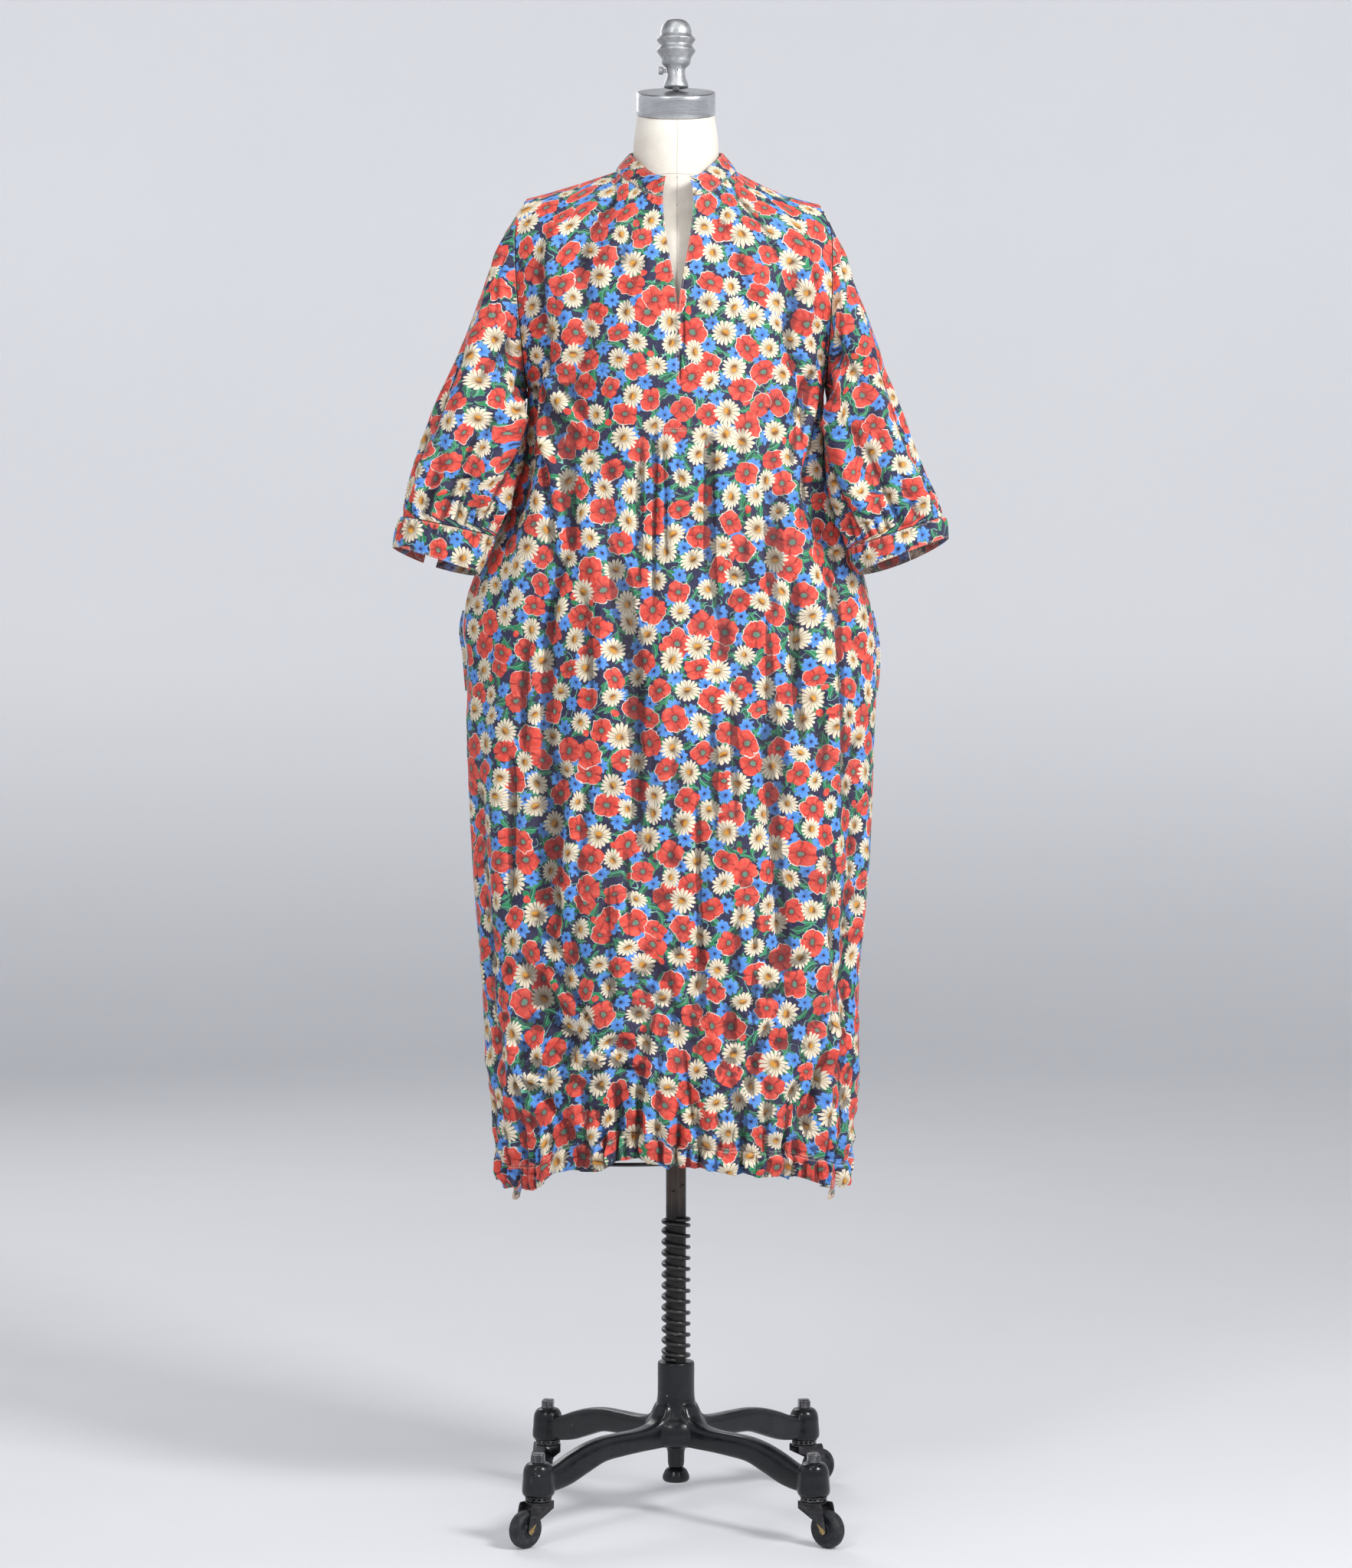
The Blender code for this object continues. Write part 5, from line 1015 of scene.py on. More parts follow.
def buildPanel(name, spec):
    face = spec["face"]
    armhole = spread(0, 1, 78)
    drop = np.concatenate([armhole, spread(1, 1.8, 120)[1:], spread(1.8, 2.0, 56)[1:]])
    underarm = len(armhole) - 1
    columns = panelColumns(face < 0)
    centre = np.argmin(np.abs(columns))
    grid, flatU = shapedPanel(face, drop, columns, spec["creases"], spec["seed"])
    grid[:, [0, -1], 1] += face * dress["seamGap"] / 2
    onShoulder = np.abs(grid[0, :, 0]) > dress["neckHalf"] - 0.001
    grid[0, onShoulder, 1] += face * dress["seamGap"] / 2
    # the walls of two pieces that are sewn together meet flush
    normals = facing(normalsOf(grid), (0, face, 0))
    normals[underarm:, [0, -1], 1] = 0.0
    normals[0, onShoulder, 1] = 0.0
    normals[-1, :, 2] = 0.0
    normals /= np.linalg.norm(normals, axis=2, keepdims=True)
    down = lengthAlong(grid, 0)
    level = down[:, centre : centre + 1] - down[underarm, centre]
    flatV = np.where(np.arange(len(drop))[:, None] < underarm, down - down[underarm : underarm + 1], level)
    flat = stacked(spec["cut"][0] - face * flatU, spec["cut"][1] - flatV)
    # the nearest seam: the sides, the armholes, the top and the hem
    fromSide = np.minimum(flatU - flatU[:, :1], flatU[:, -1:] - flatU)
    fromTop, fromHem = down, down[-1:] - down
    along = np.where(fromSide < np.minimum(fromTop, fromHem), down, flatU)
    fromTop = fromTop + np.where(onShoulder, dress["unsewn"], 0.0)
    near = (along, np.minimum(fromSide + dress["unsewn"], np.minimum(fromTop, fromHem)))
    if face < 0:
        near = withInnerSeams(near, flat, grid[:, centre, 2], level[:, 0])
    ways = np.concatenate([flat, np.stack(near, axis=-1)], axis=2)
    foot = None
    if face < 0:
        grid, normals, ways, foot = withSlit(columns, centre, grid, normals, ways, down, np.abs(flatU))
    spec["skin"] = skinTree(grid, normals)
    spec["hemV"] = ways[-1, 0, 1]
    spec["sideLine"] = {"left": grid[:, 0].copy(), "right": grid[:, -1].copy()}
    slitAt = (centre + 1, foot + 1) if foot else None
    parts = withTucks(grid, normals, ways)
    piece = clothShell(name + "Panel", *parts, dress["wall"], name, slitAt=slitAt)


for name, spec in panels.items():
    buildPanel(name, spec)
print("front and back made")


# ---- the drawstring casing: the panels' folds carried down, a little further in
casing = {
    "top": 0.0007, "height": 0.026, "inset": 0.003, "wall": 0.0016, "rows": 20,
    "puff": 0.005, "pleat": 0.0042, "pitch": 0.017, "ragged": 0.013,
}


def buildCasing(name, spec):
    face = spec["face"]
    share = spread(0, 1, casing["rows"])
    drop = 2 + casing["top"] + casing["height"] * share
    columns = panelColumns(face < 0)
    toSides = (1 - np.abs(columns) ** 10)[None, :]
    grid, flatU = shapedPanel(face, drop, columns, spec["creases"], spec["seed"])
    normals = facing(normalsOf(grid), (0, face, 0))
    bulge = np.sin(math.pi * share)[:, None]
    gathers = casing["pleat"] * wander(flatU, spec["seed"] + 7, casing["pitch"]) * (0.45 + 0.55 * bulge)
    inward = casing["inset"] * smooth(0, 0.45, share)[:, None] - casing["puff"] * bulge - gathers
    grid = grid - normals * (inward * toSides)[..., None]
    # the drawn-up cloth sags unevenly below the cord
    sag = valueNoise(flatU * 33 + 1, 0.5, spec["seed"] + 12)
    sag = sag + 0.5 * valueNoise(flatU * 78, 0.5, spec["seed"] + 13)
    grid[..., 2] -= casing["ragged"] * (sag - 0.55) * (share**1.5)[:, None] * toSides
    grid[:, [0, -1], 1] += face * dress["seamGap"] / 2
    normals = facing(normalsOf(grid), (0, face, 0))
    normals[0, :, 2] = 0.0
    normals[:, [0, -1], 1] = 0.0
    normals /= np.linalg.norm(normals, axis=2, keepdims=True)
    casing[name] = grid
    down = lengthAlong(grid, 0)
    fromSide = np.minimum(flatU - flatU[:, :1], flatU[:, -1:] - flatU) + dress["unsewn"]
    near = nearest((down, fromSide), (flatU, np.minimum(down, down[-1:] - down + dress["unsewn"])))
    ways = stacked(spec["cut"][0] - face * flatU, spec["hemV"] - down, *near)
    parts = withTucks(grid, normals, ways)
    piece = clothShell(f"{name}Casing", *parts, casing["wall"], f"casing_{name}")
    name + "Panel"


for name, spec in panels.items():
    buildCasing(name, spec)

# ---- the collar: a band that stands on the neckline, from one edge of the slit to the other
collar = {
    "wall": 0.0016, "rows": 20, "topHalf": 0.057, "topFront": -0.086, "topBack": 0.0582,
    "riseFront": 0.0235, "riseSide": 0.021, "riseBack": 0.029, "cut": (0.31, 0.87),
}


def neckPath(face, across):
    points = topEdge(across, face)
    if face < 0:
        middle = np.maximum(1 - (across / dress["neckShare"]) ** 2, 0) ** 2
        points[:, 0] += slit["centre"] * middle * smooth(0.9, 1.3, points[:, 2])
        side = np.where(across < 0, -1.0, 1.0)
        points[:, 0] += slit["half"] * side * np.maximum(1 - np.abs(across) / slit["easeTo"], 0)
    return points


def buildCollar():
    share = dress["neckShare"]
    toLeft, toRight = spread(-1e-6, -share, 70), spread(share, 1e-6, 70)
    behind = neckPath(1, spread(-share, share, 130))
    path = np.concatenate([neckPath(-1, toLeft)[:-1], behind, neckPath(-1, toRight)[1:]])
    aside = path[:, 0] / dress["neckHalf"]
    back = smooth(-0.02, dress["neckY"][1], path[:, 1])
    forward = path[:, 1] < dress["shoulderY"]
    neckY = np.where(forward, dress["neckY"][-1], dress["neckY"][1])
    topY = np.where(forward, collar["topFront"], collar["topBack"])
    ridge = dress["shoulderY"]
    depth = (path[:, 1] - ridge) / (neckY - ridge)
    top = stacked(collar["topHalf"] * aside, ridge + (topY - ridge) * depth, path[:, 2])
    tall = collar["riseFront"] + (collar["riseBack"] - collar["riseFront"]) * back
    tall += (collar["riseSide"] - tall) * 0.8 * aside**2
    rise = spread(0, 1, collar["rows"])[:, None]
    grid = path[None] + (top - path)[None] * (rise**1.3)[..., None]
    grid[..., 2] += dress["collarGap"] + tall[None] * rise
    normals = facing(normalsOf(grid), grid * (1, 0, 0))
    along = lengthAlong(grid, 1)
    along = along - along[:, -1:] / 2
    # the band is a little slack, more so beside the slit
    slack = 0.0011 * (valueNoise(along * 42 + 7, rise * 1.4, 71) - 0.5) * smooth(0, 0.25, rise)
    fromEnd = np.minimum(along - along[:, :1], along[:, -1:] - along)
    slack = slack + 0.0014 * smooth(0.03, 0.0, fromEnd) * rise * (1 - rise) * 4
    grid = grid + normals * slack[..., None]
    normals[0, :, 2] = 0.0
    normals /= np.linalg.norm(normals, axis=2, keepdims=True)
    up = lengthAlong(grid, 0)
    # the band's grain runs round the neck
    near = nearest((along, np.minimum(up, up[-1:] - up)), (up, fromEnd))
    ways = stacked(along + collar["cut"][0], up + collar["cut"][1], *near)
    parts = withTucks(grid, normals, ways, bottom=0, sides=0)
    piece = clothShell("collarBand", *parts, collar["wall"], "collar")


buildCollar()

# ---- the sleeves: set in low, gathered into the cuffs
# rings: along, outer edge x and z, inner edge x and z, half the depth, the middle's depth
sleeves = {
    "left": {
        "rings": millimetres((
            (0, 183, 1640, 183.6, 1402, 62, 6), (0.13, 215, 1588, 186.2, 1385, 68, 2),
            (0.27, 238, 1529, 185, 1362, 70, -6), (0.42, 257, 1475, 184, 1335, 69, -18),
            (0.65, 294, 1380, 192, 1292, 64, -36), (0.83, 316.5, 1313, 203, 1259, 59, -48),
            (1, 335, 1244.5, 220, 1220, 47, -56),
        ), bare=(0,)),
        "cuffRing": (0.3455, 1.2085, 0.24, 1.176, 0.044, -0.058), "backDrop": 0.01, "vent": 0.014,
        "seed": 51, "cut": 1.7, "cuffCut": 0.4, "sheet": (0.46, 0.42),
    },
    "right": {
        "rings": millimetres((
            (0, 175.7, 1633, 183, 1402, 62, 6), (0.13, 202, 1580, 185.5, 1383, 67, 0),
            (0.27, 223, 1526, 183, 1356, 68, -12), (0.42, 243, 1471.5, 181.5, 1324, 66, -26),
            (0.65, 278, 1362, 187, 1272, 58, -50), (0.83, 302, 1296, 196.5, 1238, 52, -62),
            (1, 326, 1244, 209.5, 1205, 40, -69),
        ), bare=(0,)),
        "cuffRing": (0.332, 1.2195, 0.2205, 1.177, 0.037, -0.068), "backDrop": 0.012, "vent": 0.0006,
        "seed": 61, "cut": 2.9, "cuffCut": 3.7, "sheet": (0.44, 0.43),
    },
}
sleeveForm = {
    "blend": 0.3, "girth": 0.4, "length": 0.42, "rows": 176, "columns": 150, "ventTurn": 0.783,
    "cuffGap": 0.0008, "cuffWall": 0.0016, "cuffRows": 30, "cuffColumns": 168, "area": 0.15,
}
# the large folds: turn and along at the top, turn and along below, width, rise
sleeveFolds = (
    (0.34, 0.02, 0.16, 0.55, 0.016, -0.009), (0.22, 0.04, 0.1, 0.5, 0.018, 0.007),
    (0.4, 0.2, 0.3, 0.98, 0.018, 0.008), (0.3, 0.4, 0.22, 1.05, 0.014, -0.007),
    (0.16, 0.35, 0.12, 1.05, 0.016, 0.006), (0.66, 0.05, 0.82, 0.6, 0.018, -0.008),
    (0.78, 0.3, 0.72, 1.0, 0.018, 0.007), (0.9, 0.4, 0.88, 1.05, 0.014, -0.005),
)
# finer creases: metres round from the outer edge (forward first) and metres down the sleeve
sleeveCreases = millimetres((
    (40, -20, 56, -150, 8, 2.8, 0, 4), (60, -10, 78, -110, 7, -2.8),
    (86, -12, 110, -95, 7, 3, 0, -3), (122, -20, 80, -130, 6.5, 3.6, 2, 4),
    (150, -26, 118, -150, 7, 4, 0, 4), (172, -30, 132, -120, 5.5, -4, 2, 3),
    (182, -70, 120, -190, 6, 4, 2, 5), (178, -130, 96, -236, 6.5, 3.6, 2, 6),
    (30, -170, 44, -330, 7.5, -3, 0, 3), (16, -220, 10, -390, 7, 3),
    (66, -200, 74, -350, 7, 3.4), (100, -250, 92, -400, 6, -3.4, 0, 3),
    (136, -220, 120, -390, 6.5, 3.6), (168, -210, 150, -380, 6, -3.6, 0, 4),
    (150, -300, 108, -352, 5, 3.8, 2, 3), (120, -330, 74, -366, 4.8, -3.4, 2, 2),
    (80, -372, 40, -388, 4.6, 3.4, 2, 2), (52, -340, 20, -372, 5, 3.2, 2),
    (190, -340, 160, -404, 5, 3.6, 2), (128, -372, 136, -410, 4.4, -3.4, 2),
    (372, -30, 350, -170, 8, 3), (340, -20, 316, -130, 7, -3, 0, 3),
    (300, -20, 326, -140, 6.5, 3.8, 2, -4), (262, -28, 296, -170, 7, 3.8, 0, -4),
    (236, -40, 280, -150, 5.5, -4, 2), (226, -110, 290, -220, 6, 3.8, 2, -5),
    (378, -200, 386, -360, 7, 3), (350, -230, 344, -390, 7, -3, 0, 3),
    (316, -220, 322, -380, 6.5, 3.4), (280, -240, 284, -400, 6, 3.4),
    (246, -230, 256, -390, 6.5, -3.4), (290, -320, 330, -362, 5, 3.6, 2, 3),
    (340, -350, 372, -380, 4.8, 3.4, 2), (222, -350, 250, -404, 5, 3.4, 2),
), bare=(6,))


def ovalRing(sign, turn, outX, outZ, inX, inZ, depth, middle):
    # turn is 0 on the outer edge, then forward
    share = (1 + np.cos(turn)) / 2
    return stacked(
        sign * (inX + (outX - inX) * share), middle - depth * np.sin(turn), inZ + (outZ - inZ) * share,
    )


def sleeveBare(side, along, turn):
    # the sleeve before its folds, drawn to the armhole that it starts from
    rings, sign = sleeves[side]["rings"], sides[side]["sign"]
    grid = ovalRing(sign, turn[None], *(curveAt(rings, along, k)[:, None] for k in range(1, 7)))
    face = np.where(np.sin(turn) >= 0, -1.0, 1.0)
    half = np.where(face < 0, turn % fullTurn, fullTurn - turn % fullTurn)
    armhole = armholeAt(half, sign, face, sides[side]["tipX"], sides[side]["tipZ"])
    start = ovalRing(sign, turn, *rings[0][1:])
    near = smooth(0, sleeveForm["blend"], along)[:, None]
    grid += (np.stack(armhole, axis=-1) - start)[None] * (1 - near)[..., None]
    gap = dress["armholeGap"] + dress["underarmGap"] * (1 - np.cos(turn)) / 2
    grid[..., 0] += sign * gap[None] * (1 - 0.8 * near)
    return grid


def ringNormals(grid):
    # the last column lies on the first
    wrapped = np.concatenate([grid[:, -2:-1], grid, grid[:, 1:2]], axis=1)
    return facing(normalsOf(wrapped)[:, 1:-1], grid - grid.mean(axis=1, keepdims=True))


def sleeveRise(a, place, seed):
    # how far the folds, gathers and creases of a sleeve stand out
    rise = np.zeros((len(a), place.shape[1]))
    girth, length = sleeveForm["girth"], sleeveForm["length"]
    for topTurn, topAlong, lowTurn, lowAlong, width, stand in sleeveFolds:
        share = (a - topAlong) / (lowAlong - topAlong)
        line = topTurn + (lowTurn - topTurn) * share
        away = ((place - line + 0.5) % 1 - 0.5) * girth / width
        rise += stand * smooth(0, 0.2, share) * (1 - smooth(0.8, 1, share)) * np.exp(-(away**2))
    near = smooth(0.6, 0.88, a) * (1 - smooth(0.9, 1.0, a))
    rise += 0.003 * np.cos(fullTurn * 9 * place) * near
    # uneven gathers that start at the cuff, each to its own height
    metres = place * girth
    reach = 0.5 + 0.5 * valueNoise(metres * 60 + 5, 0.5, seed)
    toCuff = smooth(1 - 0.3 * reach, 0.97, a) * (1 - 0.7 * smooth(0.975, 1.0, a))
    gathers = np.sin(fullTurn * (place * 23 + 0.55 * np.sin(fullTurn * place * 3)))
    tall = 0.35 + valueNoise(metres * 90 + 2, 0.5, seed + 2)
    rise += 0.0032 * gathers * tall * toCuff
    rise += 1.4 * creaseRise(metres, -a * length, sleeveCreases, girth)
    # fine crumple, drawn twice so that it closes round the sleeve
    fromSeam = 0.5 - np.abs(place - 0.5)
    near = 0.45 + 0.75 * smooth(0.55, 1.0, a) + 0.4 * smooth(0.35, 0.5, fromSeam)
    around = np.cos(fullTurn * place) * girth / fullTurn
    over = np.sin(fullTurn * place) * girth / fullTurn
    first = crinkle(metres, a * length, seed) * smooth(0, 0.04, fromSeam)
    second = crinkle(around * 1.6 + over, a * length, seed + 3)
    return rise + 0.0026 * near * (0.5 * first + 0.5 * second - 0.55)


def buildSleeve(side, spec):
    count, rows = sleeveForm["columns"], sleeveForm["rows"]
    # the columns start at the underarm seam
    turn = math.pi + fullTurn * np.arange(count + 1) / count
    a = (spread(0, 1, rows) ** 0.94)[:, None]
    grid = sleeveBare(side, a[:, 0], turn)
    rise = sleeveRise(a, ((turn / fullTurn) % 1)[None], spec["seed"])
    grid = grid + ringNormals(grid) * (rise * smooth(0, 0.12, a))[..., None]
    facingBody = smooth(0.15, 0.5, (1 - np.cos(turn)) / 2)[None]
    grid = keptOff(grid, 0.0018 * smooth(0.1, 0.2, a) * facingBody)
    grid[:, -1] = grid[:, 0]
    normals = ringNormals(grid)
    ringLength, down = lengthAlong(grid, 1), lengthAlong(grid, 0)
    # the cut: each column measured up from the cuff, and across it the true way between columns
    up = down[-1:] - down
    stepUp, stepRound = np.diff(up, axis=1), np.diff(ringLength, axis=1)
    stepAcross = np.sqrt(np.maximum(stepRound**2 - stepUp**2, (0.3 * stepRound) ** 2))
    flatU = np.concatenate([np.zeros((rows, 1)), np.cumsum(stepAcross, axis=1)], axis=1)
    flatU = flatU - flatU[:, count // 2 : count // 2 + 1]
    fromUnder = np.minimum(ringLength, ringLength[:, -1:] - ringLength) + dress["unsewn"]
    fromEnds = np.minimum(down + 0.0004, up + dress["unsewn"])
    ways = stacked(flatU + spec["cut"], up, *nearest((down, fromUnder), (flatU, fromEnds)))
    parts = withTucks(grid, normals, ways, sides=0)
    piece = clothShell(f"{side}Sleeve", *parts, dress["wall"], f"sleeve_{side}", closed=True)


def buildCuff(side, spec):
    sign, ring = sides[side]["sign"], spec["cuffRing"]
    count = sleeveForm["cuffColumns"]
    halfGap = spec["vent"] / 2 / ring[4] / 1.1
    start = sleeveForm["ventTurn"] * fullTurn + halfGap
    turn = start + (fullTurn - 2 * halfGap) * np.arange(count + 1) / count
    shift = (sign * (dress["armholeGap"] + dress["underarmGap"] / 2), 0, 0)
    upper = ovalRing(sign, turn, *spec["rings"][-1][1:]) + shift
    lower = ovalRing(sign, turn, *ring) + shift
    lower[:, 2] -= spec["backDrop"] * ((1 - np.sin(turn)) / 2) ** 2
    slope = lower - upper
    upper = upper + slope / np.linalg.norm(slope, axis=1, keepdims=True) * sleeveForm["cuffGap"]
    fall = spread(0, 1, sleeveForm["cuffRows"])[:, None]
    grid = upper[None] + (lower - upper)[None] * fall[..., None]
    normals = facing(normalsOf(grid), grid - grid.mean(axis=1, keepdims=True))
    along = lengthAlong(grid, 1)
    # slack between the two rows of stitches, and pulls from the gathers above
    rise = 0.0018 * np.sin(math.pi * fall)
    rise = rise + 0.003 * (valueNoise(along * 36 + 3, fall * 1.5, 81 + len(side)) - 0.5)
    pull = np.sin(along * fullTurn / 0.0125 + 3 * valueNoise(along * 40, 0.3, 83))
    rise = rise + 0.0013 * pull * (1 - fall)
    grid = grid + normals * (rise * smooth(0, 0.1, fall))[..., None]
    grid = keptOff(grid, 0.0021 + 0 * fall)
    down = lengthAlong(grid, 0)
    fromVent = np.minimum(along, along[:, -1:] - along)
    near = nearest((down, fromVent), (along, np.minimum(down, down[-1:] - down)))
    ways = stacked(along + spec["cuffCut"], 2.2 - down, *near)
    parts = withTucks(grid, normals, ways, bottom=0, sides=0, deep=0.0026)
    piece = clothShell(f"{side}Cuff", *parts, sleeveForm["cuffWall"], f"cuff_{side}")


for side, spec in sleeves.items():
    buildSleeve(side, spec)
    buildCuff(side, spec)
print("sleeves and cuffs made")

# ---- the pockets' lips: a folded edge that stands out of each side seam
pocket = {"top": 1.13, "height": 0.1, "lip": 0.003, "wall": 0.002, "gap": 0.0008, "around": 13}


def buildPocket(side):
    seamLine, sign = panels["front"]["sideLine"][side], sides[side]["sign"]
    share = spread(0, 1, 60)
    height = pocket["top"] - pocket["height"] * share
    order = np.argsort(seamLine[:, 2])
    out = np.interp(height, seamLine[order, 2], np.abs(seamLine[order, 0]))
    out = out + dress["wall"] / 2 + pocket["gap"]
    lip = pocket["lip"] * np.sin(math.pi * share) + pocket["wall"]
    turn = spread(-math.pi / 2, math.pi / 2, pocket["around"])
    x = out[:, None] + lip[:, None] * np.cos(turn)[None] ** 0.6
    y = 0.001 * np.sin(turn)[None] + (0.0004 * np.sin(share * 17) * np.sin(math.pi * share))[:, None]
    z = height[:, None] + 0 * x
    grid = stacked(sign * x, y, z)
    normals = facing(normalsOf(grid), (sign, 0, 0))
    flatU = lengthAlong(grid, 1) + 0.9
    middle = pocket["around"] // 2
    ways = stacked(flatU, -z, -z, np.abs(flatU - flatU[:, middle : middle + 1]))
    piece = clothShell(f"{side}PocketLip", grid, normals, ways, 0.0005, f"pocket_{side}")


for side in sides:
    buildPocket(side)

# ---- the drawstring's free ends: up the casing, aside, out from it
tie = {"half": 0.005, "wall": 0.0013, "away": 0.0021}
tieEnds = {
    "left": {"across": -0.67, "twist": -0.3, "rounded": 0.3, "fall": (
        (0.01, 0.001, -0.001), (0.001, 0.0, 0.0), (-0.007, -0.001, 0.0004), (-0.015, -0.002, 0.0002))},
    "right": {"across": 0.67, "twist": 0.45, "rounded": 0.2, "fall": (
        (0.011, 0.003, -0.001), (0.001, 0.002, 0.0), (-0.007, 0.0, 0.0006), (-0.016, -0.003, 0.0002))},
}


def buildTie(side, spec):
    grid = casing["front"]
    column = int(np.argmin(np.abs(panelColumns(True) - spec["across"])))
    foot = Vector(grid[-1, column])
    across = (Vector(grid[-1, column + 2]) - Vector(grid[-1, column - 2])).normalized()
    upward = (Vector(grid[-10, column]) - foot).normalized()
    outward = across.cross(upward).normalized()
    rows, columns = 34, 11
    step = spread(-1, 1, columns)
    points = np.zeros((rows, columns, 3))
    for row, (up, aside, out) in enumerate(between(spec["fall"], 11)[:rows]):
        share = row / (rows - 1)
        # the tape turns a little about its own length, and curls at its edges
        turn = spec["twist"] * smooth(0.2, 1.0, share)
        level = across * math.cos(turn) + outward * math.sin(turn)
        face = outward * math.cos(turn) - across * math.sin(turn)
        middle = foot + upward * up + across * aside + outward * (tie["away"] + out)
        narrow = 1 - 0.16 * share - spec["rounded"] * smooth(0.86, 1.0, share)
        for column, place in enumerate(step):
            curl = 0.0009 * place**2 + 0.0005 * math.sin(5 * place + 9 * share)
            points[row, column] = middle + level * (tie["half"] * place * narrow) - face * curl
    normals = facing(normalsOf(points), np.array(outward))
    down, aside = lengthAlong(points, 0), lengthAlong(points, 1)
    ways = stacked(aside + 5.31, down + 0.4, down, np.minimum(aside, aside[:, -1:] - aside))
    piece = clothShell(f"{side}Tie", points, normals, ways, tie["wall"], f"tie_{side}")
    piece.data.materials[0] = printWrong


for side, spec in tieEnds.items():
    buildTie(side, spec)
print("dress made")

# ---- materials of the form and its stand


def canvasMaterial():
    made, g, shader = newMaterial("canvasCover")
    place = g.term("ShaderNodeTexCoord", output="Object")
    at = g.split(place)
    turn = g.math("ARCTAN2", at[0], at[1] * -1.0)
    warp = g.sine(turn * 64.0)
    weft = g.sine(at[2] * (fullTurn * 1150))
    threads = g.sine(turn * 0.055 * (fullTurn * 1150))
    weave = threads * weft
    slub = g.noise(g.combine(turn * 2.0, at[2] * 60.0), 9.0, 3.0)
    cloudy = g.noise(place, 26.0, 4.0, 0.6)
    colour = g.mix(g.ramp(cloudy, 0.35, 0.7), (0.83, 0.785, 0.7), (0.76, 0.705, 0.61))
    colour = g.mix(g.ramp(slub, 0.45, 0.75, 0.0, 0.22), colour, (0.56, 0.51, 0.42))
    colour = g.mix(g.ramp(weave, 0.2, 0.9, 0.0, 0.12), colour, (0.5, 0.46, 0.39))
    # the seam down the centre front, and the one round the foot of the neck
    inFront = at[1] < 0.0
    wobble = (g.noise(place, 30.0) - 0.5) * 0.0012
    aside = abs(at[0] - 0.0012 + wobble)
    centre = g.ramp(aside, 0.0009, 0.0002) * inFront
    neckFoot = at[2] + at[1] * 0.25
    level = abs(neckFoot + wobble - 1.6465)
    groove = g.math("MAXIMUM", centre, g.ramp(level, 0.0009, 0.0002))
    colour = g.mix(groove * 0.42, colour, (0.33, 0.28, 0.22))
    g.put(shader.inputs["Base Color"], colour)
    g.put(shader.inputs["Roughness"], g.ramp(slub, 0.3, 0.7, 0.84, 0.95))
    shader.inputs["Sheen Weight"].default_value = 0.1
    height = weave * 0.2 - groove * 1.6
    height = height + slub * 0.5
    g.put(shader.inputs["Normal"], g.bump(height, 0.45, 0.0006))
    return made


def metalMaterial(name, spec):
    # base and second colour, the metal's roughness, streaks along one axis, and wear
    made, g, shader = newMaterial(name)
    place = g.term("ShaderNodeTexCoord", output="Object")
    at = g.split(place)
    stretched = g.combine(*[at[k] * spec["grain"][k] for k in range(3)])
    streak = g.noise(stretched, 1.0, 4.0, 0.65)
    cloudy = g.noise(place, spec["cloud"], 4.0, 0.6)
    colour = g.mix(g.ramp(cloudy, 0.35, 0.7), spec["base"], spec["second"])
    colour = g.mix(g.ramp(streak, 0.4, 0.75, 0.0, spec["streak"]), colour, spec["worn"])
    if "blackBelow" in spec:
        # painted black up to a ragged line
        height = at[2] + (streak - 0.5) * 0.06
        colour = g.mix(g.ramp(height, *spec["blackBelow"]), colour, (0.008, 0.008, 0.009))
    chips = g.ramp(g.noise(place, spec["chipScale"], 3.0, 0.7), spec["chipFrom"], spec["chipFrom"] + 0.02)
    colour = g.mix(chips, colour, spec["chip"])
    g.put(shader.inputs["Base Color"], colour)
    low, high = spec["roughness"]
    rough = g.ramp(streak * 0.6 + cloudy * 0.4, 0.3, 0.7, low, high)
    rough = g.math("ADD", rough, chips * 0.25, clamp=True)
    g.put(shader.inputs["Roughness"], rough)
    shader.inputs["Metallic"].default_value = spec["metallic"]
    shader.inputs["Specular IOR Level"].default_value = spec.get("specular", 0.5)
    if "coat" in spec:
        shader.inputs["Coat Weight"].default_value = spec["coat"]
        shader.inputs["Coat Roughness"].default_value = 0.12
    height = streak * spec["relief"] + cloudy * (spec["relief"] * 0.8)
    height = height - chips * 0.8
    g.put(shader.inputs["Normal"], g.bump(height, 0.35, spec["depth"]))
    return made


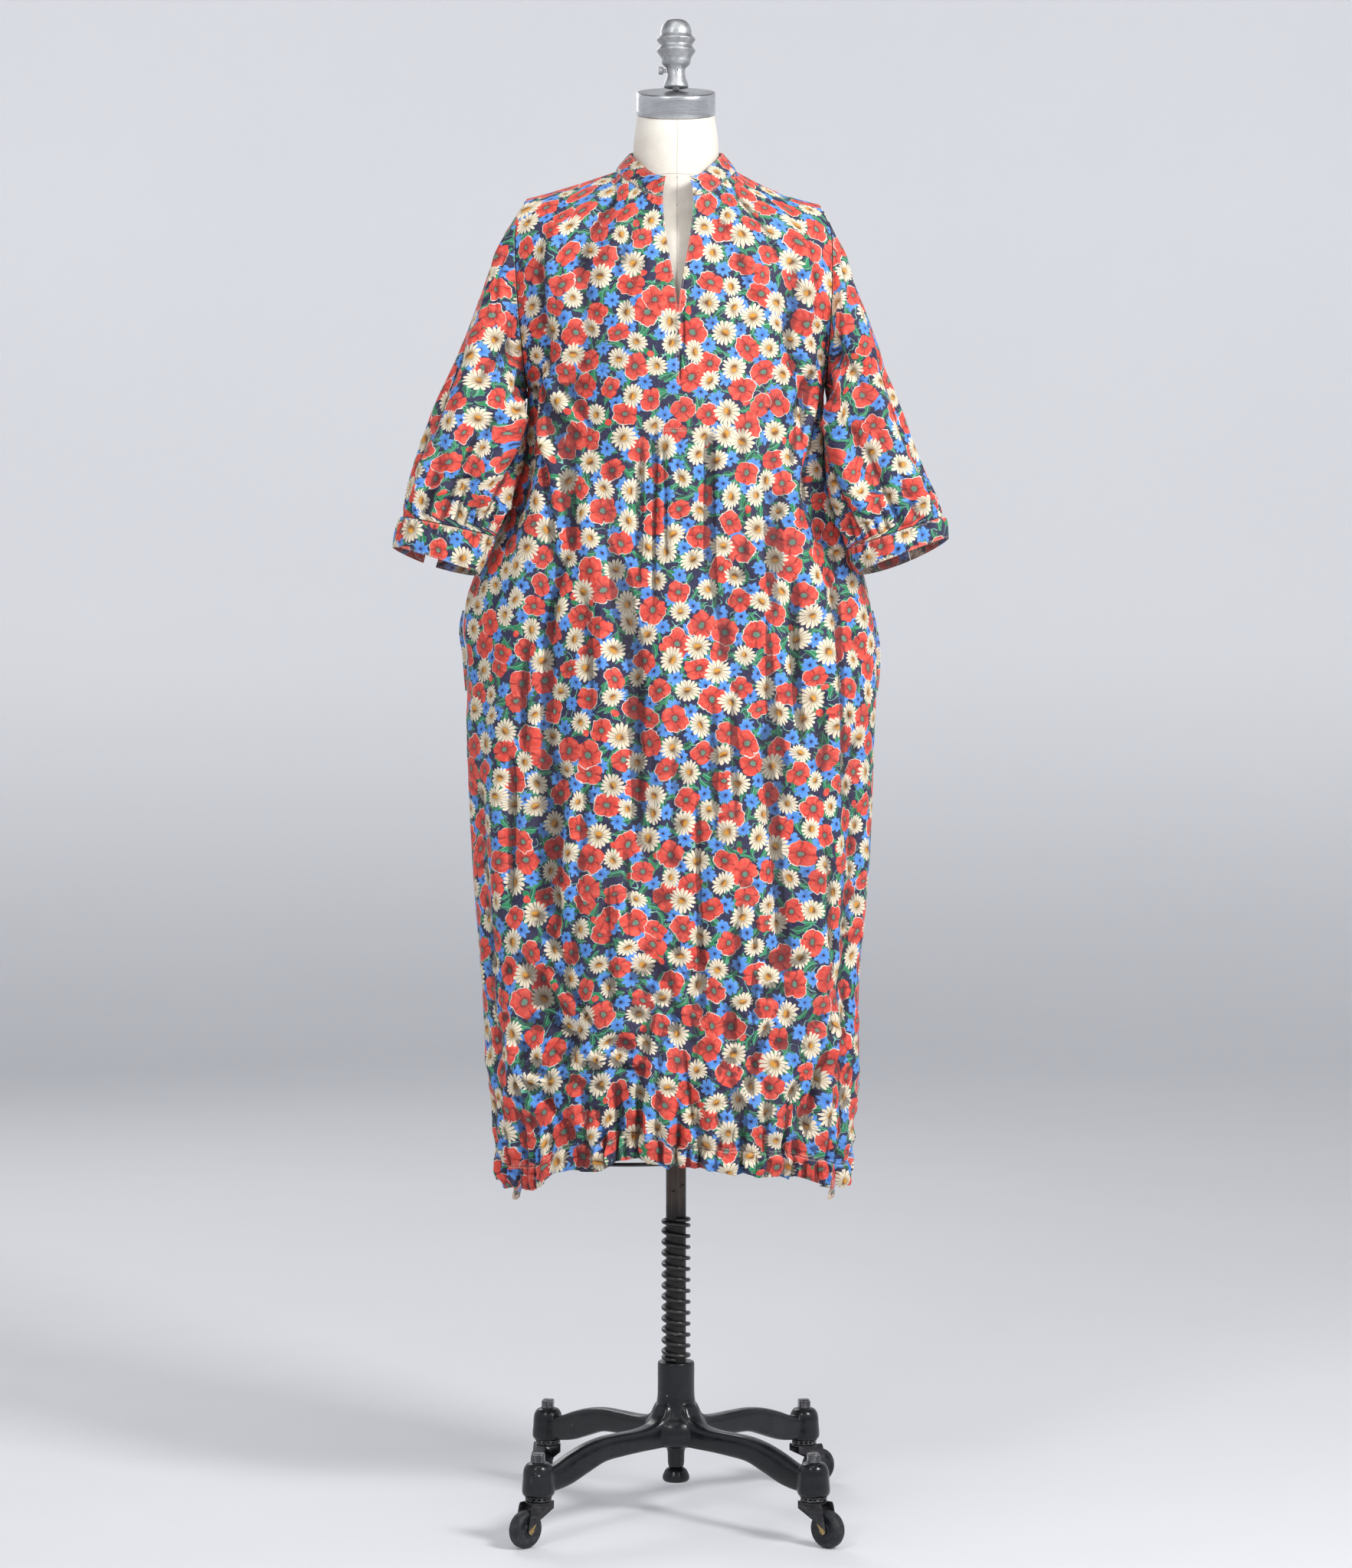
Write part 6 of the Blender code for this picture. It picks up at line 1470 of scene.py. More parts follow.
plainMetal = {"streak": 0.5, "chipFrom": 0.66, "metallic": 0.9, "relief": 0.6, "depth": 0.0003}
metalLooks = {
    "platedSteel": dict(
        base=(0.62, 0.63, 0.64), second=(0.5, 0.51, 0.53), worn=(0.74, 0.75, 0.76),
        chip=(0.3, 0.29, 0.28), grain=(30.0, 30.0, 900.0), cloud=34.0, chipScale=120.0, chipFrom=0.7,
        roughness=(0.2, 0.38), metallic=1.0, relief=0.5, depth=0.0004),
    "castAluminium": dict(
        base=(0.46, 0.47, 0.48), second=(0.33, 0.34, 0.35), worn=(0.62, 0.63, 0.64),
        chip=(0.16, 0.16, 0.17), grain=(90.0, 90.0, 90.0), cloud=150.0, streak=0.6, chipScale=210.0,
        roughness=(0.34, 0.55), metallic=0.92, relief=1.0, depth=0.0007),
    "brownSteel": dict(
        base=(0.066, 0.046, 0.036), second=(0.038, 0.027, 0.023), worn=(0.15, 0.112, 0.088),
        chip=(0.018, 0.014, 0.013), grain=(420.0, 420.0, 5.0), cloud=22.0, streak=0.7, chipScale=60.0,
        chipFrom=0.64, roughness=(0.34, 0.58), metallic=0.35, relief=0.7, depth=0.0005,
        blackBelow=(0.402, 0.372, 0.0, 0.88)),
    "blackWire": dict(
        base=(0.01, 0.01, 0.011), second=(0.017, 0.016, 0.016), worn=(0.04, 0.038, 0.036),
        chip=(0.115, 0.1, 0.088), grain=(60.0, 60.0, 60.0), cloud=70.0, streak=0.3, chipScale=95.0,
        roughness=(0.26, 0.44), metallic=0.2, depth=0.0004, coat=0.25),
    "blackEnamel": dict(
        base=(0.005, 0.0062, 0.0078), second=(0.0085, 0.0098, 0.0118), worn=(0.018, 0.019, 0.021),
        chip=(0.15, 0.14, 0.13), grain=(18.0, 18.0, 18.0), cloud=46.0, streak=0.3, chipScale=62.0,
        chipFrom=0.715, roughness=(0.2, 0.36), metallic=0.0, specular=0.28, relief=1.0, depth=0.001,
        coat=0.16),
    "boltSteel": dict(
        base=(0.09, 0.09, 0.094), second=(0.045, 0.045, 0.048), worn=(0.42, 0.42, 0.42),
        chip=(0.1, 0.09, 0.08), grain=(300.0, 60.0, 60.0), cloud=110.0, chipScale=170.0,
        roughness=(0.18, 0.34)),
    "darkSteel": dict(
        base=(0.05, 0.05, 0.054), second=(0.03, 0.03, 0.033), worn=(0.13, 0.126, 0.122),
        chip=(0.06, 0.045, 0.036), grain=(60.0, 60.0, 260.0), cloud=90.0, streak=0.6, chipScale=160.0,
        roughness=(0.3, 0.5), metallic=0.85),
    "brass": dict(
        base=(0.46, 0.32, 0.13), second=(0.33, 0.22, 0.09), worn=(0.62, 0.46, 0.22),
        chip=(0.14, 0.1, 0.06), grain=(200.0, 200.0, 200.0), cloud=120.0, chipScale=200.0,
        roughness=(0.28, 0.44), metallic=1.0, relief=0.5),
    "hardRubber": dict(
        base=(0.011, 0.013, 0.016), second=(0.018, 0.02, 0.023), worn=(0.075, 0.074, 0.072),
        chip=(0.1, 0.096, 0.09), grain=(120.0, 120.0, 120.0), cloud=60.0, chipScale=150.0,
        roughness=(0.48, 0.68), metallic=0.0, specular=0.35, relief=0.8, depth=0.0004),
}
canvasCover = canvasMaterial()
metals = {name: metalMaterial(name, {**plainMetal, **spec}) for name, spec in metalLooks.items()}
print("canvas and metal materials made")


# ---- small tools for turned, swept and cast pieces
def tubeFaces(rows, sides, closedPath=False, start=0):
    ring = np.arange(sides)
    faces = []
    for row in range(rows if closedPath else rows - 1):
        a, b = row * sides, ((row + 1) % rows) * sides
        following = (ring + 1) % sides
        faces += np.stack([a + ring, b + ring, b + following, a + following], axis=1).tolist()
    if not closedPath:
        faces.append(list(range(sides)))
        faces.append([(rows - 1) * sides + k for k in reversed(range(sides))])
    return [[start + index for index in face] for face in faces]


def turnedRings(outline, sides, ripple=None):
    # an outline of (radius, height) turned about the upright axis
    turn = turnsOf(sides)
    rings = np.array([[(r * math.cos(a), r * math.sin(a), z) for a in turn] for r, z in outline])
    if ripple:
        rings[..., :2] *= 1 + ripple(turn)[None, :, None]
    return rings


def laidOver(rings):
    # the upright axis turned to point forward
    return stacked(rings[..., 0], -rings[..., 2], rings[..., 1])


def mirrored(outline):
    # the lower half of an outline, from its upper half
    return outline + [(r, -z) for r, z in reversed(outline)]


def solidOf(name, parts):
    # several closed parts as one mesh
    points, faces = [], []
    for rings, loop in parts:
        count, sides = rings.shape[:2]
        faces += tubeFaces(count, sides, loop, len(points))
        points += rings.reshape(-1, 3).tolist()
    mesh = bpy.data.meshes.new(name)
    mesh.from_pydata(points, [], faces)
    mesh.validate()
    shape = bmesh.new()
    shape.from_mesh(mesh)
    bmesh.ops.remove_doubles(shape, verts=shape.verts, dist=1e-7)
    bmesh.ops.recalc_face_normals(shape, faces=shape.faces)
    shape.to_mesh(mesh)
    shape.free()
    return mesh


def addSolid(name, parts, metal, node, body, place=Matrix.Identity(4), second=None):
    mesh = solidOf(name, parts)
    mesh.materials.append(canvasCover if metal == "canvas" else metals[metal])
    if second is not None:
        # faces of a second metal, by where their middle lies
        mesh.materials.append(metals[second[0]])
        for face in mesh.polygons:
            face.material_index = int(second[1](face.center))
    mesh.transform(place)
    placePiece(name, mesh, node, body, 40)


def sweptRings(path, radius, sides):
    # a round wire along a path of points
    path = np.asarray(path, float)
    along = np.gradient(path, axis=0)
    along /= np.linalg.norm(along, axis=1, keepdims=True)
    up = np.array([0.0, 0.0, 1.0]) if abs(along[0, 2]) < 0.9 else np.array([1.0, 0.0, 0.0])
    sideways = np.cross(along, up)
    sideways /= np.linalg.norm(sideways, axis=1, keepdims=True)
    upward = np.cross(sideways, along)
    turn = turnsOf(sides)
    ring = sideways[:, None] * np.cos(turn)[:, None] + upward[:, None] * np.sin(turn)[:, None]
    return path[:, None] + ring * radius


# ---- the form under the dress
# rings: height, half width, depth in front and behind
torsoForm = {
    "body": millimetres((
        (930, 150, 98, 100), (1000, 164, 106, 110), (1080, 168, 108, 113), (1180, 144, 96, 95),
        (1270, 120, 90, 76), (1360, 135, 102, 82), (1440, 148, 113, 90), (1520, 156, 104, 92),
        (1580, 160, 86, 80),
    )),
    "shoulders": millimetres((
        (1600, 156, 72, 70), (1618, 115, 68, 64), (1633, 75, 67, 59),
    )),
    "neck": millimetres((
        (1672, 56.5, 62, 58), (1695, 53.2, 57, 56.6), (1712, 52, 53, 56.8),
    )),
    "shoulderEdge": 8, "clearance": 0.008, "sides": 144, "topRadius": 0.0478, "topDrop": 0.0144,
    "bore": 0.0169, "boreTop": 1.01,
}
neckCap = {"radius": 0.0488, "height": 0.028, "tilt": math.radians(15), "centre": 1.7575}


def torsoRing(half, front, back, leftZ, rightZ, middleZ, ridge):
    turn = turnsOf(torsoForm["sides"])
    aside, ahead = np.sin(turn), np.cos(turn)
    depth = ridge - np.where(ahead > 0, front + ridge, back - ridge) * ahead
    sideZ = np.where(aside < 0, leftZ, rightZ)
    rise = np.abs(aside) ** torsoForm["shoulderEdge"]
    return stacked(half * aside, depth, middleZ + (sideZ - middleZ) * rise)


def buildTorso():
    rings = [torsoRing(half, front, back, z, z, z, 0.0) for z, half, front, back in torsoForm["body"]]
    for z, half, front, back in torsoForm["shoulders"]:
        heights = []
        for side in sides.values():
            fall = (side["neckZ"] - side["tipZ"]) / (side["tipX"] - dress["neckHalf"])
            heights.append(side["neckZ"] - fall * (half - dress["neckHalf"]) - torsoForm["clearance"])
        rings.append(torsoRing(half, front, back, *heights, z, dress["shoulderY"]))
    rings += [torsoRing(half, front, back, z, z, z, 0.0) for z, half, front, back in torsoForm["neck"]]
    turn = turnsOf(torsoForm["sides"])
    tilt = Matrix.Rotation(neckCap["tilt"], 3, "X")
    radius = torsoForm["topRadius"]
    top = [tilt @ Vector((radius * math.sin(a), -radius * math.cos(a), -torsoForm["topDrop"])) for a in turn]
    rings.append(np.array([tuple(point + Vector((0, 0, neckCap["centre"]))) for point in top]))
    fine = between(rings, 9)
    # the rim rolls in, and a bore takes the tube
    bore, rim = torsoForm["bore"], torsoForm["body"][0][0]
    hollow = ((bore, torsoForm["boreTop"]), (bore, rim), (bore + 0.02, rim))
    hollow = [torsoRing(radius, radius, radius, z, z, z, 0.0) for radius, z in hollow]
    body = np.concatenate([hollow, [rings[0] * np.array([0.975, 0.975, 1.0])], fine])
    addSolid("canvasForm", [(body, False)], "canvas", "form_torso", "form")


buildTorso()

# two dressmaker's pins in the seam of the neck
pins = {"x": 0.0014, "heights": (1.6585, 1.6245), "radius": 0.001}


def ballRings(radius, steps, least):
    turns = [math.pi * k / steps for k in range(steps + 1)]
    return turnedRings([(radius * math.sin(a) + least, radius * math.cos(a)) for a in turns], 16)


def buildPins():
    parts = []
    for height in pins["heights"]:
        depth = np.interp(height, (1.618, 1.633, 1.672), (0.068, 0.067, 0.062))
        ball = ballRings(pins["radius"], 8, 1e-5)
        parts.append((ball + np.array([pins["x"], -depth - 0.0002, height]), False))
    addSolid("neckPins", parts, "platedSteel", None, "form")


buildPins()


def buildCap():
    r, half = neckCap["radius"], neckCap["height"] / 2
    outline = [
        (0.0004, half), (0.01, half), (0.018, half + 0.0001), (r - 0.006, half), (r - 0.0018, half - 0.0001),
        (r - 0.0007, half - 0.0005), (r, half - 0.0016), (r, half - 0.006), (r, -half + 0.006),
        (r, -half + 0.0012), (r - 0.0005, -half + 0.0003), (r - 0.0014, -half), (r - 0.01, -half),
        (0.0004, -half),
    ]
    place = Matrix.Translation((0, 0, neckCap["centre"])) @ Matrix.Rotation(neckCap["tilt"], 4, "X")
    cap = [(turnedRings(outline, 128), False)]
    addSolid("steelCap", cap, "platedSteel", "neck_cap", "form", place)


buildCap()

# radius and height, from the top down
finialForm = millimetres((
    (0.4, 1860.6), (6, 1860.4), (11.5, 1859), (16.3, 1854.5), (19, 1847.5), (19.7, 1841.5), (23.8, 1836.8),
    (23.8, 1835.2), (20.2, 1830), (20.2, 1827.8), (23.8, 1822.9), (23.6, 1821), (19, 1814), (17.2, 1806),
    (11.8, 1800.5), (11.2, 1795), (11.8, 1790), (15.1, 1780), (14.8, 1776.8), (4.5, 1776.6), (4.5, 1773.8),
    (0.4, 1773.8),
))
screwForm = millimetres((
    (0.3, 21.6), (3, 21.6), (4, 21.4), (4.6, 20.6), (4.6, 16.6), (4, 16), (2.2, 15.6), (2.2, 12.1),
    (0.3, 12.1),
))


def knurl(turn):
    return 0.035 * np.abs(np.cos(11 * turn))


def buildFinial():
    finial = [(turnedRings(between(finialForm, 5), 96), False)]
    addSolid("castFinial", finial, "castAluminium", "finial", "form")
    screw = [(turnedRings(screwForm, 88, ripple=knurl), False)]
    place = Matrix.Translation((0, 0, 1.7975)) @ Matrix.Rotation(-math.pi / 2, 4, "Y")
    addSolid("finialScrew", screw, "castAluminium", "thumb_screw", "form", place)


buildFinial()

poleForm = {"radius": 0.0125, "foot": 0.1, "top": 1.18, "tubeWall": 0.003, "tubeGap": 0.0004,
            "tubeTop": 1.31, "tubeFoot": 0.56}


def buildPole():
    r, foot, top = poleForm["radius"], poleForm["foot"], poleForm["top"]
    outline = [(0.0004, top), (r - 0.001, top), (r, top - 0.001)]
    outline += [(r, z) for z in spread(top - 0.01, foot + 0.004, 30)] + [(r, foot), (0.0004, foot)]
    addSolid("brownPole", [(turnedRings(outline, 72), False)], "brownSteel", "pole", "base")
    inner = r + poleForm["tubeGap"]
    outer = inner + poleForm["tubeWall"]
    foot, top = poleForm["tubeFoot"], poleForm["tubeTop"]
    outline = [(inner + 0.0004, top), (outer - 0.0004, top), (outer, top - 0.0004)]
    outline += [(outer, z) for z in spread(top - 0.01, foot + 0.01, 20)]
    outline += [(outer, foot + 0.0006), (outer - 0.0006, foot)]
    outline += [(inner + 0.0006, foot), (inner, foot + 0.0006)]
    outline += [(inner, top - 0.0004), (inner + 0.0004, top)]
    tube = [(turnedRings(outline, 72), True)]
    addSolid("slidingTube", tube, "platedSteel", "form_tube", "form")


buildPole()

cage = {"radius": 0.125, "height": 0.447, "wire": 0.0024, "pitch": math.radians(-4),
        "roll": math.radians(-2), "wires": 4, "thin": 0.0018, "topRadius": 0.085, "bow": 0.012,
        "torsoFoot": 0.93}


def hoopPoint(turn, lift=0.0):
    tilt = Matrix.Rotation(cage["pitch"], 3, "X") @ Matrix.Rotation(cage["roll"], 3, "Y")
    flat = Vector((cage["radius"] * math.sin(turn), -cage["radius"] * math.cos(turn), lift))
    return tilt @ flat + Vector((0, 0, cage["height"]))


def buildCage():
    steps = 180
    path = np.array([tuple(hoopPoint(fullTurn * k / steps)) for k in range(steps)])
    rings = sweptRings(np.concatenate([path[-1:], path, path[:1]]), cage["wire"], 14)[1:-1]
    addSolid("wireHoop", [(rings, True)], "blackWire", "cage_hoop", "form")
    for number in range(1, cage["wires"] + 1):
        turn = fullTurn * (number - 0.5) / cage["wires"]
        outward = Vector((math.sin(turn), -math.cos(turn), 0))
        foot = hoopPoint(turn, cage["wire"] + 0.0004)
        head = outward * cage["topRadius"] + Vector((0, 0, cage["torsoFoot"] - 0.0004))
        path = [foot.lerp(head, s) + outward * cage["bow"] * math.sin(math.pi * s) for s in spread(0, 1, 48)]
        wire = [(sweptRings([tuple(point) for point in path], cage["thin"], 12), False)]
        addSolid(f"cageWire{number}", wire, "blackWire", f"cage_wire_{number}", "form")


buildCage()
print("form made")

# ---- the stand
springForm = {"wire": 0.0027, "radius": 0.0157, "turns": 12, "closed": 1, "hubTop": 0.1925, "top": 0.3745}


def buildSpring():
    wire, closed = springForm["wire"], springForm["closed"]
    low, high = springForm["hubTop"] + wire + 0.0004, springForm["top"] - wire
    shut = 2 * wire + 0.0003
    turns = springForm["turns"] + 2 * closed
    pitch = (high - low - 2 * closed * shut) / springForm["turns"]
    place = np.linspace(0, turns, turns * 30 + 1)
    rise = shut * np.minimum(place, closed)
    rise += pitch * np.clip(place - closed, 0, springForm["turns"])
    rise += shut * np.maximum(place - closed - springForm["turns"], 0)
    turn = -fullTurn * place
    path = stacked(
        np.sin(turn) * springForm["radius"], -np.cos(turn) * springForm["radius"], low + rise,
    )
    coil = [(sweptRings(path, wire, 14), False)]
    addSolid("coilSpring", coil, "blackWire", "spring", "base")


buildSpring()

casterX, casterY = 0.166, 0.17
casters = {"front_left": (-1, -1, -0.69, -0.72), "front_right": (1, -1, 0.75, -0.66),
           "rear_left": (-1, 1, -0.4, 0.92), "rear_right": (1, 1, 0.85, 0.53)}
baseForm = {
    "hub": millimetres((
        (0.4, 192.5), (19, 192.5), (21.5, 192.5), (23, 190.5), (23, 160), (24.2, 142), (29, 128),
        (37.2, 118), (40.5, 108), (39.5, 96), (33, 89.5), (24, 87), (12.2, 84), (9.2, 59), (0.4, 59),
    )),
    "boss": millimetres((
        (0.4, 100.5), (9.5, 100.5), (14.5, 98.3), (18, 91.5), (19, 80), (18.6, 61), (0.4, 61),
    )),
    # reach, top, underside, half width
    "leg": millimetres((
        (10, 145, 88, 15), (25.5, 141, 88, 14.5), (35, 126.5, 88, 13.8), (48, 119, 88, 12.8),
        (70, 116, 88, 11.8), (100, 116, 87.2, 10.8), (130, 115.5, 85, 10.2), (158, 111.5, 76, 9.8),
        (186, 103.5, 66.5, 9.5), (210, 94.5, 62.5, 9.2), (237.6, 88, 61.5, 9),
    )),
    "screw": millimetres((
        (0.4, 1.6), (5, 1.6), (6.2, 0.4), (6.2, -8), (0.4, -8),
    )),
    "voxel": 0.0014, "soften": 4,
}


def rounded(value, power):
    return np.sign(value) * np.abs(value) ** power


def legRings(signX, signY):
    reach = math.hypot(casterX, casterY)
    outward = np.array([signX * casterX / reach, signY * casterY / reach, 0.0])
    sideways = np.array([-outward[1], outward[0], 0.0])
    upward = np.array([0, 0, 1.0])
    # a rounded section, fuller above than below
    turn = turnsOf(32)
    rings = []
    for distance, top, bottom, half in baseForm["leg"]:
        across = half * rounded(np.cos(turn), 0.52)
        height = (top + bottom) / 2 + (top - bottom) / 2 * rounded(np.sin(turn), 0.6)
        rings.append(outward * distance + sideways * across[:, None] + upward * height[:, None])
    return between(rings, 6)


def buildBase():
    parts = [(turnedRings(between(baseForm["hub"], 4), 72), False)]
    for signX, signY, _, _ in casters.values():
        parts.append((legRings(signX, signY), False))
        boss = turnedRings(between(baseForm["boss"], 4), 56)
        parts.append((boss + np.array([signX * casterX, signY * casterY, 0]), False))
    screw = laidOver(turnedRings(baseForm["screw"], 40))
    parts.append((screw + np.array([-casterX - 0.002, -casterY - 0.019, 0.083]), False))
    rough = bpy.data.objects.new("baseRough", solidOf("baseRough", parts))
    scene.collection.objects.link(rough)
    # one skin over all the parts, softened as a casting is
    remesh = rough.modifiers.new("remesh", "REMESH")
    remesh.mode = "VOXEL"
    remesh.voxel_size = baseForm["voxel"]
    soften = rough.modifiers.new("soften", "SMOOTH")
    soften.iterations = baseForm["soften"]
    soften.factor = 0.5
    evaluated = rough.evaluated_get(bpy.context.evaluated_depsgraph_get())
    cast = bpy.data.meshes.new_from_object(evaluated)
    bpy.data.objects.remove(rough, do_unlink=True)
    cast.name = "enamelledBase"
    cast.materials.clear()
    cast.materials.append(metals["blackEnamel"])
    placePiece("enamelledBase", cast, "base_casting", "base", 180)


buildBase()

footForm = millimetres((
    (0.4, 58.5), (8, 58.5), (10, 58.3), (13, 56), (15.2, 52), (16.8, 48), (16.8, 45), (16.2, 43.2),
    (14, 41.5), (0.4, 41.5),
))
foot = [(turnedRings(between(footForm, 4), 72), False)]
addSolid("centreFoot", foot, "blackEnamel", "centre_foot", "base")

casterForm = {
    "boltHalf": 0.00725, "boltFoot": 0.1009, "boltTop": 0.1115, "boltTurn": math.radians(8),
    "raceTop": 0.0606, "raceFoot": 0.0544, "raceRadius": 0.0168, "ball": 0.0019, "balls": 15,
    "plateTop": 0.054, "plateWall": 0.0022, "plateRadius": 0.0165, "trail": 0.022, "axle": 0.022651,
    "wheelWidth": 0.018, "wheelHalf": 0.0086, "forkGap": 0.001, "forkWall": 0.0018, "tip": 0.0058,
    "wheelRadius": 0.02262,
}


def buildBolt(name, place):
    half, foot, top = casterForm["boltHalf"], casterForm["boltFoot"], casterForm["boltTop"]
    turn = turnsOf(64)
    square = stacked(rounded(np.cos(turn), 0.16), rounded(np.sin(turn), 0.16))
    rings = []
    for width, height in ((0.05, foot), (1.0, foot), (1.0, top - 0.0026), (0.97, top - 0.0012),
                          (0.86, top - 0.0003), (0.6, top), (0.05, top)):
        rings.append(np.concatenate([square * half * width, np.full((64, 1), height)], axis=1))
    head = [(np.array(rings), False)]
    addSolid(f"bolt_{name}_head", head, "boltSteel", f"bolt_{name}", "base", place)


def buildRace(name, place):
    r, top, foot = casterForm["raceRadius"], casterForm["raceTop"], casterForm["raceFoot"]
    middle = (top + foot) / 2
    upper = [(r - 0.0035, top), (r - 0.001, top - 0.0002), (r, top - 0.001), (r, top - 0.0016),
             (r - 0.0009, top - 0.0021), (r - 0.005, top - 0.0021), (0.006, top - 0.0021), (0.006, top)]
    lower = [(0.006, foot + 0.0021), (r - 0.005, foot + 0.0021), (r - 0.0012, foot + 0.0021),
             (r - 0.0008, foot + 0.0016), (r - 0.0012, foot + 0.0004), (r - 0.004, foot), (0.006, foot)]
    parts = [(turnedRings(upper, 72), True), (turnedRings(lower, 72), True)]
    ball, around = ballRings(casterForm["ball"], 10, 1e-6), r - 0.0028
    for k in range(casterForm["balls"]):
        turn = fullTurn * k / casterForm["balls"]
        parts.append((ball + np.array([around * math.cos(turn), around * math.sin(turn), middle]), False))
    addSolid(f"race_{name}_balls", parts, "boltSteel", f"race_{name}", f"caster_{name}", place)


def plateRings(offset):
    # one side of the fork: a plate in the plane of the trail, its rim bent over a little
    trail, axle, tip = casterForm["trail"], casterForm["axle"], casterForm["tip"]
    top = casterForm["plateTop"] - 0.0004
    outline = [(-0.015, 0.0446), (-0.0152, 0.049), (-0.015, top), (0.0, top), (0.02, top), (0.0218, 0.05)]
    for step in range(13):
        turn = math.radians(25 - 205 * step / 12)
        outline.append((trail + tip * math.cos(turn), axle + tip * math.sin(turn)))
    outline += [(0.009, 0.033), (-0.004, 0.042)]
    flat = np.array(outline)
    centre = flat.mean(axis=0)
    wall = casterForm["forkWall"]
    rings = []
    for share, side in ((0.0, -0.5), (0.965, -0.5), (1.0, -0.32), (1.0, 0.32), (0.965, 0.5), (0.0, 0.5)):
        around = centre + (flat - centre) * max(share, 0.02)
        rings.append(stacked(around[:, 0], offset + side * wall, around[:, 1]))
    return np.array(rings)


def buildFork(name, place):
    trail, axleZ, forkWall = casterForm["trail"], casterForm["axle"], casterForm["forkWall"]
    side = casterForm["wheelWidth"] / 2 + casterForm["forkGap"] + forkWall / 2
    top, wall, r = casterForm["plateTop"], casterForm["plateWall"], casterForm["plateRadius"]
    disc = [(0.0004, top), (r - 0.0012, top), (r, top - 0.0006), (r, top - wall + 0.0004),
            (r - 0.0006, top - wall), (0.0004, top - wall)]
    half = side + forkWall / 2 + 0.0008
    # the axle's riveted ends
    axle = mirrored([(0.0004, half), (0.0022, half), (0.003, half - 0.0003), (0.0032, half - 0.0008)])
    axle = laidOver(turnedRings(axle, 40)) + np.array([trail, 0, axleZ])
    parts = [(part, False) for part in (turnedRings(disc, 72), plateRings(-side), plateRings(side), axle)]

    def isAxle(point):
        away = math.hypot(point.x - trail, point.z - axleZ)
        return away < 0.0034 and abs(point.y) > side + forkWall / 2 - 0.0001

    node, body = f"fork_{name}", f"caster_{name}"
    addSolid(f"fork_{name}_pressed", parts, "darkSteel", node, body, place, second=("brass", isAxle))


def buildWheel(name, place):
    r, half = casterForm["wheelRadius"], casterForm["wheelHalf"]
    # the bore, the hub's groove, the web and the tread: radius, and how far in from the side
    upper = millimetres((
        (3.6, 0.6), (6.6, 0.4), (7.2, 1.0), (7.8, 2.2), (13, 2.6), (15.2, 1.6), (16, 0.4), (18, 0),
        (19.8, 0.9), (21.2, 2.4),
    ))
    outline = [(radius, half - inset) for radius, inset in upper] + [(r - 0.0004, 0.0044), (r, 0.003)]
    wheel = [(laidOver(turnedRings(mirrored(outline), 112)), True)]
    addSolid(f"wheel_{name}_rubber", wheel, "hardRubber", f"wheel_{name}", f"wheel_{name}", place)


for name, (signX, signY, trailX, trailY) in casters.items():
    centre = Matrix.Translation((signX * casterX, signY * casterY, 0))
    trailing = centre @ Matrix.Rotation(math.atan2(trailY, trailX), 4, "Z")
    buildBolt(name, centre @ Matrix.Rotation(casterForm["boltTurn"] * signX, 4, "Z"))
    buildRace(name, centre)
    buildFork(name, trailing)
    buildWheel(name, trailing @ Matrix.Translation((casterForm["trail"], 0, casterForm["axle"])))
print("stand made")
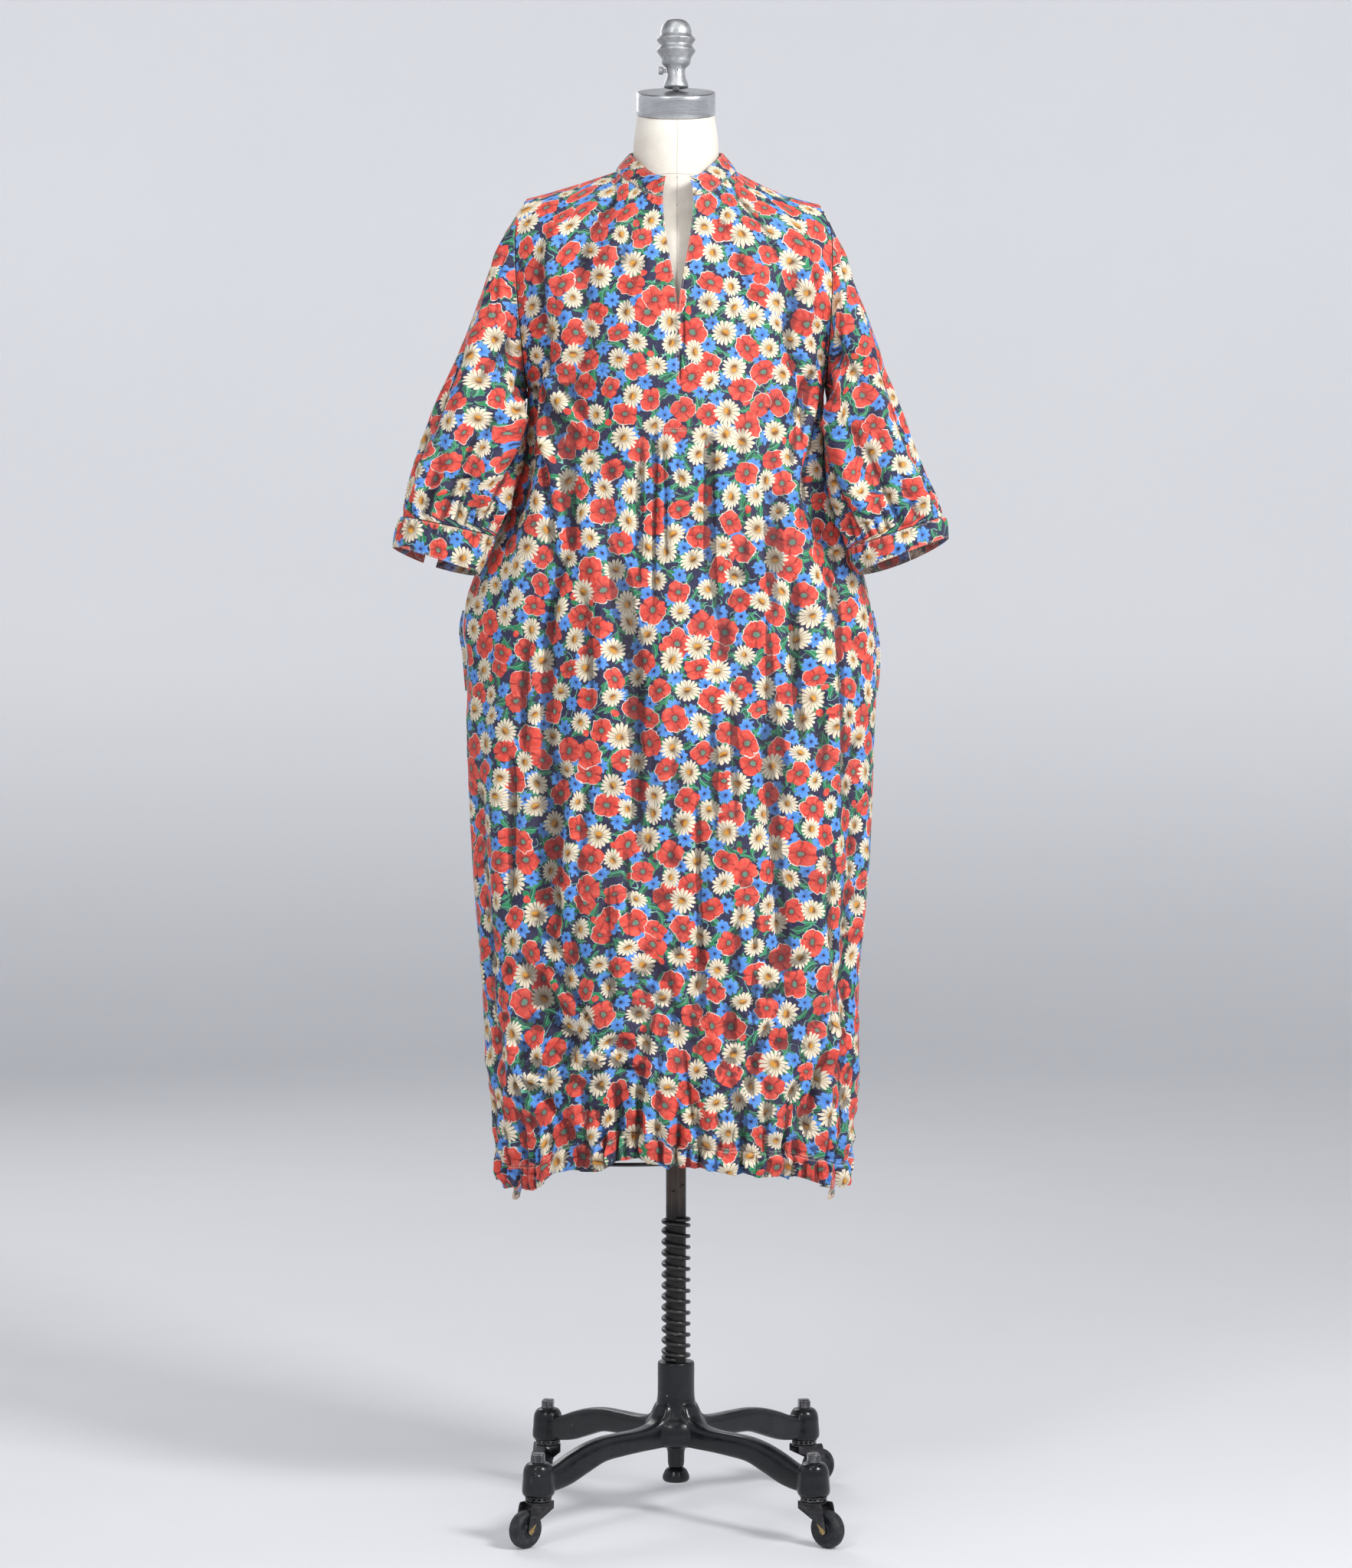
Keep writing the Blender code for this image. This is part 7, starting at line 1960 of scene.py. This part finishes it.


# ---- the studio: a pale sweep that glows as painted light, and soft lights
studio = {
    "floor": 5.6, "bend": 2.6, "top": 7.0,  # the sweep's radius, its bend and the wall's height
    "paintedGlow": (-0.4, 1.3, 0.02, 0.42),  # the paper's painted glow, from low on the wall to high: the strength below and above
    "paper": (0.7, 0.708, 0.735), "paperSecond": (0.715, 0.722, 0.748),
    "lights": {
        "keyLight": {"place": (2.3, -2.3, 3.0), "aim": (0, 0, 0.9), "size": 0.9, "power": 118},
        "fillLight": {"place": (-1.5, -3.0, 3.1), "aim": (0, 0, 0.9), "size": 0.8, "power": 26},
        "topLight": {"place": (0.2, -0.4, 3.9), "aim": (0, 0.2, 0.8), "size": 2.0, "power": 8},
        "rearLight": {"place": (-1.6, 3.4, 3.0), "aim": (0, 0, 0.9), "size": 1.6, "power": 34},
        "backdropLight": {"place": (-0.6, -1.6, 4.4), "aim": (0, 1.4, 1.6), "size": 2.6, "power": 24},
    },
    "air": (0.92, 0.95, 1.0), "airStrength": 0.17,
}


def sweepMaterial(spec):
    made, g, shader = newMaterial("sweepPaper")
    place = g.term("ShaderNodeTexCoord", output="Object")
    tone = g.ramp(g.noise(place, 0.9, 2.0), 0.3, 0.7)
    g.put(shader.inputs["Base Color"], g.mix(tone, spec["paper"], spec["paperSecond"]))
    g.put(shader.inputs["Roughness"], g.ramp(g.noise(place, 6.0), 0.3, 0.7, 0.62, 0.72))
    # painted light: the paper glows, faintly on the floor and more up the wall, standing in for light
    # bounced round the studio
    shader.inputs["Emission Color"].default_value = (*spec["paper"], 1.0)
    g.put(shader.inputs["Emission Strength"], g.ramp(g.split(place)[2], *spec["paintedGlow"]))
    return made


def buildStudio(spec):
    # a round floor that curves up into a wall all round, so that every side has the same backdrop
    reach, bend = spec["floor"], spec["bend"]
    outline = [(reach + bend * math.sin(a), bend * (1 - math.cos(a))) for a in spread(0, math.pi / 2, 21)]
    rings = turnedRings([*outline, (reach + bend, spec["top"])], 128)
    mesh = bpy.data.meshes.new("sweep")
    mesh.from_pydata(rings.reshape(-1, 3).tolist(), [], tubeFaces(*rings.shape[:2])[:-1])
    mesh.shade_smooth()
    mesh.materials.append(sweepMaterial(spec))
    floor = bpy.data.objects.new("sweep", mesh)
    scene.collection.objects.link(floor)
    for name, row in spec["lights"].items():
        data = bpy.data.lights.new(name, "AREA")
        data.shape = "SQUARE"
        data.size = row["size"]
        data.energy = row["power"]
        standAndAim(bpy.data.objects.new(name, data), row)
    world = bpy.data.worlds.new("studioAir")
    world.use_nodes = True
    air = world.node_tree.nodes["Background"]
    air.inputs["Color"].default_value = (*spec["air"], 1.0)
    air.inputs["Strength"].default_value = spec["airStrength"]
    scene.world = world


buildStudio(studio)
print("studio lit")

bpy.context.view_layer.update()
